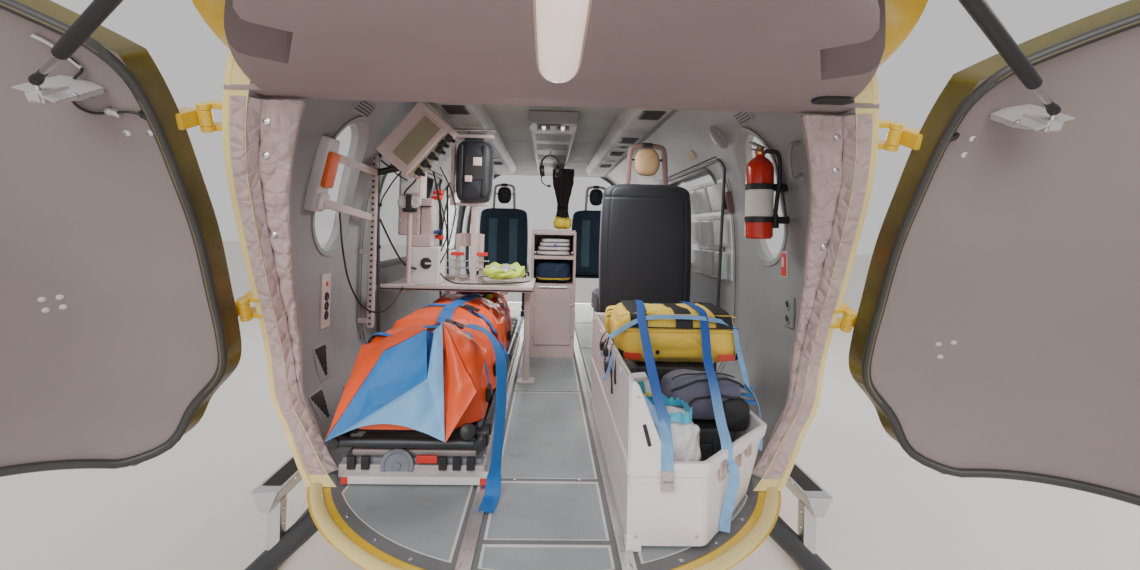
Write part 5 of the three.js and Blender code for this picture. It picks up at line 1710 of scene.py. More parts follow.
FLOOR_DARK = Finish("floor_border", (0.15, 0.155, 0.16), 0.6, grain=Grain.PEBBLED, grain_size=1.4,
                    depth=0.1, drift=0.12, soil=0.25)
FLOOR_BLUE = Finish("dotted_floor", (0.29, 0.325, 0.34), 0.5, grain=Grain.DOTTED, grain_size=11.0,
                    depth=0.5, drift=0.10, soil=0.3)
FLOOR_EDGE = Finish("floor_outline", (0.62, 0.62, 0.60), 0.55, depth=0.03, soil=0.2)
TRACK = Finish("track_aluminium", (0.60, 0.60, 0.61), 0.34, metallic=0.85, grain=Grain.BRUSHED,
               depth=0.02, soil=0.2)
QUILT = Finish("post_quilt", (0.52, 0.395, 0.38), 0.8, sheen=0.3, grain=Grain.LEATHER,
               grain_size=44.0, depth=5.0, drift=0.1, drift_size=90.0)
QUILT_PIPING = Finish("quilt_piping", (0.26, 0.22, 0.22), 0.8, grain=Grain.WOVEN, grain_size=1.6)
CEILING_GREY = Finish("ceiling_grey", (0.31, 0.33, 0.31), 0.7, grain=Grain.PEBBLED, grain_size=2.4,
                      depth=0.12, drift=0.06)
DUCT_GREY = Finish("duct_grey", (0.37, 0.38, 0.37), 0.55, grain=Grain.PEBBLED, grain_size=1.6,
                   depth=0.06)
CONSOLE_GREY = Finish("console_grey", (0.27, 0.28, 0.29), 0.5, grain=Grain.PEBBLED, grain_size=1.2,
                      depth=0.06)
LAMP_GLASS = Finish("lamp_glass", (0.86, 0.82, 0.78), 0.12, coat=0.5, glow=1.1, depth=0.01)
LAMP_CAP = Finish("lamp_cap", (0.72, 0.45, 0.42), 0.35, coat=0.2, depth=0.01)
DOME_WHITE = Finish("dome_lens", (0.96, 0.80, 0.73), 0.2, coat=0.5, glow=0.75, depth=0.01)
DOME_RIM = Finish("dome_rim", (0.62, 0.42, 0.38), 0.4, coat=0.2, depth=0.01)


@dataclass
class CabinFloor:
    """Floor plate with dotted panels between four tracks, screws and the rounded sill."""

    inset: float = 38.0
    front: float = 5039.0
    tracks: Sequence[tuple[float, float]] = ((-590.0, 1524.0), (-178.0, 1090.0), (178.0, 1090.0),
                                             (590.0, 1524.0))
    track_end: float = 4500.0
    bays: Sequence[tuple[float, float]] = ((-745.0, -618.0), (-560.0, -208.0), (-148.0, 148.0),
                                           (208.0, 560.0), (618.0, 745.0))
    seams: Sequence[float] = (1195.0, 1490.0, 2300.0, 3150.0, 4000.0, 4990.0)

    def rear(self, x: Array) -> Array:
        """Station of the plate's rear edge at x."""
        half = half_width(0.0, self.inset)
        depth = capsule_depth(np.asarray(0.0), half, self.inset)
        return shoulder(0.0) - depth * np.sqrt(1 - np.clip(np.abs(x) / half, 0, 1) ** 2)

    def plate(self) -> Shape:
        """The plate under everything."""
        heights = np.array([-26.7, -1.2, -0.2])
        half = half_width(heights, self.inset)
        depth = capsule_depth(heights, half, self.inset)
        return Shape().grid(plan_loop(heights, half, depth, self.front, 64), around=True, caps=True)

    def panels(self, shape: Shape) -> None:
        """Dotted panels with pale outlines, ended by the curved sill."""
        for low, high in self.bays:
            edge = np.linspace(low, high, 14)
            curve = np.maximum(self.rear(edge) + 62, 0)
            start = curve.max() + 40
            joints = [None] + [s for s in self.seams if s > start]
            for k in range(len(joints) - 1):
                near = curve if joints[k] is None else np.full_like(edge, joints[k] + 9)
                far = joints[k + 1] - 9
                line = np.concatenate([np.stack([edge, near], 1), [[high, far], [low, far]]])
                middle = line.mean(0)
                shape.plate(line, "z", -0.6, 0.7, 0.4, 2)
                shape.plate(middle + (line - middle) * (1 - 14 / np.ptp(line, axis=0)), "z", 0.2,
                            1.4, 0.5, 1)

    def screws(self, shape: Shape) -> None:
        """Countersunk screws along the sill and the seams."""
        for x in np.linspace(-700, 700, 15):
            fastener(shape, (x, float(self.rear(np.asarray(x))) + 34, 0.2), (0, 0, 1), 4.5, 3)
        for station in self.seams[1:-1]:
            for low, high in self.bays:
                for share in (0.18, 0.82):
                    fastener(shape, (low + share * (high - low), station, 0.4), (0, 0, 1), 4.5, 3)

    def track(self, x: float, start: float) -> Shape:
        """A track with a scalloped slot down its middle."""
        station = np.arange(start, self.track_end, 5.0)
        slot = 5.0 + 3.5 * np.clip(np.cos(station * 2 * np.pi / 50) * 1.6, 0, 1)
        profile = [(-17, 0.1), (-17, 5.2), (-16, 6), ("a", 6), ("a", 3), ("b", 3), ("b", 6),
                   (16, 6), (17, 5.2), (17, 0.1)]
        rows = []
        for u, height in profile:
            across = {"a": -slot, "b": slot}.get(u, 0 * slot if isinstance(u,
                                                                           str) else u + 0 * slot)
            rows.append(np.stack([x + across, station, height + 0 * slot], -1))
        return Shape().grid(np.stack(rows, 1), around=True, caps=True)

    def sill(self) -> Shape:
        """The rounded rim on the tub's edge, round the rear."""
        heights = np.array([0.0])
        half = half_width(heights, 17.0)
        loop = plan_loop(heights, half, capsule_depth(heights, half, 17.0), 1560.0, 90)[0]
        keep = loop[(loop[:, 1] < 1545)]
        path = even_path(keep, 150)
        profile = np.array([[-16, -4], [-16, 3], [-11, 7.5], [0, 9], [11, 7.5], [16, 3], [16, -4]])
        return Shape().grid(sweep(path, profile, (0.0, 0.0, 1.0)), around=True, caps=True)

    def dress(self) -> None:
        """Makes the floor's pieces."""
        shape = self.plate()
        self.panels(shape)
        self.screws(shape)
        put("floor_plate", shape, Outfit((FLOOR_DARK, FLOOR_BLUE, FLOOR_EDGE, STEEL), ROOT,
                                         ("cabin_floor",), "floor_grey", crease=30))
        tracks = Shape()
        for x, start in self.tracks:
            tracks.join(self.track(x, start))
        put("floor_tracks", tracks, Outfit((TRACK,), ROOT))
        put("sill_rim", self.sill(), Outfit((PALE_YELLOW,), ROOT))


@dataclass
class PostLiner:
    """Quilted liner on a rear post: wide at the top, with gathered folds and piping."""

    side: Side
    rows: Sequence[tuple[float, float]] = ((20, 18), (250, 30), (500, 50), (760, 80), (1035, 118))
    depth: tuple[float, float] = (30.0, 62.0)

    def face(self, u: Array, height: Array, depth: Array) -> Array:
        """A point of the liner: u from the wall to the inner edge."""
        width = np.interp(height, *np.asarray(self.rows, float).T)
        station = doorway(height) + DOOR_GAP + depth
        wall = skin_x(height, station, WALL)
        return np.stack([wall - 2.0 - u * (width - 3.0), station, height], -1)

    def quilting(self, u: Array, height: Array) -> Array:
        """How far the padding rises between its seams, from 0 to 1."""
        wave = 26 * np.sin(u * 3.1 + height / 61.0)
        across = np.abs(np.sin(np.pi * (height + wave) / 78.0))
        slant = np.abs(np.sin(np.pi * (u * 0.9 + height / 165.0)))
        folds = np.abs(np.sin(np.pi * (u * 3.4 + 0.3 * np.sin(height / 40.0))))
        gather = np.clip((height - 880) / 120, 0, 1)
        quilt = np.sqrt(across * (0.35 + 0.65 * slant))
        return quilt * (1 - gather) + gather * (0.35 + 0.65 * folds)

    def pad(self) -> Shape:
        """The liner's closed form."""
        height, u = np.meshgrid(np.linspace(22, 1033, 220), np.linspace(0, 1, 26), indexing="ij")
        edge = np.clip((1 - u) * 9, 0, 1) ** 0.5
        rise = self.quilting(u, height) * edge
        rough = ripple(np.stack([u * 90, height, height * 0], -1), 60.0, 1.0) * 1.6 * edge
        rear = self.face(u, height, self.depth[0] + 13.0 - 12.0 * rise + rough)
        front = self.face(u, height, self.depth[1] - 3.0 - 9.0 * edge + 0 * u)
        return Shape().shell(rear, front)

    def cover(self) -> Shape:
        """Quilt over the post's rear edge: from the outer lip round the corner to the pad."""
        height, turn = np.meshgrid(np.linspace(24, 1031, 240), np.linspace(0, 1, 22), indexing="ij")
        bend = np.clip((turn - 0.42) / 0.2, 0, 1)
        inset = np.interp(turn, [0, 0.5, 1], [15.0, 46.0, 68.0])
        depth = np.interp(turn, [0, 0.5, 1], [-0.4, -0.4, 32.0])
        edge = np.clip(np.minimum(turn, 1 - turn) * 12, 0, 1) ** 0.5
        rise = (1.2 + 2.2 * self.quilting(turn * 0.5, height)) * edge
        surfaces = []
        for lift in (rise, 0 * rise):
            station = doorway(height) + DOOR_GAP + depth - lift * (1 - bend)
            surfaces.append(np.stack([skin_x(height, station, inset) - lift * bend, station,
                                      height], -1))
        return Shape().shell(*surfaces)

    def trim(self) -> Shape:
        """Piping on the inner edge and three press studs."""
        height = np.linspace(22, 1033, 120)
        path = self.face(np.ones_like(height), height, self.depth[0] + 16.0 + 0 * height)
        shape = Shape().tube(path, 3.6, 10, 0, (0.0, 1.0, 0.0))
        for level, u in ((985.0, 0.30), (905.0, 0.34), (700.0, 0.4)):
            here = self.face(np.array(u), np.array(level), np.array(self.depth[0] + 2.0))
            fastener(shape, here, (0, -1, 0.1), 7.0, 1)
        return shape

    def dress(self) -> None:
        """Makes the liner's pieces."""
        name = self.side.letter
        pad = put(f"post_liner_{name}", self.side.of(self.pad()), Outfit(
            (QUILT,), ROOT, (f"liner_{name}",), "quilt", crease=70, flat=False))
        cover = put(f"post_cover_{name}", self.side.of(self.cover()), Outfit(
            (QUILT,), ROOT, crease=70, flat=False))
        put(f"liner_trim_{name}", self.side.of(self.trim()), Outfit((QUILT_PIPING, STEEL), ROOT))


@dataclass
class Ceiling:
    """Ceiling with ribs, two ducts with vents, and the console with its lamps."""

    bottom: float = 1262.0
    duct: tuple[float, float, float, float] = (300.0, 500.0, 1500.0, 4400.0)
    console: tuple[float, float, float] = (110.0, 2250.0, 4250.0)

    def headliner(self) -> Shape:
        """The crown's lining, flat below, with shallow ribs across."""
        first = math.asin(((self.bottom + 2 - WAIST) / (RISE - 51)) ** (UPPER_POWER / 2))
        angle = np.linspace(first, np.pi - first, 44)
        half, height = section(np.minimum(angle, np.pi - angle), 51.0)
        x = half * np.where(angle > np.pi / 2, -1, 1)
        flat = np.linspace(x[-1], x[0], 40)[1:-1]
        shape = Shape()
        for start, end in ((1302, 2150), (2156, 3050), (3056, 3900), (3906, 5028)):
            rows = []
            for station in (start, start + 4, end - 4, end):
                dip = 1.0 if station in (start, end) else 0.0
                low = np.stack([flat, np.full_like(flat, station), np.full_like(
                    flat, self.bottom + 3 * dip)], -1)
                top = np.stack([x, np.full_like(x, station), height - dip], -1)
                rows.append(np.concatenate([top, low]))
            shape.grid(np.stack(rows), around=True, caps=True)
        return shape

    def ducts(self) -> Shape:
        """Air ducts with black slot vents and round outlets below."""
        inner, outer, rear, front = self.duct
        outline = np.array([[inner, 1264], [inner + 6, 1250], [inner + 26, 1212],
                            [inner + 38, 1206], [outer - 48, 1206], [outer - 36, 1212],
                            [outer - 6, 1250], [outer, 1264]])
        shape = Shape()
        for low, high in ((rear, 2380.0), (2384.0, 3380.0), (3384.0, front)):
            shape.plate(outline, "y", low, high, 4.0)
        for station in (1640.0, 2050.0, 2640.0, 3100.0, 3700.0):
            middle = (inner + outer) / 2 - 4
            shape.plate(rounded_outline((middle, station), (92, 150), 14), "z", 1202.6, 1207, 1.5,
                        1)
            slots(shape, (middle, station, 1202.4), np.eye(3), 7, 19.0, (74.0, 9.0), 2)
        for station in (1850.0, 2850.0, 3450.0):
            shape.lathe((400, station, 1207), (0, 0, -1),
                        [(0, 38), (2, 38), (3, 34), (3, 22), (1, 20), (1, 9), (3.4, 8),
                         (3.8, 0.2)], 26, 1)
        return shape

    def fittings(self) -> Shape:
        """The console body with panels, knobs, a speaker and the lamps in their recesses."""
        half, rear, front = self.console
        shape = Shape()
        shape.plate(np.array([[-half, 1261], [-half, 1212], [-half + 12, 1202], [half - 12, 1202],
                              [half, 1212], [half, 1261]]), "y", rear, 2298.0, 5.0)
        shape.plate(np.array([[-half, 1261], [-half, 1212], [-half + 12, 1202], [half - 12, 1202],
                              [half, 1212], [half, 1261]]), "y", 2422.0, front, 5.0)
        shape.span((-half + 2, 2296, 1226), (half - 2, 2424, 1261), 1.5)
        for low, high in ((-half, -75), (-15, 15), (75, half)):
            shape.span((low, 2296, 1202), (high, 2424, 1240), 3.0)
        for x in (-45, 45):
            shape.span((x - 27, 2300, 1224), (x + 27, 2420, 1228), 1.0, 1)
            shape.lathe((x, 2306, 1212), (0, 1, 0), [(0, 3), (0, 9.5), (2, 11), (14, 11), (16, 9)],
                        22, 4)
            shape.lathe((x, 2322, 1212), (0, 1, 0), [(0, 8), (1, 9.4), (74, 9.4), (75, 8)], 22, 3)
            shape.lathe((x, 2397, 1212), (0, 1, 0), [(0, 9), (2, 11), (14, 11), (16, 9.5),
                                                     (16, 3)], 22, 4)
        shape.plate(rounded_outline((-20, 2272), (120, 34), 16.5, 8), "z", 1200.2, 1203, 1.0, 1)
        slots(shape, (-20, 2272, 1200.2), np.eye(3), 4, 7.0, (96.0, 3.2), 2)
        for station in (2600.0, 2900.0, 3300.0, 3700.0):
            shape.plate(rounded_outline((0, station), (180, 190), 8), "z", 1200.3, 1203, 1.0, 2)
            for x in (-60, -20, 20, 60):
                for y in (-60, 0, 60):
                    shape.lathe((x, station + y, 1203), (0, 0, -1), [
                        (0, 12), (1, 12), (1.6, 9), (2.6, 8.6), (2.8, 0.2)], 16, 1)
        return shape

    def dome_lamp(self) -> Shape:
        """The wide pale lens under the overhead panel's recess, with a rounded end and a rim."""
        t = np.linspace(-1, 1, 60)
        station = 858 + 236 * np.sin(t * np.pi / 2)
        width = np.clip(1 - np.abs(np.sin(t * np.pi / 2)) ** 7, 1e-4, 1) ** (1 / 2.2)
        turn = np.linspace(0, 2 * np.pi, 36, endpoint=False)
        shape = Shape()
        for half, deep, high, paint in ((41.0, 15.0, 8.0, 0), (45.5, 4.0, 8.0, 1)):
            down = np.where(np.sin(turn) < 0, deep, high) * np.sin(turn)
            rows = np.stack([np.outer(width, half * np.cos(turn)),
                             np.repeat(station[:, None], 36, 1),
                             parting(station)[:, None] - 75.5 + np.outer(width, down)], -1)
            shape.grid(rows, around=True, caps=True, paint=paint)
        return shape

    def panel_vent(self) -> Shape:
        """The dark oval outlet at the overhead panel's right corner."""
        shape = Shape().plate(rounded_outline((642, 1160), (96, 46), 22.9, 10), "z", 1041.0,
                              1050.0, 1.5)
        return slots(shape, (642, 1160, 1040.6), np.eye(3), 3, 11.0, (62.0, 4.0), 1)

    def dress(self) -> None:
        """Makes the ceiling's pieces."""
        ducts = self.ducts()
        put("headliner", self.headliner(), Outfit((CEILING_GREY,), ROOT, ("ceiling",), "trim_grey"))
        put("air_ducts", Shape().join(ducts).join(ducts.mirrored()), Outfit(
            (DUCT_GREY, BLACK_PLASTIC, SHUT_SHADE_AND_BLACK), ROOT))
        put("console_body", self.fittings(), Outfit(
            (CONSOLE_GREY, BLACK_PLASTIC, FLOOR_DARK, LAMP_GLASS, LAMP_CAP), ROOT,
            ("ceiling_console",), "trim_grey"))
        put("dome_lamp", self.dome_lamp(), Outfit((DOME_WHITE, DOME_RIM), ROOT, crease=60))
        put("panel_vent", self.panel_vent(), Outfit((SHUT_SHADE_AND_BLACK, DARK_METAL), ROOT))


# Skid landing gear

GEAR = Finish("gear_dark", (0.05, 0.053, 0.058), 0.48, metallic=0.4, grain=Grain.PEBBLED,
              grain_size=1.6, depth=0.06, drift=0.1, soil=0.2)
TREAD = Finish("step_tread", (0.03, 0.03, 0.033), 0.9, grain=Grain.PEBBLED, grain_size=1.8,
               depth=0.5)


@dataclass
class SkidGear:
    """Two cross tubes with saddles and clamps, two skids with shoes, and two steps."""

    half: Sequence[tuple[float, float]] = ((0, -150), (560, -150), (680, -170), (810, -285),
                                           (963, -433), (1100, -566), (1178, -650), (1200, -713))

    def cross_tube(self, station: float) -> Shape:
        """An arched tube from skid to skid with its saddles."""
        right = np.array([(x, station, z) for x, z in self.half], float)
        knots = np.concatenate([right[:0:-1] * (-1, 1, 1), right])
        shape = Shape().tube(smooth_path(knots, 130), 35.0, 28, 0, (0.0, 1.0, 0.0))
        for x in (-450, 450):
            shape.span((x - 45, station - 49, -120), (x + 45, station + 49, -101), 5.0)
            shape.lathe((x - 40, station, -150), (1, 0, 0), [(0, 36), (0, 40), (2, 42), (78, 42),
                                                            (80, 40), (80, 36)], 32)
            for side in (-1, 1):
                shape.span((x - 38, station + side * 45 - 4, -160),
                           (x + 38, station + side * 45 + 4, -112), 2.0)
                for shift in (-22, 22):
                    shape.rod((x + shift, station + side * 41, -176),
                              (x + shift, station + side * 41, -112), 5, 12, 1)
        for x in (-1010, 1010):
            for shift in (-9, 9):
                lean = unit(np.array([137.0, 0.0, -133.0]) * (np.sign(x), 1, 1))
                middle = np.array([x, station, -478.0]) + lean * shift * 6
                shape.lathe(middle - lean * 8, lean, [(0, 35.5), (0, 38), (16, 38), (16, 35.5)], 28)
        return shape

    def skid(self) -> Shape:
        """The right skid: runner with upturned toe, sockets, shoes and end cap."""
        runner = smooth_path(np.array([[1200, 1250, -762], [1200, 2400, -762], [1200, 4050, -762],
                                       [1200, 4450, -762], [1200, 4750, -722], [1200, 5020, -560]],
                                      float), 140)
        shape = Shape().tube(runner, 34.0, 28, 0, (1.0, 0.0, 0.0))
        for station in CROSS_TUBES:
            shape.lathe((1200, station, -762), (0, 0, 1), [(0, 44), (28, 48), (60, 50), (98, 50),
                                                          (102, 46), (102, 37)], 32)
            for level in (-735, -690):
                shape.rod((1146, station, level), (1254, station, level), 6, 14, 1)
            for side in (-1, 1):
                shape.lathe((1200, station + side * 52, -762), (0, side, 0), [
                    (0, 35), (0, 38), (22, 38), (22, 35)], 28)
        for low, high in ((1500, 2300), (3300, 4300)):
            shape.plate(rounded_outline((1200, (low + high) / 2), (50, high - low), 10, 4), "z",
                        -800, -786, 2.0, 2)
            shape.span((1180, low + 6, -792), (1220, high - 6, -762), 3.0, 2)
            for station in np.arange(low + 60, high, 120):
                shape.lathe((1200, station - 12, -762), (0, 1, 0),
                            [(0, 34.5), (0, 36.5), (24, 36.5), (24, 34.5)], 24, 1)
        shape.lathe((1200, 1250, -762), (0, -1, 0), [(0, 33), (3, 31), (4, 24), (4, 0.2)], 24, 2)
        return shape

    def step(self) -> Shape:
        """The right boarding step with its treads and posts."""
        outline = np.array([[830, -100], [830, -108], [855, -165], [885, -165], [910, -108],
                            [910, -100]], float)
        shape = Shape().plate(outline, "y", 1600, 4200, 3.0)
        for low, high in ((1640, 2360), (2400, 3300), (3340, 4160)):
            shape.plate(rounded_outline((870, (low + high) / 2), (62, high - low), 6, 3), "z",
                        -101.5, -99.2, 0.8, 1)
        for station in CROSS_TUBES:
            shape.span((848, station - 22, -318), (892, station + 22, -158), 6.0)
            for level in (-190, -240):
                shape.rod((845, station, level), (895, station, level), 6, 12, 2)
        return shape

    def dress(self) -> None:
        """Makes the landing gear's pieces."""
        for name, station in (("rear", CROSS_TUBES[0]), ("front", CROSS_TUBES[1])):
            put(f"arched_tube_{name}", self.cross_tube(station), Outfit(
                (GEAR, STEEL), ROOT, (f"cross_tube_{name}",), "dark_metal"))
        for side in Side:
            put(f"skid_runner_{side.letter}", side.of(self.skid()), Outfit(
                (GEAR, STEEL, BLACK_PLASTIC), ROOT, (f"skid_{side.letter}",), "dark_metal"))
            put(f"boarding_step_{side.letter}", side.of(self.step()), Outfit(
                (BARE_METAL, TREAD, STEEL), ROOT, (f"step_{side.letter}",), "aluminium"))


# Seats

SEAT_BLACK = Finish("seat_black", (0.018, 0.020, 0.028), 0.5, sheen=0.1, grain=Grain.LEATHER,
                    grain_size=2.2, depth=0.06, drift=0.08, soil=0.1)
SEAT_NAVY = Finish("seat_navy", (0.025, 0.055, 0.095), 0.7, sheen=0.25, grain=Grain.WOVEN,
                   grain_size=1.8, depth=0.08, drift=0.1)
SEAT_STRIPE = Finish("seat_stripe", (0.10, 0.19, 0.26), 0.75, sheen=0.3, grain=Grain.WOVEN,
                     grain_size=1.8, depth=0.08)
SEAT_EDGE = Finish("seat_side_grey", (0.21, 0.22, 0.25), 0.6, grain=Grain.PEBBLED, depth=0.04)
HEAD_FRAME = Finish("head_frame_brown", (0.22, 0.13, 0.12), 0.45, grain=Grain.PEBBLED, depth=0.03)
HEAD_WHITE = Finish("head_frame_white", (0.66, 0.62, 0.60), 0.45, grain=Grain.PEBBLED, depth=0.03)
HEAD_TAN = Finish("head_pad_tan", (0.50, 0.33, 0.18), 0.6, grain=Grain.LEATHER, grain_size=2.0,
                  depth=0.05)
HARNESS = Finish("harness_grey", (0.12, 0.125, 0.14), 0.75, grain=Grain.WOVEN, grain_size=2.0,
                 depth=0.1)
BUCKLE_RED = Finish("buckle_red", (0.62, 0.03, 0.02), 0.35, coat=0.3, depth=0.01)


@dataclass
class Seat:
    """A cabin seat with a cushioned shell, head frame, harness and floor frame.

    place is x and the station of the back's rear face; colors are cover, stripe, head frame and
    head pad.
    """

    name: str
    body: str
    place: tuple[float, float]
    width: float
    back_top: float
    head_top: float
    recline: float
    foot: float
    colors: tuple[Finish, Finish, Finish, Finish]
    striped: bool = False

    def rear(self, height: Array) -> Array:
        """Station of the back's rear face at a height."""
        return self.place[1] - self.recline * np.clip((height - 360) / (self.back_top - 360), 0, 1)

    def section(self, turn: Array, height: Array, out: float = 0.0) -> Array:
        """Points of the back's skin at angles around it and heights up it."""
        x, _ = self.place
        rise = np.clip((height - 360) / (self.back_top - 360), 0, 1)
        close = (1 - np.clip((height - self.back_top + 55) / 56, 0, 0.995) ** 3) ** (1 / 3)
        foot = (1 - np.clip((410 - height) / 51, 0, 0.99) ** 3) ** (1 / 3)
        half = (self.width / 2 - 12 * (1 - rise) - 22 * rise ** 3) * (0.25 + 0.75 * close)
        deep = 44.0 * np.minimum(0.2 + 0.8 * close, 0.3 + 0.7 * foot)
        c, s = np.cos(turn), np.sin(turn)
        across = np.sign(c) * np.abs(c) ** 0.34 * (half + out)
        forward = np.sign(s) * np.abs(s) ** 0.55 * (deep + out)
        seam = np.exp(-(across / 5.0) ** 2) + np.exp(-((height - self.back_top + 62) / 5.0) ** 2)
        side = np.exp(-((np.abs(across) - half + 34) / 4.0) ** 2)
        forward = forward + np.where(s < 0, 3.2, -3.2) * np.clip(seam + side, 0, 1)
        crown = 5.0 * np.cos(np.pi / 2 * np.clip(across / half, -1, 1)) * np.sign(s)
        return np.stack([x + across, self.rear(height) + 47 + forward + crown * 0.5, height], -1)

    def back(self) -> Shape:
        """The upholstered back: cover, with grey sides."""
        turn, height = np.meshgrid(np.linspace(0, 2 * np.pi, 150, endpoint=False),
                                   np.concatenate([np.linspace(360, 430, 16)[:-1],
                                                   np.linspace(430, self.back_top - 80, 70)[:-1],
                                                   np.linspace(self.back_top - 80, self.back_top,
                                                               34)]))
        shape = Shape().grid(self.section(turn, height), around=True, caps=True, paint=0)
        for angle in (0.0, np.pi):
            level = np.linspace(400, self.back_top - 70, 40)
            path = self.section(np.full_like(level, angle), level, 0.5)
            normal = (math.cos(angle), 0.0, 0.05)
            shape.grid(sweep(path, slab_profile(26.0, 3.0), normal), around=True, caps=True,
                       paint=1)
        return shape

    def stripes(self, shape: Shape) -> None:
        """Paler upright panels on both faces of the back."""
        for share in (-0.42, 0.42):
            for front in (-1, 1):
                level = np.linspace(430, self.back_top - 85, 40)
                base = np.arccos(np.sign(share) * abs(share) ** (1 / 0.34))
                path = self.section(np.full_like(level, front * base), level, 1.2)
                shape.grid(sweep(path, slab_profile(self.width * 0.16, 2.4), (0, front, 0.02)),
                           around=True, caps=True, paint=1)

    def cushion(self) -> Shape:
        """The seat pan's cushion with piping round its rim."""
        x, station = self.place
        form = SoftForm((x, station + 278, 384), (self.width - 6, 424, 92), "Y", 5.5, 6.0, 2.4,
                        130.0, station / 500, -8.0)
        shape = form.skin(60, 110)
        for phi in (-0.8, 0.8):
            form.line(shape, [-0.94, 0.94], [phi, phi], 3.0, 1, 80)
        for along in (-0.3, 0.25):
            form.line(shape, [along, along], [-0.8, 0.8], 2.0, 0, 50)
        return shape

    def frame(self) -> Shape:
        """Head frame, pan, legs on their rails, and knobs."""
        x, station = self.place
        level, head = self.rear(np.asarray(self.back_top)) + 45, self.head_top
        low = self.back_top
        arch = np.array([[-95, low - 60], [-88, low + 10], [-80, head - 52], [-62, head - 20],
                         [0, head - 13], [62, head - 20], [80, head - 52], [88, low + 10],
                         [95, low - 60]], float)
        path = smooth_path(np.insert(arch, 1, 0.0, axis=1) + (x, float(level), 0), 80)
        profile = np.array([[-15, -12], [-17, 0], [-15, 12], [-6, 15], [6, 13], [11, 6], [11, -6],
                            [6, -13], [-6, -15]])
        shape = Shape().grid(sweep(path, profile * 0.8, (0, 1, 0)), around=True, caps=True, paint=0)
        shape.span((x - self.width / 2 + 12, station + 66, 326),
                   (x + self.width / 2 - 12, station + 486, 344), 6.0, 2)
        for side in (-1, 1):
            leg = x + side * (self.width / 2 - 40)
            shape.span((leg - 15, station + 60, self.foot), (leg + 15, station + 430, 38), 3.0, 2)
            for low_end, high_end in ((120, 180), (340, 400)):
                middle = station + (low_end + high_end) / 2
                shape.plate(np.array([[middle - 30, 34], [middle + 30, 34], [middle + 20, 330],
                                      [middle - 20, 330]]), "x", leg - 10, leg + 10, 2.0, 2)
                shape.rod((leg - 16, middle, 60), (leg + 16, middle, 60), 8, 14, 3)
            shape.rod((leg, station + 150, 300), (leg, station + 370, 70), 7, 12, 3)
            shape.lathe((x + side * (self.width / 2 - 6), station + 70, 352), (side, 0, 0),
                        [(0, 14), (4, 20), (14, 20), (18, 15), (18, 0.3)], 20, 3)
        return shape

    def headrest(self) -> Shape:
        """The pad inside the head frame, with its clip on top."""
        x, _ = self.place
        level = float(self.rear(np.asarray(self.back_top))) + 48
        middle = (self.back_top + self.head_top) / 2 + 6
        high = self.head_top - self.back_top - 66
        shape = SoftForm((x, level, middle), (116, 60, high), "Y", 2.6, 3.0, 1.0, 60.0, 2.0).skin(
            40, 60)
        shape.block((x - 2, level, self.head_top - 12), (52, 44, 22), 8, paint=1)
        shape.rod((x - 70, level + 4, middle + 12), (x + 70, level + 4, middle + 12), 5, 12, 1)
        return shape

    def belts(self) -> Shape:
        """Shoulder straps down the front of the back, lap straps and the red buckle."""
        x, station = self.place
        shape = Shape()
        for side in (-1, 1):
            level = np.linspace(self.back_top - 20, 470, 50)
            share = np.linspace(0.50, 0.12, 50)
            across = x + side * share * self.width / 2
            bulge = self.rear(level) + 47 + 52 + 0 * level
            path = np.stack([across, bulge, level], 1)
            shape.grid(sweep(path, slab_profile(44, 2.4), (0.0, 1.0, 0.2)), around=True, caps=True)
            webbing(shape, [(x + side * self.width * 0.44, station + 100, 434),
                            (x + side * self.width * 0.32, station + 130, 440),
                            (x + side * 24, station + 122, 452)], (0, 0.2, 1.0), 44)
        shape.lathe((x, station + 112, 452), (0, 0.75, 0.66), [(0, 24), (2, 27), (12, 27), (15, 22),
                                                              (15, 0.3)], 30, 1)
        return shape

    def dress(self) -> None:
        """Makes the seat's pieces."""
        cover, stripe, head, pad = self.colors
        back = self.back()
        if self.striped:
            self.stripes(back)
        made = put(f"{self.name}_back", back, Outfit(
            (cover, stripe), ROOT, (self.body,), "navy_seat" if self.striped else "black_seat",
            crease=50, flat=False))
        pan = put(f"{self.name}_cushion", self.cushion(),
                  Outfit((cover, SEAT_EDGE), ROOT, crease=60, flat=False))
        put(f"{self.name}_frame", self.frame(), Outfit((head, SEAT_EDGE, DARK_METAL, BLACK_PLASTIC),
                                                       ROOT))
        put(f"{self.name}_head_pad", self.headrest(), Outfit((pad, BLACK_PLASTIC), ROOT, crease=50))
        put(f"{self.name}_harness", self.belts(), Outfit((HARNESS, BUCKLE_RED), ROOT))


def cabin_seats() -> list[Seat]:
    """The attendant's seat and the two crew seats."""
    black = (SEAT_BLACK, SEAT_EDGE, HEAD_FRAME, HEAD_TAN)
    navy = (SEAT_NAVY, SEAT_STRIPE, HEAD_WHITE, SEAT_BLACK)
    return [
        Seat("attendant", "attendant_seat", (430.0, 2250.0), 430.0, 945.0, 1136.0, 0.0, 6.4, black),
        Seat("crew_right", "crew_seat_R", (385.0, 4230.0), 420.0, 900.0, 1110.0, 20.0, 0.4, navy,
             striped=True),
        Seat("crew_left", "crew_seat_L", (-385.0, 4230.0), 420.0, 900.0, 1110.0, 20.0, 0.4, navy,
             striped=True),
    ]


# Stretcher, its base and the folded bag on it

BAG_ORANGE = Finish("bag_orange", (0.95, 0.105, 0.018), 0.42, coat=0.15, grain=Grain.RIPSTOP,
                    grain_size=3.0, depth=0.1, drift=0.08, drift_size=220.0, soil=0.12)
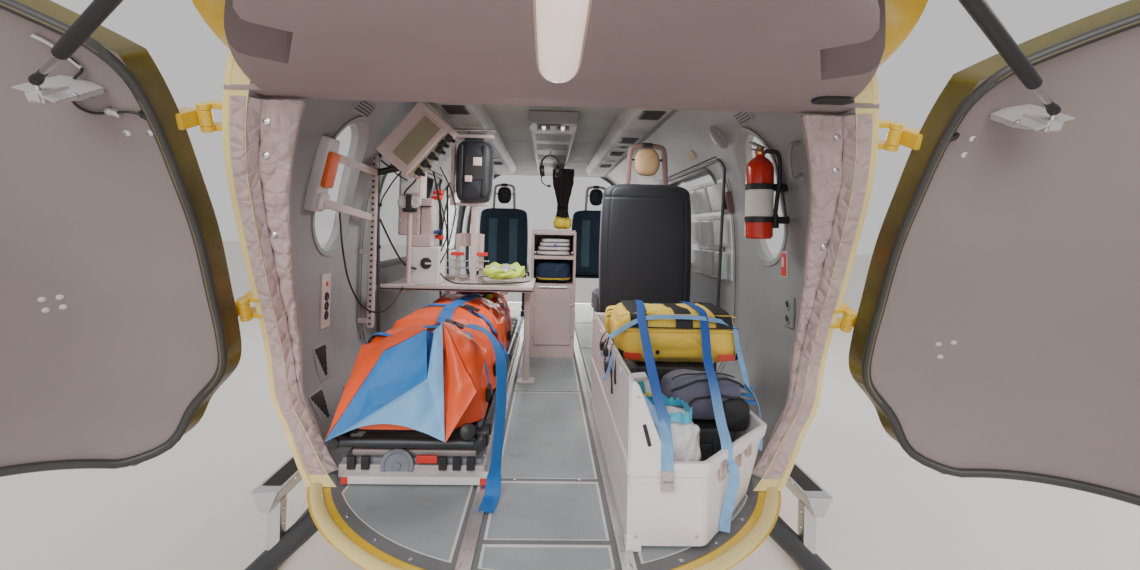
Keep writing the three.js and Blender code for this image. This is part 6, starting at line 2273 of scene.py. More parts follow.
# The lining's blue comes in three copies: plain blue for the lit panels, then a half shade and a
# deep shade, both painted shade of the open foot end.
LINING_BLUE = Finish("lining_blue", (0.20, 0.47, 0.80), 0.5, grain=Grain.WOVEN, grain_size=2.2,
                     depth=0.08, drift=0.1)
LINING_DEEP_SHADE = Finish("lining_shade", (0.012, 0.06, 0.22), 0.6, grain=Grain.WOVEN, grain_size=2.2,
                     depth=0.08, drift=0.1)
LINING_HALF_SHADE = Finish("lining_turned", (0.02, 0.20, 0.55), 0.55, grain=Grain.WOVEN, grain_size=2.2,
                    depth=0.08, drift=0.1)
STRAP_BLUE = Finish("strap_blue", (0.015, 0.15, 0.47), 0.6, grain=Grain.WOVEN, grain_size=2.4,
                    depth=0.15, drift=0.08)
STRAP_BLACK = Finish("strap_black", (0.02, 0.02, 0.025), 0.65, grain=Grain.WOVEN, grain_size=2.4,
                     depth=0.15)
VEST_RED = Finish("vest_red", (0.62, 0.035, 0.03), 0.7, sheen=0.2, grain=Grain.WOVEN,
                  grain_size=2.2, depth=0.08)
VEST_LIME = Finish("vest_lime", (0.55, 0.72, 0.06), 0.7, sheen=0.2, grain=Grain.WOVEN,
                   grain_size=2.2, depth=0.08)
REFLECT = Finish("reflecting_tape", (0.62, 0.62, 0.60), 0.3, metallic=0.3, depth=0.02)
HANDLE_ORANGE = Finish("handle_orange", (0.78, 0.14, 0.03), 0.35, coat=0.3, depth=0.02)
PALE_PLATE = Finish("pale_plate", (0.50, 0.44, 0.43), 0.45, metallic=0.2, grain=Grain.PEBBLED,
                    depth=0.05, soil=0.2)
WHITE_LIP = Finish("white_lip", (0.74, 0.72, 0.71), 0.4, depth=0.03, soil=0.2)
TAG_RED = Finish("tag_red", (0.70, 0.04, 0.03), 0.4, depth=0.01)


@dataclass
class StretcherBag:
    """Orange bag on the stretcher's deck, its foot end open so that the blue lining shows."""

    centre_x: float = -400.0
    deck: float = 160.3
    rows: Sequence[tuple[float, float, float]] = ((1440, 240, 125), (1520, 345, 205),
                                                  (1640, 402, 212), (2300, 405, 206),
                                                  (2950, 378, 192), (3080, 240, 150))

    def surface(self, station: Array, phi: Array, out: float = 0.0) -> Array:
        """Points of the bag's skin at stations along it and angles round it from its right edge."""
        station, phi = np.broadcast_arrays(np.asarray(station, float), np.asarray(phi, float))
        table = np.asarray(self.rows, float).T
        top = np.interp(station, table[0], table[1])
        half = np.interp(station, table[0], table[2])
        c, s = np.cos(phi), np.sin(phi)
        flat = np.stack([self.centre_x + c * 200, station, s * 200], -1)
        wave = ripple(flat, 210.0, 0.7) * 13 + ripple(flat, 95.0, 2.1) * 6
        ridge = 16 * np.exp(-((phi - 1.9 - 0.3 * np.sin(station / 200)) / 0.16) ** 2)
        reach = 1 + (wave + ridge + out) / 210
        x = self.centre_x + half * np.sign(c) * np.abs(c) ** 0.72 * reach
        rise = (top - self.deck) * np.clip(s, 0, 1) ** 0.78 * reach
        x = np.clip(x, self.centre_x - 214, self.centre_x + 214)
        height = self.deck + np.clip(rise, 0, 250) + np.clip(out, 0, 9) * (s > 0.02)
        return np.stack([x, station, height], -1)

    def skin(self) -> Shape:
        """The closed bag."""
        station = 1440 + 1640 * (0.5 - 0.5 * np.cos(np.linspace(0, np.pi, 130)))[:, None]
        phi = np.concatenate([np.linspace(0, np.pi, 90), np.linspace(np.pi, 2 * np.pi, 20)[1:-1]])
        return Shape().grid(self.surface(station, phi[None]), around=True, caps=True)

    def front(self, points: Array) -> Array:
        """Station where the skin first covers each point, seen from behind; far if nowhere."""
        station = np.linspace(1440, 1700, 90)
        skin = self.surface(station[:, None], np.linspace(np.pi, 0, 90)[None])
        tops = np.stack([np.interp(points[..., 0], row[:, 0], row[:, 2], left=0, right=0)
                         for row in skin])
        tops = np.maximum.accumulate(tops, axis=0)
        covered = tops >= points[..., 2]
        first = np.argmax(covered, axis=0)
        here, below = (np.take_along_axis(tops, np.maximum(first - k, 0)[None], 0)[0]
                       for k in (0, 1))
        share = np.clip((points[..., 2] - below) / np.maximum(here - below, 0.01), 0, 1)
        step = station[1] - station[0]
        return np.where(covered.any(0), station[first] - step * (1 - share) * (first > 0), 9999.0)

    def panel(self, shape: Shape, corners: Sequence[Sequence[float]], puff: Sequence[float],
              arch: float, paint: int) -> None:
        """Adds a curved sheet between four corners, kept in front of the bag's skin."""
        a, b, c, d = (np.array(corner, float) for corner in corners)
        u, v = (g[..., None] for g in np.meshgrid(np.linspace(0, 1, 40), np.linspace(0, 1, 40),
                                                  indexing="ij"))
        sheet = (1 - u) * (1 - v) * a + u * (1 - v) * b + u * v * c + (1 - u) * v * d
        sheet = sheet + np.sin(np.pi * u) * np.sin(np.pi * v) * np.array(puff, float)
        sheet = sheet + np.sin(np.pi * u) * (1 - v) * (0.0, -0.25 * arch, arch)
        sheet = sheet + ripple(sheet, 90.0, 3.0)[..., None] * (1.0, -3.0, 2.0)
        sheet[..., 1] = np.minimum(sheet[..., 1], self.front(sheet) - 7.0)
        shape.shell(sheet, sheet + (0.0, 2.6, -0.8), (paint, paint, paint))

    def lining(self) -> Shape:
        """The blue inside of the open foot end: two lit panels, one panel in painted half shade and
        a hollow in painted deep shade.
        """
        shape = Shape()
        low_left, low_right, deep = (-612, 1412, 134), (-283, 1404, 142), (-346, 1452, 300)
        peak_left, peak_right = (-368, 1520, 426), (-320, 1512, 450)
        self.panel(shape, (low_left, low_right, deep, deep), (0, -10, 8), 56, 0)
        self.panel(shape, (low_left, deep, peak_left, (-482, 1486, 366)), (0, 8, -6), 0, 2)
        self.panel(shape, (low_right, peak_right, (-345, 1506, 424), deep), (-6, -10, 0), 0, 0)
        self.panel(shape, (deep, (-343, 1500, 420), peak_left, (-372, 1474, 330)), (0, 16, 0), 0, 1)
        return shape

    def flaps(self) -> Shape:
        """The orange outside of the open foot end, folded out to both sides."""
        shape = Shape()
        self.panel(shape, ((-606, 1446, 170), (-614, 1416, 136), (-482, 1488, 368),
                           (-586, 1600, 356)), (-8, -6, 6), 0, 0)
        self.panel(shape, ((-586, 1600, 356), (-482, 1488, 368), (-366, 1522, 428),
                           (-420, 1645, 414)), (0, 0, 10), 0, 0)
        self.panel(shape, ((-318, 1510, 452), (-204, 1440, 270), (-281, 1400, 140),
                           (-290, 1470, 300)), (12, -12, 6), 0, 0)
        self.panel(shape, ((-318, 1514, 452), (-300, 1645, 414), (-196, 1600, 350),
                           (-202, 1444, 272)), (6, -6, 8), 0, 0)
        return shape

    def straps(self) -> Shape:
        """Blue straps across the bag and along it, with buckles, and black loops at its sides."""
        shape = Shape()
        for station, turn in ((1640.0, 0.12), (2080.0, -0.05), (2620.0, 0.05)):
            phi = np.linspace(0.06, np.pi - 0.06, 60)
            level = station + turn * 300 * np.cos(phi)
            path = self.surface(level, phi, 4.0)
            normal = unit(self.surface(level, phi, 12.0) - path + (0, 0, 1e-6))
            shape.grid(sweep(path, slab_profile(44, 2.6), normal), around=True, caps=True)
            here = self.surface(np.array(level[24]), np.array(phi[24]), 9.0)
            buckle(shape, here, (0.35, 0, 1), (1, turn, -0.3), (62, 46), 1)
        station = np.linspace(1650.0, 2900, 90)
        phi = 1.42 + 0.14 * np.sin(station / 260)
        path = self.surface(station, phi, 5.0)
        normal = unit(self.surface(station, phi, 13.0) - path + (0, 0, 1e-6))
        shape.grid(sweep(path, slab_profile(46, 2.6), normal), around=True, caps=True)
        for k, station in enumerate((1585.0, 1820.0, 2340.0)):
            for phi in (0.16, np.pi - 0.16):
                here = self.surface(np.array(station + 30 * k), np.array(phi), 6.0)
                side = 1 if phi < 1 else -1
                shape.block(here, (12, 58, 44), 6, None, 1)
                shape.rod(here + (side * 4, -26, 16), here + (side * 4, 30, -18), 5, 12, 1)
        return shape

    def hanging_strap(self) -> Shape:
        """The blue strap that hangs over the right side down to the floor."""
        knots = [(-262, 1632, 420), (-205, 1592, 410), (-172, 1550, 392), (-148, 1500, 362),
                 (-138, 1464, 320), (-135, 1440, 240), (-138, 1420, 150), (-144, 1396, 60),
                 (-148, 1376, 14), (-153, 1345, 5.5), (-157, 1312, 5.0)]
        path = smooth_path(np.array(knots, float), 60)
        lean = np.linspace(0, 1, 60)[:, None]
        up = unit((1 - lean) * np.array([0.75, -0.5, 0.5]) + lean * np.array([0.75, -0.5, 0.55]))
        up[-18:] = unit(np.array([0.1, 0.05, 1.0]))
        turn = np.clip((np.arange(60) - 34) / 10, 0, 1)[:, None]
        up = unit(up * (1 - turn) + np.array([0.12, 0.2, 1.0]) * turn)
        return Shape().grid(sweep(path, slab_profile(42, 2.4), up), around=True, caps=True)

    def vest(self) -> Shape:
        """Red and orange vest folded behind the bag, with yellow, white and green bits."""
        form = SoftForm((-372, 2800, 400), (300, 420, 96), "Y", 2.6, 3.0, 16.0, 130.0, 4.0)
        shape = form.skin(60, 80)
        form.band(shape, [-0.7, 0.1, 0.8], [-0.5, 0.35, 0.0], 46, 1)
        form.band(shape, [-0.2, -0.2], [-1.2, 1.2], 34, 2)
        for x, station, high, paint in ((-300, 2540, 396, 2), (-270, 2575, 402, 1),
                                        (-250, 2600, 398, 3)):
            shape.block((x, station, high - 6), (34, 46, 22), 7, paint=paint)
        return shape

    def dress(self) -> None:
        """Makes the bag's pieces."""
        bag = put("folded_bag", self.skin(), Outfit((BAG_ORANGE,), ROOT, ("stretcher_bag",),
                                                    "orange_fabric", crease=75, flat=False))
        lining = put("bag_lining", self.lining(), Outfit((LINING_BLUE, LINING_DEEP_SHADE, LINING_HALF_SHADE),
                                                         ROOT, crease=75, flat=False))
        flaps = put("bag_flaps", self.flaps(), Outfit((BAG_ORANGE,), ROOT, crease=75, flat=False))
        put("bag_straps", self.straps(), Outfit((STRAP_BLUE, STRAP_BLACK), ROOT, crease=60))
        strap = put("hanging_strap", self.hanging_strap(), Outfit((STRAP_BLUE,), ROOT, crease=60))
        vest = put("folded_vest", self.vest(), Outfit((VEST_RED, HANDLE_ORANGE, VEST_LIME, REFLECT),
                                                      ROOT, crease=75, flat=False))


@dataclass
class Stretcher:
    """Stretcher frame with its handles, and the base plate that it is locked on."""

    left: float = -600.0
    right: float = -195.0
    height: float = 118.0

    def frame(self) -> Shape:
        """Side rails, cross bars, deck slats, feet, wheels and locks."""
        shape = Shape()
        for x in (self.left, self.right):
            shape.rod((x, 1446, self.height), (x, 3346, self.height), 16, 24, 0)
            for station in (1448, 3344):
                shape.lathe((x, station, self.height), (0, 1 if station > 2000 else -1, 0),
                            [(-6, 17), (2, 17.5), (8, 15), (10, 0.3)], 22, 1)
            for station in (1900, 2420, 2940):
                shape.lathe((x, station, self.height), (0, 1, 0), [(0, 16.5), (1, 19), (44, 19),
                                                                   (45, 16.5)], 22, 1)
        for station in (1456, 2100, 2750, 3334):
            shape.rod((self.left, station, self.height), (self.right, station, self.height), 14,
                      20, 0)
        for station in np.arange(1530, 3280, 120.0):
            shape.span((self.left + 4, station, 128), (self.right - 4, station + 96, 159), 9.0, 2)
        shape.span((self.left + 14, 1506, 126), (self.right - 14, 3294, 150), 5.0, 1)
        for station in (1700, 3000):
            for x in (-560, -235):
                shape.span((x - 18, station - 58, 80.5), (x + 18, station + 58, 112), 6.0, 1)
                shape.rod((x - 22, station, 100), (x + 22, station, 100), 12, 20, 3)
        for x in (self.left, self.right):
            for station in (1500, 1580):
                shape.block((x, station, self.height - 2), (44, 34, 42), 8, paint=1)
        shape.lathe((-232, 1462, 150), (0.2, -0.9, 0.3),
                    [(0, 8), (14, 8), (18, 20), (26, 23), (36, 20), (40, 10), (41, 0.3)], 26, 1)
        return shape

    def handles(self) -> Shape:
        """Orange upright handles at both sides."""
        shape = Shape()
        for x in (self.left + 6, self.right - 4):
            for station in (2060.0, 2180.0):
                knots = [(x, station, 120), (x, station, 210), (x, station - 6, 300),
                         (x, station - 16, 352)]
                shape.tube(smooth_path(np.array(knots, float), 24), 9.0, 16)
            shape.rod((x, 2044, 346), (x, 2166, 346), 10, 16)
            shape.block((x, 2120, 200), (16, 130, 14), 5, paint=1)
        return shape

    def base(self) -> Shape:
        """The base: stepped metal plates, a round dish, the white lip and red markers."""
        shape = Shape()
        shape.span((-598, 1475, 6.4), (-180, 3300, 46), 5.0, 0)
        shape.span((-590, 1484, 46), (-188, 3292, 62), 4.0, 1)
        for low, high in ((1500, 2050), (2075, 2650), (2675, 3280)):
            shape.span((-570, low, 60), (-208, high, 79), 7.0, 0)
        shape.span((-575, 1440, 6.4), (-170, 1480, 29), 4.0, 2)
        for x in (-566, -180):
            shape.block((x, 1439, 18), (18, 4, 20), 1.5, paint=3)
        shape.lathe((-430, 1474, 44), (0, -1, 0.15), [(-8, 46), (0, 48), (4, 47), (5, 38), (1, 34),
                                                      (1, 12), (5, 10), (5, 0.3)], 40, 1)
        for x in (-560, -520, -300, -260, -220):
            shape.span((x - 12, 1467, 34), (x + 12, 1478, 72), 3.0, 4)
        for x in (-590, -190):
            for station in np.arange(1540, 3280, 145.0):
                fastener(shape, (x, station, 46), (0, 0, 1), 5.0, 5)
        shape.block((-345, 1470, 66), (60, 10, 22), 3, paint=3)
        return shape

    def dress(self) -> None:
        """Makes the stretcher's pieces."""
        put("stretcher_frame", self.frame(), Outfit((DARK_METAL, BLACK_PLASTIC, SEAT_EDGE, STEEL),
                                                    ROOT, ("stretcher",), "dark_metal"))
        put("stretcher_handles", self.handles(), Outfit((HANDLE_ORANGE, BLACK_PLASTIC), ROOT))
        put("stretcher_track_base", self.base(), Outfit(
            (PALE_PLATE, SEAT_EDGE, WHITE_LIP, TAG_RED, BLACK_PLASTIC, STEEL), ROOT,
            ("stretcher_base",), "pale_metal"))


# Medical equipment, cabinet, curtain and wall fittings

PINK_PALE = Finish("equipment_pale", (0.60, 0.47, 0.45), 0.45, grain=Grain.PEBBLED, depth=0.04,
                   drift=0.05, soil=0.14)
SHELF_PALE = Finish("shelf_pale", (0.62, 0.53, 0.51), 0.4, grain=Grain.PEBBLED, depth=0.04,
                    soil=0.2)
SCREEN = Finish("screen_grey", (0.30, 0.28, 0.19), 0.25, coat=0.4, depth=0.01)
CASE_WHITE = Finish("case_white", (0.70, 0.68, 0.68), 0.4, grain=Grain.PEBBLED, depth=0.03,
                    soil=0.12)
PORT_BLUE = Finish("port_blue", (0.05, 0.16, 0.45), 0.4, coat=0.2, depth=0.01)
CLOTH_WHITE = Finish("cloth_white", (0.66, 0.64, 0.66), 0.85, sheen=0.3, grain=Grain.WOVEN,
                     grain_size=1.8, depth=0.08)
CLOTH_NAVY = Finish("cloth_navy", (0.012, 0.03, 0.075), 0.75, grain=Grain.WOVEN, grain_size=2.2,
                    depth=0.08)
TAPE_YELLOW = Finish("tape_yellow", (0.80, 0.62, 0.04), 0.5, depth=0.01)
DRAPE = Finish("curtain_cloth", (0.055, 0.035, 0.045), 0.9, sheen=0.4, grain=Grain.WOVEN,
               grain_size=2.0, depth=0.1)
BOTTLE_RED = Finish("bottle_red", (0.62, 0.028, 0.016), 0.25, coat=0.6, depth=0.02)
LABEL_WHITE = Finish("band_white", (0.78, 0.76, 0.72), 0.45, depth=0.01, soil=0.15)
BRASS = Finish("valve_brass", (0.60, 0.42, 0.17), 0.3, metallic=1.0, depth=0.02)
POCKET = ClearFinish("pocket_sheet", (0.75, 0.80, 0.80), 0.45, 0.12)
TEAL = Finish("teal_item", (0.03, 0.30, 0.32), 0.5, depth=0.02)
CABLE_BLACK = Finish("cable_black", (0.02, 0.02, 0.022), 0.5, depth=0.01)


@dataclass
class EquipmentRack:
    """Shelf, upright rail, posts and devices on the left wall."""

    def shelf(self) -> Shape:
        """Shelf tray with a lip, its leg, rail with adjusting holes, and tie bars."""
        shape = Shape()
        shape.span((-744, 2201, 455), (-71, 2619, 468), 3.0)
        shape.span((-744, 2201, 455), (-71, 2209, 480), 3.0)
        shape.span((-79, 2201, 455), (-71, 2619, 480), 3.0)
        shape.span((-744, 2611, 455), (-71, 2619, 480), 3.0)
        for x in (-640, -420, -200):
            shape.span((x - 14, 2215, 441), (x + 14, 2605, 456), 3.0)
        shape.span((-120, 2435, 0.6), (-90, 2465, 458), 5.0)
        shape.plate(rounded_outline((-105, 2450), (84, 84), 10), "z", 0.6, 7, 1.5)
        shape.span((-766, 2152, 300), (-740, 2178, 1030), 4.0)
        for height in np.arange(318, 1020, 24.0):
            shape.lathe((-753, 2151.6, height), (0, -1, 0), [(0, 5.5), (0.8, 5.0), (0.8, 0.2)], 12,
                        1)
        for height in (330, 620, 1000):
            shape.span((-806, 2157, height - 10), (-752, 2173, height + 10), 2.0)
        shape.span((-765, 2158, 455), (-738, 2217, 475), 2.0)
        shape.rod((-745, 2165, 955), (-640, 2165, 981), 14, 20, 1)
        return shape

    def posts(self) -> Shape:
        """Bag post with its L-shaped frame and hook bar, and the trestle with red bars."""
        shape = Shape()
        shape.span((-384, 2441, 470), (-356, 2469, 850), 4.0)
        shape.plate(rounded_outline((-370, 2455), (70, 70), 6), "z", 467, 474, 1.5)
        shape.span((-486, 2432, 842), (-466, 2470, 1176), 6.0)
        shape.span((-486, 2432, 1160), (-282, 2470, 1180), 6.0)
        shape.span((-486, 2432, 836), (-300, 2470, 850), 4.0)
        shape.rod((-500, 2420, 1196), (-270, 2420, 1196), 6, 14, 2)
        for x in (-480, -400, -310):
            shape.rod((x, 2420, 1196), (x, 2440, 1176), 4, 12, 2)
        for x in (-452, -338):
            shape.span((x - 11, 2490, 470), (x + 11, 2512, 700), 4.0)
            shape.plate(rounded_outline((x, 2501), (44, 40), 5), "z", 467, 474, 1.0)
            shape.span((x - 32, 2478, 594), (x + 32, 2490, 612), 3.0, 3)
        shape.span((-444, 2494, 640), (-346, 2508, 704), 3.0)
        shape.span((-430, 2486, 640), (-360, 2494, 696), 3.0)
        for height in (500, 535, 570):
            shape.rod((-500, 2484, height), (-300, 2484, height), 4, 10, 2)
        return shape

    def devices(self) -> Shape:
        """Tall pump box, twin round pump on a post, dial box and charger with their ports."""
        shape = Shape()
        shape.span((-700, 2332, 690), (-600, 2452, 1000), 8.0)
        shape.span((-598, 2336, 668), (-548, 2448, 862), 7.0)
        shape.span((-700, 2326, 820), (-548, 2336, 826), 1.0, 1)
        shape.span((-690, 2327, 880), (-612, 2334, 985), 3.0, 4)
        for height in (700, 760, 940):
            for x in (-690, -612):
                fastener(shape, (x, 2331, height), (0, -1, 0), 3.5, 2)
        shape.span((-638, 2302, 468), (-502, 2458, 640), 9.0, 4)
        shape.lathe((-560, 2302, 566), (0, -1, 0), [(0, 26), (4, 25), (6, 20), (6, 0.3)], 30, 1)
        shape.span((-563, 2292, 562), (-528, 2297, 570), 1.5, 4)
        shape.span((-636, 2304, 640), (-540, 2448, 692), 6.0, 0)
        shape.rod((-632, 2280, 476), (-632, 2280, 800), 11, 18, 0)
        shape.plate(rounded_outline((-632, 2280), (56, 56), 8), "z", 467, 476, 1.5)
        for x in (-657, -607):
            shape.lathe((x, 2262, 838), (0, -1, 0), [(-22, 20), (-18, 26), (0, 27), (4, 25),
                                                     (4, 18), (8, 17), (8, 12), (5, 11), (5, 0.3)],
                        32, 4)
        shape.span((-644, 2246, 800), (-620, 2270, 872), 5.0, 1)
        shape.span((-662, 2262, 794), (-602, 2292, 812), 5.0, 1)
        for x, height, paint in ((-528, 892, 3), (-536, 868, 3), (-530, 706, 5), (-524, 684, 3)):
            shape.lathe((x, 2390, height), (0.9, -0.4, 0),
                        [(-30, 9), (0, 9), (2, 13), (20, 13), (24, 8), (24, 0.3)], 18, paint)
        return shape

    def monitor(self) -> Shape:
        """The tilted box with a recessed screen, seen from behind and below."""
        angle = math.radians(-50)
        turn = np.array([[math.cos(angle), 0, math.sin(angle)], [0, 1, 0],
                         [-math.sin(angle), 0, math.cos(angle)]])

        def place(x: float, y: float, z: float) -> Array:
            """A point given in the tilted box's own directions from its middle."""
            return np.array([-560, 2120, 1085.0]) + turn @ np.array([x, y, z], float)

        shape = Shape()
        shape.block(place(0, 0, 0), (268, 188, 163), 9, turn, 0, 3)
        shape.block(place(0, -95, -20), (214, 5, 100), 4, turn, 0)
        shape.block(place(0, -98, -20), (196, 4, 82), 3, turn, 1)
        shape.block(place(-20, 0, -83), (210, 160, 7), 3, turn, 1)
        for x in np.linspace(-100, 100, 11):
            shape.block(place(x, -20, 82), (7, 120, 3), 1, turn, 2)
        for x, y in ((-92, -40), (-50, -55), (-8, -48), (30, -30), (60, -58), (92, -38)):
            shape.block(place(x, y, -94), (30, 36, 26), 5, turn, 2)
            shape.rod(place(x, y, -104), place(x + 6, y - 4, -124), 7, 14, 2)
        return shape

    def breathing_bag(self) -> Shape:
        """The black rounded case in its frame, with window, clamps and hoses."""
        form = SoftForm((-374, 2459, 1000), (180, 150, 300), "Z", 3.0, 5.0, 2.0, 90.0, 1.0)
        shape = form.skin(60, 80)
        shape.plate(rounded_outline((-368, 1016), (88, 120), 16), "y", 2379, 2386, 2.0, 1)
        shape.block((-352, 2380, 1042), (42, 8, 40), 6, paint=2)
        shape.block((-392, 2378, 960), (34, 8, 30), 6, paint=2)
        shape.rod((-420, 2420, 1150), (-330, 2420, 1150), 9, 16, 1)
        for x in (-430, -320):
            shape.span((x - 9, 2380, 880), (x + 9, 2392, 1120), 3.0, 1)
        return shape

    def cables(self) -> Shape:
        """Bundled leads between monitor, pumps and rail, clipped to the devices at both ends."""
        shape = Shape()
        runs = (
            ((-610, 2150, 990), (-650, 2180, 960), (-700, 2200, 900), (-735, 2190, 820),
             (-738, 2190, 700)),
            ((-560, 2160, 975), (-600, 2230, 930), (-660, 2290, 880), (-640, 2275, 830)),
            ((-500, 2140, 960), (-500, 2230, 880), (-500, 2330, 760), (-515, 2380, 700)),
            ((-470, 2130, 980), (-450, 2260, 900), (-440, 2330, 800), (-470, 2330, 640),
             (-505, 2330, 560)),
            ((-735, 2185, 1010), (-700, 2210, 980), (-690, 2280, 960), (-660, 2322, 940)),
            ((-735, 2190, 760), (-690, 2240, 640), (-650, 2285, 560), (-600, 2296, 540)),
            ((-528, 2380, 868), (-500, 2330, 820), (-480, 2350, 700), (-500, 2330, 620)),
        )
        for k, run in enumerate(runs):
            shape.tube(smooth_path(np.array(run, float), 50), 3.2 + 0.6 * (k % 3), 10)
        for place in ((-737, 2188, 820), (-737, 2188, 640), (-505, 2330, 700)):
            shape.block(place, (20, 14, 16), 3)
        return shape

    def loop_cable(self) -> None:
        """The black lead that hangs from the wall holder in a loop up to the shelf."""
        knots = np.array([(-770, 1850, 804), (-766, 1856, 740), (-760, 1870, 640),
                          (-745, 1900, 520), (-715, 1960, 420), (-680, 2050, 385),
                          (-655, 2130, 405), (-640, 2185, 446), (-632, 2196, 470)], float)
        path = smooth_path(knots, 36)
        lead = put("wall_lead", Shape().tube(path, 3.5, 12),
                   Outfit((CABLE_BLACK,), ROOT, crease=70))
        places = [tuple(p) for p in (path + ORIGIN) / 1000.0]

    def shelf_cable(self) -> None:
        """The lead that lies along the shelf from the dial box to the trestle's bottle."""
        knots = np.array([(-500, 2330, 520), (-470, 2300, 498), (-420, 2262, 484),
                          (-340, 2240, 483.6), (-260, 2262, 483.8), (-180, 2300, 484),
                          (-120, 2360, 483.8), (-95, 2420, 483.6)], float)
        path = smooth_path(knots, 34)
        lead = put("shelf_lead", Shape().tube(path, 3.2, 12),
                   Outfit((CABLE_BLACK,), ROOT, crease=70))
        places = [tuple(p) for p in (path + ORIGIN) / 1000.0]

    def vest(self) -> None:
        """The hi-vis vest rolled on the shelf, with a tape across."""
        form = SoftForm((-215, 2420, 528), (210, 230, 92), "X", 2.6, 3.0, 13.0, 75.0, 3.0, 12.0)
        shape = form.skin(60, 80)
        form.band(shape, [-0.3, 0.1, 0.2], [0.9, 1.7, 2.9], 28, 1)
        form.band(shape, [-0.7, 0.7], [2.1, 2.4], 26, 1)
        vest = put("shelf_vest", shape, Outfit((VEST_LIME, REFLECT), ROOT, crease=75, flat=False))

    def dress(self) -> None:
        """Makes the rack's pieces."""
        put("rack_shelf", self.shelf(), Outfit((SHELF_PALE, BLACK_PLASTIC), ROOT, ("rack",),
                                               "pale_metal"))
        put("rack_posts", self.posts(), Outfit((PINK_PALE, BLACK_PLASTIC, STEEL, TAG_RED), ROOT))
        put("rack_devices", self.devices(), Outfit(
            (PINK_PALE, BLACK_PLASTIC, STEEL, TAG_RED, CASE_WHITE, PORT_BLUE), ROOT))
        put("monitor_case", self.monitor(), Outfit((PINK_PALE, SCREEN, BLACK_PLASTIC), ROOT,
                                                   ("monitor",), "pale_metal"))
        put("breathing_case", self.breathing_bag(), Outfit((SEAT_BLACK, BLACK_PLASTIC, PINK_PALE),
                                                           ROOT, ("ventilator",), "black_seat",
                                                           crease=60))
        put("rack_leads", self.cables(), Outfit((CABLE_BLACK,), ROOT, crease=70))
        self.loop_cable()
        self.shelf_cable()
        self.vest()


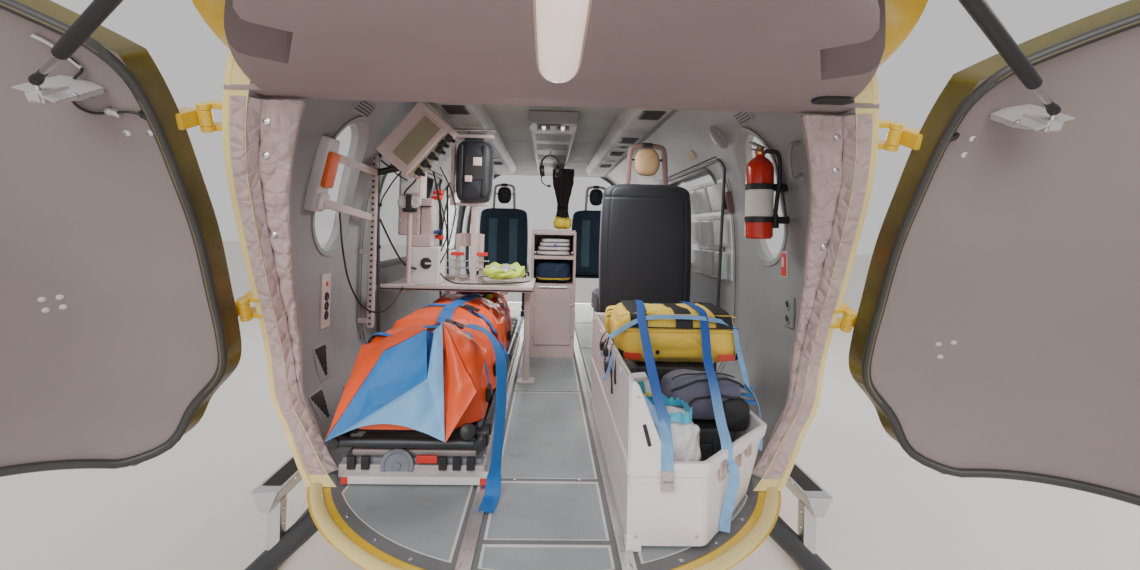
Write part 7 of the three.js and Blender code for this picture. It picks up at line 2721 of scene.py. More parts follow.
@dataclass
class Cabinet:
    """Mid cabinet with two open shelves, cloth and a bag in them, and the curtain above."""

    def body(self) -> Shape:
        """Walls, shelves, plinth, latches and rounded frames round the openings."""
        shape = Shape()
        shape.span((-105, 2900, 0.4), (-90, 3250, 722), 5.0)
        shape.span((135, 2900, 0.4), (150, 3250, 722), 5.0)
        shape.span((-92, 3230, 0.4), (137, 3250, 722), 3.0)
        shape.span((-94, 2901, 0.4), (139, 3232, 420), 4.0)
        shape.span((-94, 2901, 560), (139, 3232, 580), 4.0)
        shape.span((-94, 2901, 700), (139, 3232, 722), 4.0)
        shape.plate(rounded_outline((22, 240), (206, 330), 10), "y", 2894, 2902, 2.0)
        shape.rod((-60, 2892, 404), (104, 2892, 404), 6, 14, 1)
        for x in (-84, 129):
            for height in (120, 300, 600, 711):
                fastener(shape, (x, 2900, height), (0, -1, 0), 5.0, 1)
        shape.span((-100, 2904, 720), (145, 3246, 730), 4.0, 0)
        return shape

    def contents(self) -> None:
        """Folded white cloth above, navy bag with a yellow stripe below."""
        stack = Shape()
        for k, lift in enumerate((0.0, 26.0, 50.0, 72.0)):
            stack.join(SoftForm((20 + 4 * k, 3050, 595 + lift), (196 - 8 * k, 250, 27), "X", 5.0,
                                5.0, 2.0, 70.0, float(k)).skin(40, 56))
        stack.lathe((30, 2928, 640), (0, -1, 0), [(0, 9), (1.5, 9), (2, 7), (2, 0.3)], 18, 1)
        cloth = put("folded_cloth", stack, Outfit((CLOTH_WHITE, PORT_BLUE), ROOT, crease=75,
                                                  flat=False))
        form = SoftForm((22, 3060, 486), (214, 300, 130), "X", 4.0, 5.0, 4.0, 80.0, 6.0)
        bag = form.skin(50, 70)
        form.band(bag, [-0.93, 0.93], [3.55, 3.55], 12, 1)
        form.line(bag, [-0.85, 0.85], [2.8, 2.8], 2.2, 2)
        made = put("shelf_bag", bag, Outfit((CLOTH_NAVY, TAPE_YELLOW, BLACK_PLASTIC), ROOT,
                                            crease=75, flat=False))
        form = SoftForm((70, 2990, 770), (110, 120, 80), "X", 2.8, 3.5, 6.0, 60.0, 2.0)
        hood = form.skin(40, 60)
        form.band(hood, [-0.6, 0.5], [1.2, 2.4], 14, 1)
        made = put("yellow_hood", hood, Outfit((TAPE_YELLOW, BLACK_PLASTIC), ROOT, crease=75,
                                               flat=False))

    def drape(self) -> Shape:
        """Dark curtain gathered on the ceiling and tied at the middle."""
        height, turn = np.meshgrid(np.linspace(753, 1199, 110), np.linspace(0, 2 * np.pi, 220,
                                                                            endpoint=False),
                                   indexing="ij")
        waist = 0.52 + 0.48 * np.clip(np.abs(height - 900) / 190, 0, 1) ** 1.2
        pleat = 1 + 0.20 * np.sin(turn * 13 + 0.5 * np.sin(height / 70)) * (0.5 + 0.5 * waist)
        rough = ripple(np.stack([np.cos(turn) * 80, np.sin(turn) * 80, height], -1), 110.0,
                       2.0) * 0.08
        reach = waist * (pleat + rough)
        return Shape().grid(np.stack([95 + 68 * reach * np.cos(turn),
                                      3900 + 36 * reach * np.sin(turn), height], -1), around=True,
                            caps=True)

    def headset(self) -> Shape:
        """Headset with its band, ear cups and boom, hung on a hook of the console."""
        angle = np.linspace(-0.3, np.pi + 0.3, 40)
        band = np.stack([-10 + 52 * np.cos(angle), 2900 + 0 * angle, 1098 + 58 * np.sin(angle)], -1)
        shape = Shape().tube(band, 5.5, 12, 0, (0, 1, 0))
        for side in (-1, 1):
            shape.lathe((-10 + side * 46, 2900, 1066), (side, 0, -0.1), [
                (-14, 24), (-12, 32), (2, 34), (10, 30), (14, 22), (14, 0.3)], 26, 0)
        boom = np.array([(-56, 2900, 1050), (-58, 2880, 1010), (-40, 2868, 985), (-20, 2866, 978)],
                        float)
        shape.tube(smooth_path(boom, 24), 3.0, 10, 0)
        shape.block((-14, 2866, 977), (22, 14, 14), 5)
        hook = np.array([(-10, 2900, 1203), (-10, 2900, 1178), (-10, 2894, 1160),
                         (-10, 2902, 1151)], float)
        return shape.tube(smooth_path(hook, 20), 4.0, 12, 1)

    def dress(self) -> None:
        """Makes the cabinet's pieces."""
        put("cabinet_body", self.body(), Outfit((PINK_PALE, STEEL), ROOT, ("cabinet",),
                                                "pale_metal"))
        self.contents()
        drape = put("tied_curtain", self.drape(), Outfit((DRAPE,), ROOT, ("curtain",),
                                                         "curtain_fabric", crease=75, flat=False))
        tie = Shape().grid(sweep(np.stack([95 + 43 * np.cos(t := np.linspace(0, 2 * np.pi, 60,
                                                                            endpoint=False)),
                                           3900 + 24 * np.sin(t), 900 + 0 * t], 1),
                                 slab_profile(24, 3.0), np.stack([np.cos(t), np.sin(t), 0 * t], 1),
                                 closed=True), around=True, along=True)
        put("curtain_tie", tie, Outfit((STRAP_BLACK,), ROOT))
        put("hung_headset", self.headset(), Outfit((BLACK_PLASTIC, STEEL), ROOT))


@dataclass
class WallFittings:
    """Small pieces on the side walls, each placed by station and height on the inner skin."""

    def spot(self, side: int, station: float, height: float,
             depth: float = 0.0) -> tuple[Array, Array]:
        """A point on the wall's inner face, and the frame forward, up and inward there."""
        x = [float(skin_x(h, s, WALL)) for h, s in ((height, station), (height, station + 5),
                                                    (height + 5, station))]
        ahead = unit(np.array([side * (x[1] - x[0]), 5.0, 0.0]))
        above = unit(np.array([side * (x[2] - x[0]), 0.0, 5.0]))
        inward = unit(np.cross(ahead, above)) * (1 if side > 0 else -1)
        inward = inward if inward[0] * side < 0 else -inward
        turn = np.stack([ahead, above, inward], 1)
        return np.array([side * x[0], station, height]) + inward * depth, turn

    def panel(self, shape: Shape, place: tuple[int, float, float], size: tuple[float, float, float],
              radius: float = 3.0, paint: int = 0) -> tuple[Array, Array]:
        """Adds a rounded tile on the wall, its back sunk two millimetres into the trim."""
        centre, turn = self.spot(*place, depth=size[2] / 2 - 2.0)
        shape.block(centre, size, radius, turn, paint)
        return centre, turn

    def left(self) -> Shape:
        """Socket placard, two triangular pockets, vent, holder and two pale bars."""
        shape = Shape()
        centre, turn = self.panel(shape, (-1, 1856, 455), (74, 196, 10), 4.0, 0)
        for shift in (-52, -18, 16):
            shape.lathe(centre + turn @ np.array([0, shift, 4.0]), turn[:, 2],
                        [(0, 16), (3, 16), (4, 13), (1, 11), (1, 0.3)], 22, 1)
        shape.lathe(centre + turn @ np.array([0, 62, 4.0]), turn[:, 2], [(0, 9), (3, 9), (4, 0.3)],
                    18, 3)
        for station, height, tall in ((1805, 246, 110), (1702, 128, 96)):
            centre, turn = self.panel(shape, (-1, station, height), (96, tall + 14, 8), 6.0, 4)
            for k in range(6):
                wide = 78 * (1 - k / 6.5)
                shape.block(centre + turn @ np.array([0, tall * (0.42 - k * 0.15), 3.5]),
                            (wide, tall * 0.17, 6), 2.0, turn, 1)
        centre, turn = self.panel(shape, (-1, 1812, 1150), (150, 60, 8), 4.0, 4)
        slots(shape, centre + turn[:, 2] * 4, turn, 4, 12.0, (128.0, 6.0), 1)
        centre, turn = self.panel(shape, (-1, 1700, 900), (84, 250, 40), 9.0, 2)
        shape.block(centre + turn @ np.array([0, 20, 22.0]), (70, 120, 26), 8, turn, 5)
        shape.block(centre + turn @ np.array([0, -86, 22.0]), (70, 54, 20), 6, turn, 2)
        for height, drop in ((972, 6), (806, 14)):
            a, _ = self.spot(-1, 1700, height, 34)
            b = np.array([-752.0, 2152.0, height - drop * 3])
            lean = unit(b - a)
            frame = frame_of((1, 0, 0), lean)
            shape.block((a + b) / 2, (float(np.linalg.norm(b - a)) + 10, 30, 14), 4, frame, 0)
        return shape

    def right(self) -> Shape:
        """Speaker, vent, latch, red tile, grab handle, socket and placard."""
        shape = Shape()
        centre, turn = self.spot(1, 2095, 1133, -1)
        shape.lathe(centre, turn[:, 2], [(0, 58), (5, 58), (8, 50), (18, 34), (22, 12),
                                         (22.5, 0.3)], 34, 4)
        for k in range(10):
            a = k * 0.628
            shape.lathe(centre + turn @ np.array([40 * math.cos(a), 40 * math.sin(a), 13.0]),
                        turn[:, 2], [(0, 4), (1.5, 4), (1.5, 0.3)], 10, 1)
        centre, turn = self.panel(shape, (1, 1789, 1152), (120, 54, 8), 4.0, 4)
        slots(shape, centre + turn[:, 2] * 4, turn, 4, 11.0, (102.0, 5.0), 1)
        centre, turn = self.panel(shape, (1, 2222, 872), (58, 92, 26), 5.0, 6)
        shape.block(centre + turn @ np.array([4, 0, 16.0]), (24, 62, 18), 5, turn, 1)
        centre, turn = self.panel(shape, (1, 1746, 628), (46, 92, 7), 4.0, 0)
        shape.block(centre + turn[:, 2] * 3, (38, 80, 6), 3, turn, 3)
        shape.block(centre + turn @ np.array([0, 8, 6.5]), (16, 34, 2), 1, turn, 0)
        a, turn = self.spot(1, 1530, 1016)
        b, _ = self.spot(1, 1574, 922)
        inward = turn[:, 2]
        shape.tube(smooth_path(np.array([a, a + inward * 30, (a + b) / 2 + inward * 38,
                                         b + inward * 30, b]), 30), 6.0, 14, 4)
        centre, turn = self.panel(shape, (1, 1704, 470), (70, 106, 12), 6.0, 4)
        for shift in (-24, 24):
            shape.lathe(centre + turn @ np.array([0, shift, 5.0]), turn[:, 2],
                        [(0, 19), (4, 19), (5, 15), (1, 13), (1, 0.3)], 24, 4)
            shape.lathe(centre + turn @ np.array([0, shift, 6.6]), turn[:, 2],
                        [(0, 10), (0.8, 0.3)], 20, 1)
        self.panel(shape, (1, 2521, 1120), (90, 46, 5), 2.0, 7)
        return shape

    def organiser(self) -> None:
        """Clear pockets in two rows on the right wall, each holding a pale or teal item."""
        shape, items = Shape(), Shape()
        for row, height in enumerate((900.0, 735.0, 585.0)):
            for column, station in enumerate((2330.0, 2510.0, 2690.0)):
                centre, turn = self.spot(1, station, height, 18)
                shape.block(centre, (160, 132, 34), 12, turn, 0, 3)
                paint = 1 if (row, column) == (2, 0) else 0
                items.block(centre - turn[:, 2] * 2, (118 - 10 * column, 82 + 12 * row, 18), 6,
                            turn, paint)
        back = Shape()
        for height in (900.0, 735.0, 585.0):
            for station in (2330.0, 2510.0, 2690.0):
                self.panel(back, (1, station, height + 8), (172, 150, 5), 4.0, 0)
        put("organiser_back", back, Outfit((LABEL_WHITE,), ROOT))
        put("organiser_items", items, Outfit((CLOTH_WHITE, TEAL), ROOT))
        put("organiser_pockets", shape, Outfit((POCKET,), ROOT))

    def extinguisher(self) -> Shape:
        """Bottle with a white band, valve with lever and hose, in a strap bracket."""
        shape = Shape()
        x, station = 700.0, 1700.0
        shape.lathe((x, station, 715), (0, 0, 1), [(0, 34), (3, 40), (10, 45), (62, 45)], 44, 0)
        shape.lathe((x, station, 777), (0, 0, 1), [(0, 45.2), (118, 45.2)], 44, 1)
        shape.lathe((x, station, 895), (0, 0, 1), [(0, 45), (58, 45), (76, 40), (90, 27), (98, 16),
                                                  (108, 15)], 44, 0)
        shape.lathe((x, station, 1000), (0, 0, 1), [(0, 16), (4, 19), (10, 19), (14, 13), (26, 12),
                                                   (28, 8)], 26, 2)
        shape.block((x - 16, station - 14, 1030), (66, 18, 8), 3,
                    frame_of((0.2, 0, 1), (1, 0.6, 0)), 3)
        shape.block((x - 18, station - 16, 1012), (58, 16, 6), 3,
                    frame_of((0.1, 0, 1), (1, 0.6, 0)), 3)
        hose = np.array([(x + 12, station - 10, 1012), (x + 44, station - 32, 1000),
                         (x + 54, station - 34, 940), (x + 50, station - 26, 860),
                         (x + 46, station - 22, 800)], float)
        shape.tube(smooth_path(hose, 40), 7.0, 14, 4)
        shape.lathe((x + 46, station - 22, 800), (0, 0, -1), [(0, 7), (6, 10), (46, 12), (48, 8),
                                                             (48, 0.3)], 18, 4)
        for level in (770, 880):
            shape.lathe((x, station, level), (0, 0, 1),
                        [(0, 45.3), (0, 47.5), (20, 47.5), (20, 45.3)], 40, 4)
            shape.span((x + 40, station - 18, level - 2), (796, station + 18, level + 22), 3.0, 4)
        return shape

    def dress(self) -> None:
        """Makes the fittings' pieces."""
        palette = (SHELF_PALE, BLACK_PLASTIC, CASE_WHITE, TAG_RED, WALL_GREY, HANDLE_ORANGE,
                   HEAD_FRAME, HEAD_TAN)
        put("left_fittings", self.left(), Outfit(palette, ROOT))
        put("right_fittings", self.right(), Outfit(palette, ROOT))
        self.organiser()
        put("extinguisher_bottle", self.extinguisher(), Outfit(
            (BOTTLE_RED, LABEL_WHITE, BRASS, STEEL, BLACK_PLASTIC), ROOT, ("extinguisher",),
            "red_paint"))


# Kit crate with its cases, bags and straps

CRATE_WHITE = Finish("crate_white", (0.86, 0.80, 0.82), 0.42, coat=0.15, grain=Grain.WOVEN,
                     grain_size=6.0, depth=0.03, drift=0.03, soil=0.14)
CRATE_EDGE = Finish("crate_edge", (0.62, 0.57, 0.57), 0.35, metallic=0.3, grain=Grain.BRUSHED,
                    soil=0.2)
BAG_YELLOW = Finish("bag_yellow_cloth", (0.95, 0.66, 0.08), 0.55, sheen=0.15, grain=Grain.WOVEN,
                    grain_size=2.4, depth=0.08, drift=0.05, soil=0.05)
BAG_SLATE = Finish("bag_slate_cloth", (0.10, 0.10, 0.155), 0.7, sheen=0.2, grain=Grain.WOVEN,
                   grain_size=2.4, depth=0.08, soil=0.1)
BAG_BLACK = Finish("bag_black_cloth", (0.02, 0.02, 0.022), 0.7, grain=Grain.WOVEN, grain_size=2.4,
                   depth=0.08)
FOIL_WHITE = Finish("crumpled_white", (0.76, 0.72, 0.74), 0.4, coat=0.15, grain=Grain.LEATHER,
                    grain_size=16.0, depth=0.9, drift=0.05, soil=0.05)
FOIL_BLUE = Finish("crumpled_blue", (0.06, 0.42, 0.62), 0.45, coat=0.1, depth=0.03)
PATCH_RED = Finish("patch_red", (0.78, 0.09, 0.05), 0.45, depth=0.02)
CASE_DARK = Finish("kit_case", (0.035, 0.037, 0.042), 0.5, grain=Grain.PEBBLED, depth=0.06)
RUSTY = Finish("worn_bracket", (0.55, 0.40, 0.34), 0.5, metallic=0.3, drift=0.25, drift_size=30.0,
               soil=0.3)


@dataclass(frozen=True)
class StrapFinish(Finish):
    """Webbing that is deep blue high up and paler towards the crate's rim."""

    pale: Color = (0.20, 0.42, 0.72)
    heights: tuple[float, float] = (1.03, 1.13)

    def shade(self, graph: Graph, places: Socket) -> Socket:
        """The base colour, by height above the studio floor in metres."""
        share = graph.between(*self.heights, graph.axis(places, "Z"))
        return graph.mixed(share, self.pale, self.color)


STRAP_DEEP_TO_PALE = StrapFinish("strap_faded", (0.015, 0.10, 0.42), 0.6, grain=Grain.WOVEN,
                          grain_size=2.4, depth=0.1)
STRAP_PALE = Finish("strap_pale", (0.20, 0.40, 0.68), 0.6, grain=Grain.WOVEN, grain_size=2.4,
                    depth=0.1, drift=0.15, drift_size=60.0)


@dataclass
class Crate:
    """White tub with a high left wall that slopes down at the rear, and what it carries."""

    foot: Array = field(default_factory=lambda: np.array(
        [[185, 1170], [365, 1170], [450, 1270], [565, 1425], [565, 2140], [185, 2140]], float))
    head: Array = field(default_factory=lambda: np.array(
        [[185, 1170], [365, 1170], [458, 1265], [608, 1410], [608, 2140], [185, 2140]], float))

    def loop(self, height: float, offset: float) -> Array:
        """The plan at a height, moved outwards by offset, with its corners rounded."""
        share = min(max((height - 6.3) / 193.7, 0.0), 1.0)
        plan = self.foot + share * (self.head - self.foot)
        ahead = unit(np.roll(plan, -1, 0) - plan)
        normal = np.stack([ahead[:, 1], -ahead[:, 0]], 1)
        before = np.roll(normal, 1, 0)
        corner = plan + offset * (normal + before) / (1 + np.sum(normal * before, 1, keepdims=True))
        radius = 14.0
        t = np.linspace(0, 1, 7)[None, :, None]
        a = corner - unit(corner - np.roll(corner, 1, 0)) * radius
        b = corner + unit(np.roll(corner, -1, 0) - corner) * radius
        run = (1 - t) ** 2 * a[:, None] + 2 * t * (1 - t) * corner[:, None] + t**2 * b[:, None]
        return run.reshape(-1, 2)

    def tub(self) -> Shape:
        """The low tub with a rolled rim, the high left and front walls and their beads."""
        rows = [np.insert(self.loop(height, offset), 2, height, axis=1) for height, offset in (
            (7, -2), (9, 0), (164, 0), (167, 4), (170, 5.5), (193, 5.5), (198, 4), (200, 1),
            (200, -7), (198, -10), (192, -11), (26, -12), (22, -15))]
        shape = Shape().grid(np.stack(rows), around=True, caps=True)
        side = np.array([[1172, 9], [2139, 9], [2139, 384], [1196, 384], [1184, 379], [1175, 366]],
                        float)
        shape.plate(side, "x", 183.5, 196, 2.5)
        slope = np.array([[186, 150], [290, 150], [290, 196], [276, 204], [206, 374], [198, 383],
                          [190, 384], [186, 378]], float)
        shape.plate(slope, "y", 1168.5, 1182, 2.5)
        front = np.array([[186, 8], [563, 8], [609, 205], [609, 372], [602, 381], [590, 385],
                          [198, 385], [186, 378]], float)
        shape.plate(front, "y", 2127, 2141, 3.0)
        bead = np.array([(190, y, 385) for y in np.linspace(1200, 2132, 40)])
        shape.tube(bead + np.stack([0 * bead[:, 0], 0 * bead[:, 1], 0.6 * np.sin(bead[:, 1] / 37)],
                                   1), 6.0, 12, 1)
        shape.block((225, 1167.5, 262), (9, 3, 52), 1.4,
                    frame_of((0, -1, 0), (1, 0, 0.28)) @ UPRIGHT, 2)
        shape.span((180, 1160, 0.8), (216, 1180, 12), 2.0)
        shape.plate(np.array([[1180, 4], [2130, 4], [2130, 30], [1180, 30]], float), "x", 180.5,
                    184, 1.0, 1)
        for station in np.arange(1196, 2130, 26.0):
            shape.lathe((181, station, 17), (-1, 0, 0), [(0, 5), (1.2, 4.6), (1.6, 0.3)], 10, 1)
        for place in ((203, 1168, 32), (203, 1168, 350), (345, 1168, 32), (520, 1345, 40)):
            fastener(shape, place, (0, -1, 0), 3.0, 1)
        for station in (1320, 1560, 1800, 2040):
            shape.block((181, station, 372), (6, 30, 10), 2, paint=1)
            fastener(shape, (183, station, 340), (-1, 0, 0), 3.5, 1)
        return shape

    def cases(self) -> Shape:
        """Two dark plastic cases that carry the bags, ribbed and latched."""
        shape = Shape()
        shape.span((216, 1466, 19), (544, 2109, 27), 3.0)
        for low, high in (((216, 1681, 24), (544, 2109, 285)), ((331, 1466, 24), (544, 1659, 165))):
            top = high[2]
            shape.span(low, (high[0], high[1], top - 44), 9.0)
            shape.span((low[0] - 1, low[1] - 1, top - 48), (high[0] + 1, high[1] + 1, top), 10.0)
            for x in np.linspace(low[0] + 30, high[0] - 30, 7):
                shape.span((x - 4, low[1] - 3, 40), (x + 4, low[1] + 4, top - 60), 2.0)
            for x in (low[0] + 55, high[0] - 55):
                shape.span((x - 14, low[1] - 6, top - 70), (x + 14, low[1] + 2, top - 30), 3.0, 1)
        return shape

    def kit(self) -> Shape:
        """Loose items in the well beside the bags: roll, boxes, packets, shears and a clip."""
        shape = Shape()
        form = SoftForm((250, 1600, 262), (70, 130, 130), "Y", 2.4, 3.0, 3.0, 60.0, 2.0)
        shape.join(form.skin(40, 50), 0)
        form = SoftForm((255, 1530, 120), (88, 150, 180), "Z", 3.0, 3.5, 3.0, 70.0, 5.0)
        shape.join(form.skin(40, 50), 0)
        lean = frame_of((0.1, -1, 0.3), (1, 0.1, 0.1))
        shape.block((286, 1508, 268), (74, 44, 16), 3, lean, 1)
        shape.block((268, 1502, 266), (30, 38, 18), 3, lean, 2)
        shape.block((300, 1496, 250), (58, 12, 18), 3, lean, 4)
        shape.block((292, 1488, 218), (46, 34, 12), 3, lean, 3)
        shape.block((288, 1485, 204), (44, 26, 13), 3, lean, 4)
        shape.block((262, 1500, 302), (52, 24, 12), 3, frame_of((0, -0.4, 1), (1, 0.2, 0)), 1)
        shape.rod((236, 1440, 205), (262, 1470, 262), 8, 14, 5)
        shape.rod((258, 1430, 196), (270, 1462, 250), 6, 14, 5)
        shape.lathe((240, 1452, 120), (0.1, 0, 1), [(0, 16), (3, 20), (110, 20), (122, 14),
                                                    (122, 9), (136, 9), (136, 0.3)], 22, 1)
        shape.block((222, 1400, 150), (24, 60, 100), 6, paint=5)
        return shape

    def yellow_bag(self) -> None:
        """The large yellow bag: three black bands, piping, zip, grommets and end patches."""
        form = SoftForm((428, 1800, 379.3), (416, 300, 188), "X", 4.6, 8.0, 4.0, 170.0, 4.0, 3.0)
        stuffed("yellow_bag", form, BAG_YELLOW, Outfit((), ROOT, ("bag_yellow",), "yellow_fabric"))
        trim = Shape()
        for along in (-0.66, 0.06, 0.70):
            form.band(trim, [along, along], [3.02, 0.35], 56, 0, 2.4, 0.6, 90)
        for phi in (3.0, 2.32):
            form.line(trim, [-0.94, 0.94], [phi, phi], 2.2, 1 if phi < 2.5 else 0)
        form.line(trim, [-0.93, 0.93], [3.08, 3.08], 2.4, 1)
        for along in (-0.36, 0.40):
            place = form.surface(np.array([along]), np.array([3.3]), 0.5)[0]
            trim.lathe(place, (0, -1, 0), [(0, 7), (2, 7), (2.5, 5), (1, 4), (1, 0.3)], 18, 0)
        for low, high in ((-0.88, -0.62), (0.60, 0.88)):
            form.band(trim, [low, high], [3.48, 3.48], 26, 2, 2.4, 0.8, 30)
        for low, high in ((-0.97, -0.9), (0.9, 0.97)):
            form.band(trim, [low, high], [3.5, 3.5], 30, 0, 3.0, 1.0, 16)
        put("yellow_bag_trim", trim, Outfit((BAG_BLACK, BAG_YELLOW, PATCH_RED), ROOT))

    def small_yellow_bag(self) -> None:
        """The small yellow bag behind it, with black piping and two blue loops."""
        form = SoftForm((350, 2035, 363.3), (270, 120, 156), "X", 4.0, 6.0, 3.0, 110.0, 6.0, 2.0)
        stuffed("small_yellow_bag", form, BAG_YELLOW, Outfit((), ROOT, ("bag_yellow_small",),
                                                            "yellow_fabric"))
        trim = Shape()
        for phi in (2.35, 0.8):
            form.line(trim, [-0.93, 0.93], [phi, phi], 2.6, 0)
        form.line(trim, [-0.93, 0.93], [2.9, 2.9], 2.2, 0)
        for along in (-0.42, 0.62):
            form.band(trim, [along, along], [3.4, 0.1], 26, 1, 2.4, 1.0, 70)
        put("small_bag_trim", trim, Outfit((BAG_BLACK, STRAP_BLUE), ROOT))

    def slate_bag(self) -> None:
        """The slate rucksack on its side, with black zips and a black end."""
        form = SoftForm((461, 1548, 240.3), (250, 190, 150), "X", 2.7, 3.6, 5.0, 120.0, 7.0, 3.0)
        stuffed("slate_bag", form, BAG_SLATE, Outfit((), ROOT, ("bag_grey",), "slate_fabric"))
        trim = Shape()
        form.line(trim, [-0.9, -0.3, 0.3, 0.9], [3.5, 3.05, 2.95, 3.1], 3.4, 0)
        form.line(trim, [-0.85, -0.2, 0.5, 0.93], [2.75, 2.25, 2.1, 2.4], 3.4, 0)
        form.line(trim, [-0.8, 0.0, 0.8], [2.0, 1.7, 1.8], 2.0, 0)
        end = SoftForm((540, 1478, 205), (92, 66, 100), "X", 2.8, 3.5, 3.0, 70.0, 3.0)
        trim.join(end.skin(36, 48), 0)
        put("slate_bag_trim", trim, Outfit((BAG_BLACK,), ROOT, crease=70))

    def white_bag(self) -> None:
        """The crumpled white bag with a blue frill at its mouth."""
        form = SoftForm((300, 1312, 144.6), (184, 200, 252), "Z", 3.4, 6.0, 8.0, 62.0, 9.0)
        stuffed("white_bag", form, FOIL_WHITE, Outfit((), ROOT, ("bag_white",), "white_fabric"),
                4.0)
        turn = np.linspace(0, 2 * np.pi, 200, endpoint=False)
        wave = 5 * np.sin(turn * 17)
        frill = np.stack([
            form.surface(np.full_like(turn, along), turn, out + wave * share) + (0, 0, lift)
            for along, out, share, lift in ((0.97, 1.0, 0.2, 1), (0.985, 6.0, 0.8, 17),
                                            (0.985, 3.0, 0.8, 20), (0.97, -2.0, 0.2, 3))])
        crown = Shape().grid(frill, around=True, along=True)
        put("white_bag_frill", crown, Outfit((FOIL_BLUE,), ROOT, crease=80, flat=False))

    def straps(self) -> Shape:
        """Tie-down webbing over the bags, with cam buckles, tails and rim brackets."""
        shape = Shape()
        up = (0.0, -0.7, 0.7)
        webbing(shape, [(336, 1930, 466), (330, 1880, 474), (308, 1720, 476), (297, 1655, 456),
                        (288, 1500, 386), (283, 1400, 342), (278, 1300, 305), (275, 1225, 286),
                        (273, 1190, 262), (272, 1168, 232), (272, 1162, 176)], up, 28, 0, 110)
        webbing(shape, [(238, 1340, 296), (248, 1280, 292), (260, 1220, 282), (268, 1186, 262),
                        (272, 1164, 226), (272, 1159, 178)], up, 26, 1, 60)
        webbing(shape, [(508, 1950, 458), (505, 1900, 470), (503, 1720, 474), (502, 1652, 452),
                        (492, 1570, 336), (474, 1462, 300), (452, 1330, 238), (440, 1250, 206),
                        (436, 1238, 150)], up, 28, 0, 90)
        webbing(shape, [(438, 1244, 160), (446, 1232, 168), (450, 1222, 140), (440, 1222, 90),
                        (432, 1226, 40), (428, 1222, 12)], up, 26, 1, 60)
        webbing(shape, [(190, 1612, 392), (215, 1640, 402), (300, 1649, 446), (400, 1646, 455),
                        (510, 1650, 450), (600, 1662, 425), (612, 1640, 360), (613, 1590, 300),
                        (614, 1560, 250)], up, 17, 1, 110)
        webbing(shape, [(606, 1560, 262), (616, 1500, 238), (618, 1470, 196), (610, 1440, 156),
                        (596, 1412, 140), (584, 1398, 146)], (1, -0.3, 0.2), 24, 1, 60)
        webbing(shape, [(190, 1470, 388), (178, 1468, 360), (170, 1462, 330), (156, 1450, 304)],
                (-1, -0.2, 0.2), 22, 1, 30)
        for place in ((616, 1572, 252), (617, 1560, 232), (617, 1556, 214)):
            shape.block(place, (9, 44, 12), 3, frame_of((1, -0.2, 0), (0, 1, 0)).T, 3)
        buckle(shape, (272, 1157, 162), (0, -1, 0.05), (0, 0, 1), (44, 30), 2)
        buckle(shape, (437, 1238, 168), (0.6, -0.7, 0.2), (0.1, 0, 1), (44, 30), 2)
        for place, tall in (((421, 1222, 160), 46), ((530, 1334, 172), 52), ((488, 1296, 148), 30)):
            shape.block(place, (30, 5, tall), 2,
                        frame_of((0.72, -0.69, 0), (0.69, 0.72, 0)) @ UPRIGHT, 4)
        return shape

    def wires(self) -> Shape:
        """Thin leads and latches hung over the high left wall."""
        shape = Shape()
        runs = (((186, 1600, 394), (176, 1590, 360), (170, 1560, 310), (176, 1540, 290)),
                ((188, 1520, 392), (178, 1500, 350), (182, 1480, 300), (180, 1462, 262)),
                ((190, 1700, 394), (172, 1690, 370), (168, 1660, 350), (178, 1640, 372),
                 (190, 1630, 393)), ((188, 1420, 390), (180, 1400, 340), (180, 1392, 310)))
        for k, run in enumerate(runs):
            shape.tube(smooth_path(np.array(run, float), 36), 2.2 + 0.8 * (k % 2), 8)
        for place in ((176, 1596, 350), (174, 1540, 320), (172, 1668, 352)):
            shape.block(place, (14, 30, 24), 3)
        for place in ((172, 1580, 322), (170, 1650, 330)):
            shape.block(place, (5, 26, 18), 2, paint=1)
        return shape

    def dress(self) -> None:
        """Makes the crate's pieces."""
        put("crate_tub", self.tub(), Outfit((CRATE_WHITE, CRATE_EDGE, BLACK_PLASTIC), ROOT,
                                            ("crate",), "white_panel"))
        put("kit_cases", self.cases(), Outfit((CASE_DARK, DARK_METAL), ROOT, ("crate_cases",),
                                              "dark_metal"))
        put("loose_kit", self.kit(), Outfit((BAG_BLACK, CASE_WHITE, TEAL, PATCH_RED, TAPE_YELLOW,
                                             CABLE_BLACK), ROOT, crease=50))
        self.yellow_bag()
        self.small_yellow_bag()
        self.slate_bag()
        self.white_bag()
        put("crate_straps", self.straps(), Outfit((STRAP_DEEP_TO_PALE, STRAP_PALE, PALE_PLATE, STRAP_BLUE,
                                                   RUSTY), ROOT))
        put("crate_wires", self.wires(), Outfit((CABLE_BLACK, STRAP_PALE), ROOT, crease=70))


# Studio


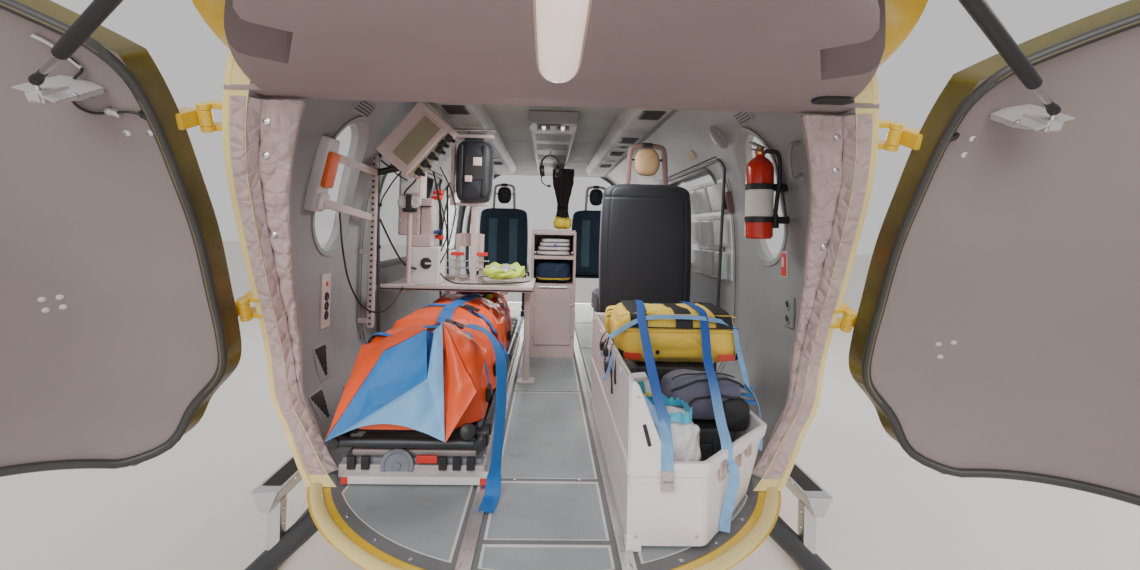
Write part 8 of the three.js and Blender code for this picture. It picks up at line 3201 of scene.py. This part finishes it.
@dataclass
class Studio:
    """Floor, lights and the camera at the photograph's viewing angle."""

    lens: float = 16.01
    place: tuple[float, float, float] = (-0.0137, -2.690, 1.5299)
    shift: tuple[float, float] = (0.0075, -0.0551)
    turn: tuple[float, float, float] = (-0.026, 0.0154, 0.0228)
    lamp_color: Color = (1.0, 0.98, 0.96)
    sky: float = 0.72
    reach: float = 40.0

    def camera(self) -> None:
        """Level camera turned by the fitted yaw, pitch and roll, in radians."""
        made = bpy.data.objects.new("photo_camera", bpy.data.cameras.new("photo_camera"))
        made.data.lens = self.lens
        made.data.sensor_width = 36.0
        made.data.shift_x, made.data.shift_y = self.shift
        made.data.clip_start = 0.02
        yaw, pitch, roll = self.turn
        made.matrix_world = (Matrix.Translation(self.place) @ Matrix.Rotation(yaw, 4, "Z")
                             @ Matrix.Rotation(math.pi / 2 + pitch, 4, "X")
                             @ Matrix.Rotation(roll, 4, "Z"))
        bpy.context.scene.collection.objects.link(made)
        bpy.context.scene.camera = made

    def lamp(self, name: str, place: Sequence[float], aim: Sequence[float], size: float,
             power: float) -> None:
        """Adds a square area light that points from one place to another."""
        light = bpy.data.lights.new(name, "AREA")
        light.size = size
        light.energy = power
        light.color = self.lamp_color
        made = bpy.data.objects.new(name, light)
        made.location = place
        made.rotation_euler = (Vector(aim) - Vector(place)).to_track_quat("-Z", "Y").to_euler()
        bpy.context.scene.collection.objects.link(made)

    def floor(self) -> None:
        """A wide pale floor with faint unevenness."""
        finish = Finish("pale_floor", (0.80, 0.77, 0.75), 0.8, grain=Grain.PEBBLED, grain_size=6.0,
                        depth=0.2, drift=0.02, drift_size=2600.0, soil=0.0)
        mesh = bpy.data.meshes.new("studio_floor")
        corners = ((-1, -1), (1, -1), (1, 1), (-1, 1))
        mesh.from_pydata([(x * self.reach, y * self.reach, 0) for x, y in corners], [],
                         [(0, 1, 2, 3)])
        mesh.materials.append(finish.material())
        made = bpy.data.objects.new("studio_floor", mesh)
        bpy.context.scene.collection.objects.link(made)

    def dress(self) -> None:
        """Sets up the studio."""
        self.floor()
        self.camera()
        world = bpy.data.worlds.new("studio")
        world.use_nodes = True
        background = world.node_tree.nodes["Background"].inputs
        background["Color"].default_value = (0.97, 0.96, 0.97, 1.0)
        background["Strength"].default_value = self.sky
        bpy.context.scene.world = world
        self.lamp("key", (-1.5, -7.5, 5.5), (0, -1.0, 1.2), 5.0, 460)
        self.lamp("fill", (5.5, -2.0, 4.5), (0, 0, 1.2), 4.0, 150)
        self.lamp("nose_light", (0.0, 6.5, 2.4), (0, 0.5, 1.4), 3.0, 240)
        self.lamp("cabin_light", (0.0, -0.6, 1.93), (0, -0.3, 0.8), 0.5, 10)


def main() -> None:
    """Builds every sub-assembly in order."""
    logging.basicConfig(level=logging.INFO, format="%(message)s")
    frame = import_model()
    slots = {row["node"]: row["material_slot"] for row in frame["record"].get("subparts", [])}
    colors = {row["slot"]: row["base_color"][:3] for row in frame["record"]["materials"]}
    for name, node in frame["nodes"].items():
        slot = slots.get(name, "")
        finish = Finish(f"node_{slot}", tuple(colors.get(slot, (0.5, 0.5, 0.5))), 0.55,
                        grain=Grain.PEBBLED)
        node.data.materials.clear()
        node.data.materials.append(finish.material())
    Studio().dress()
    for side in Side:
        ClamshellDoor(side).dress()
        DoorStrut(side).dress()
        SideWall(side).dress()
    RearFrame().dress()
    Shell().dress()
    CabinFloor().dress()
    Ceiling().dress()
    SkidGear().dress()
    for seat in cabin_seats():
        seat.dress()
    Stretcher().dress()
    StretcherBag().dress()
    for side in Side:
        PostLiner(side).dress()
    EquipmentRack().dress()
    Cabinet().dress()
    WallFittings().dress()
    Crate().dress()


if __name__ == "__main__":
    main()
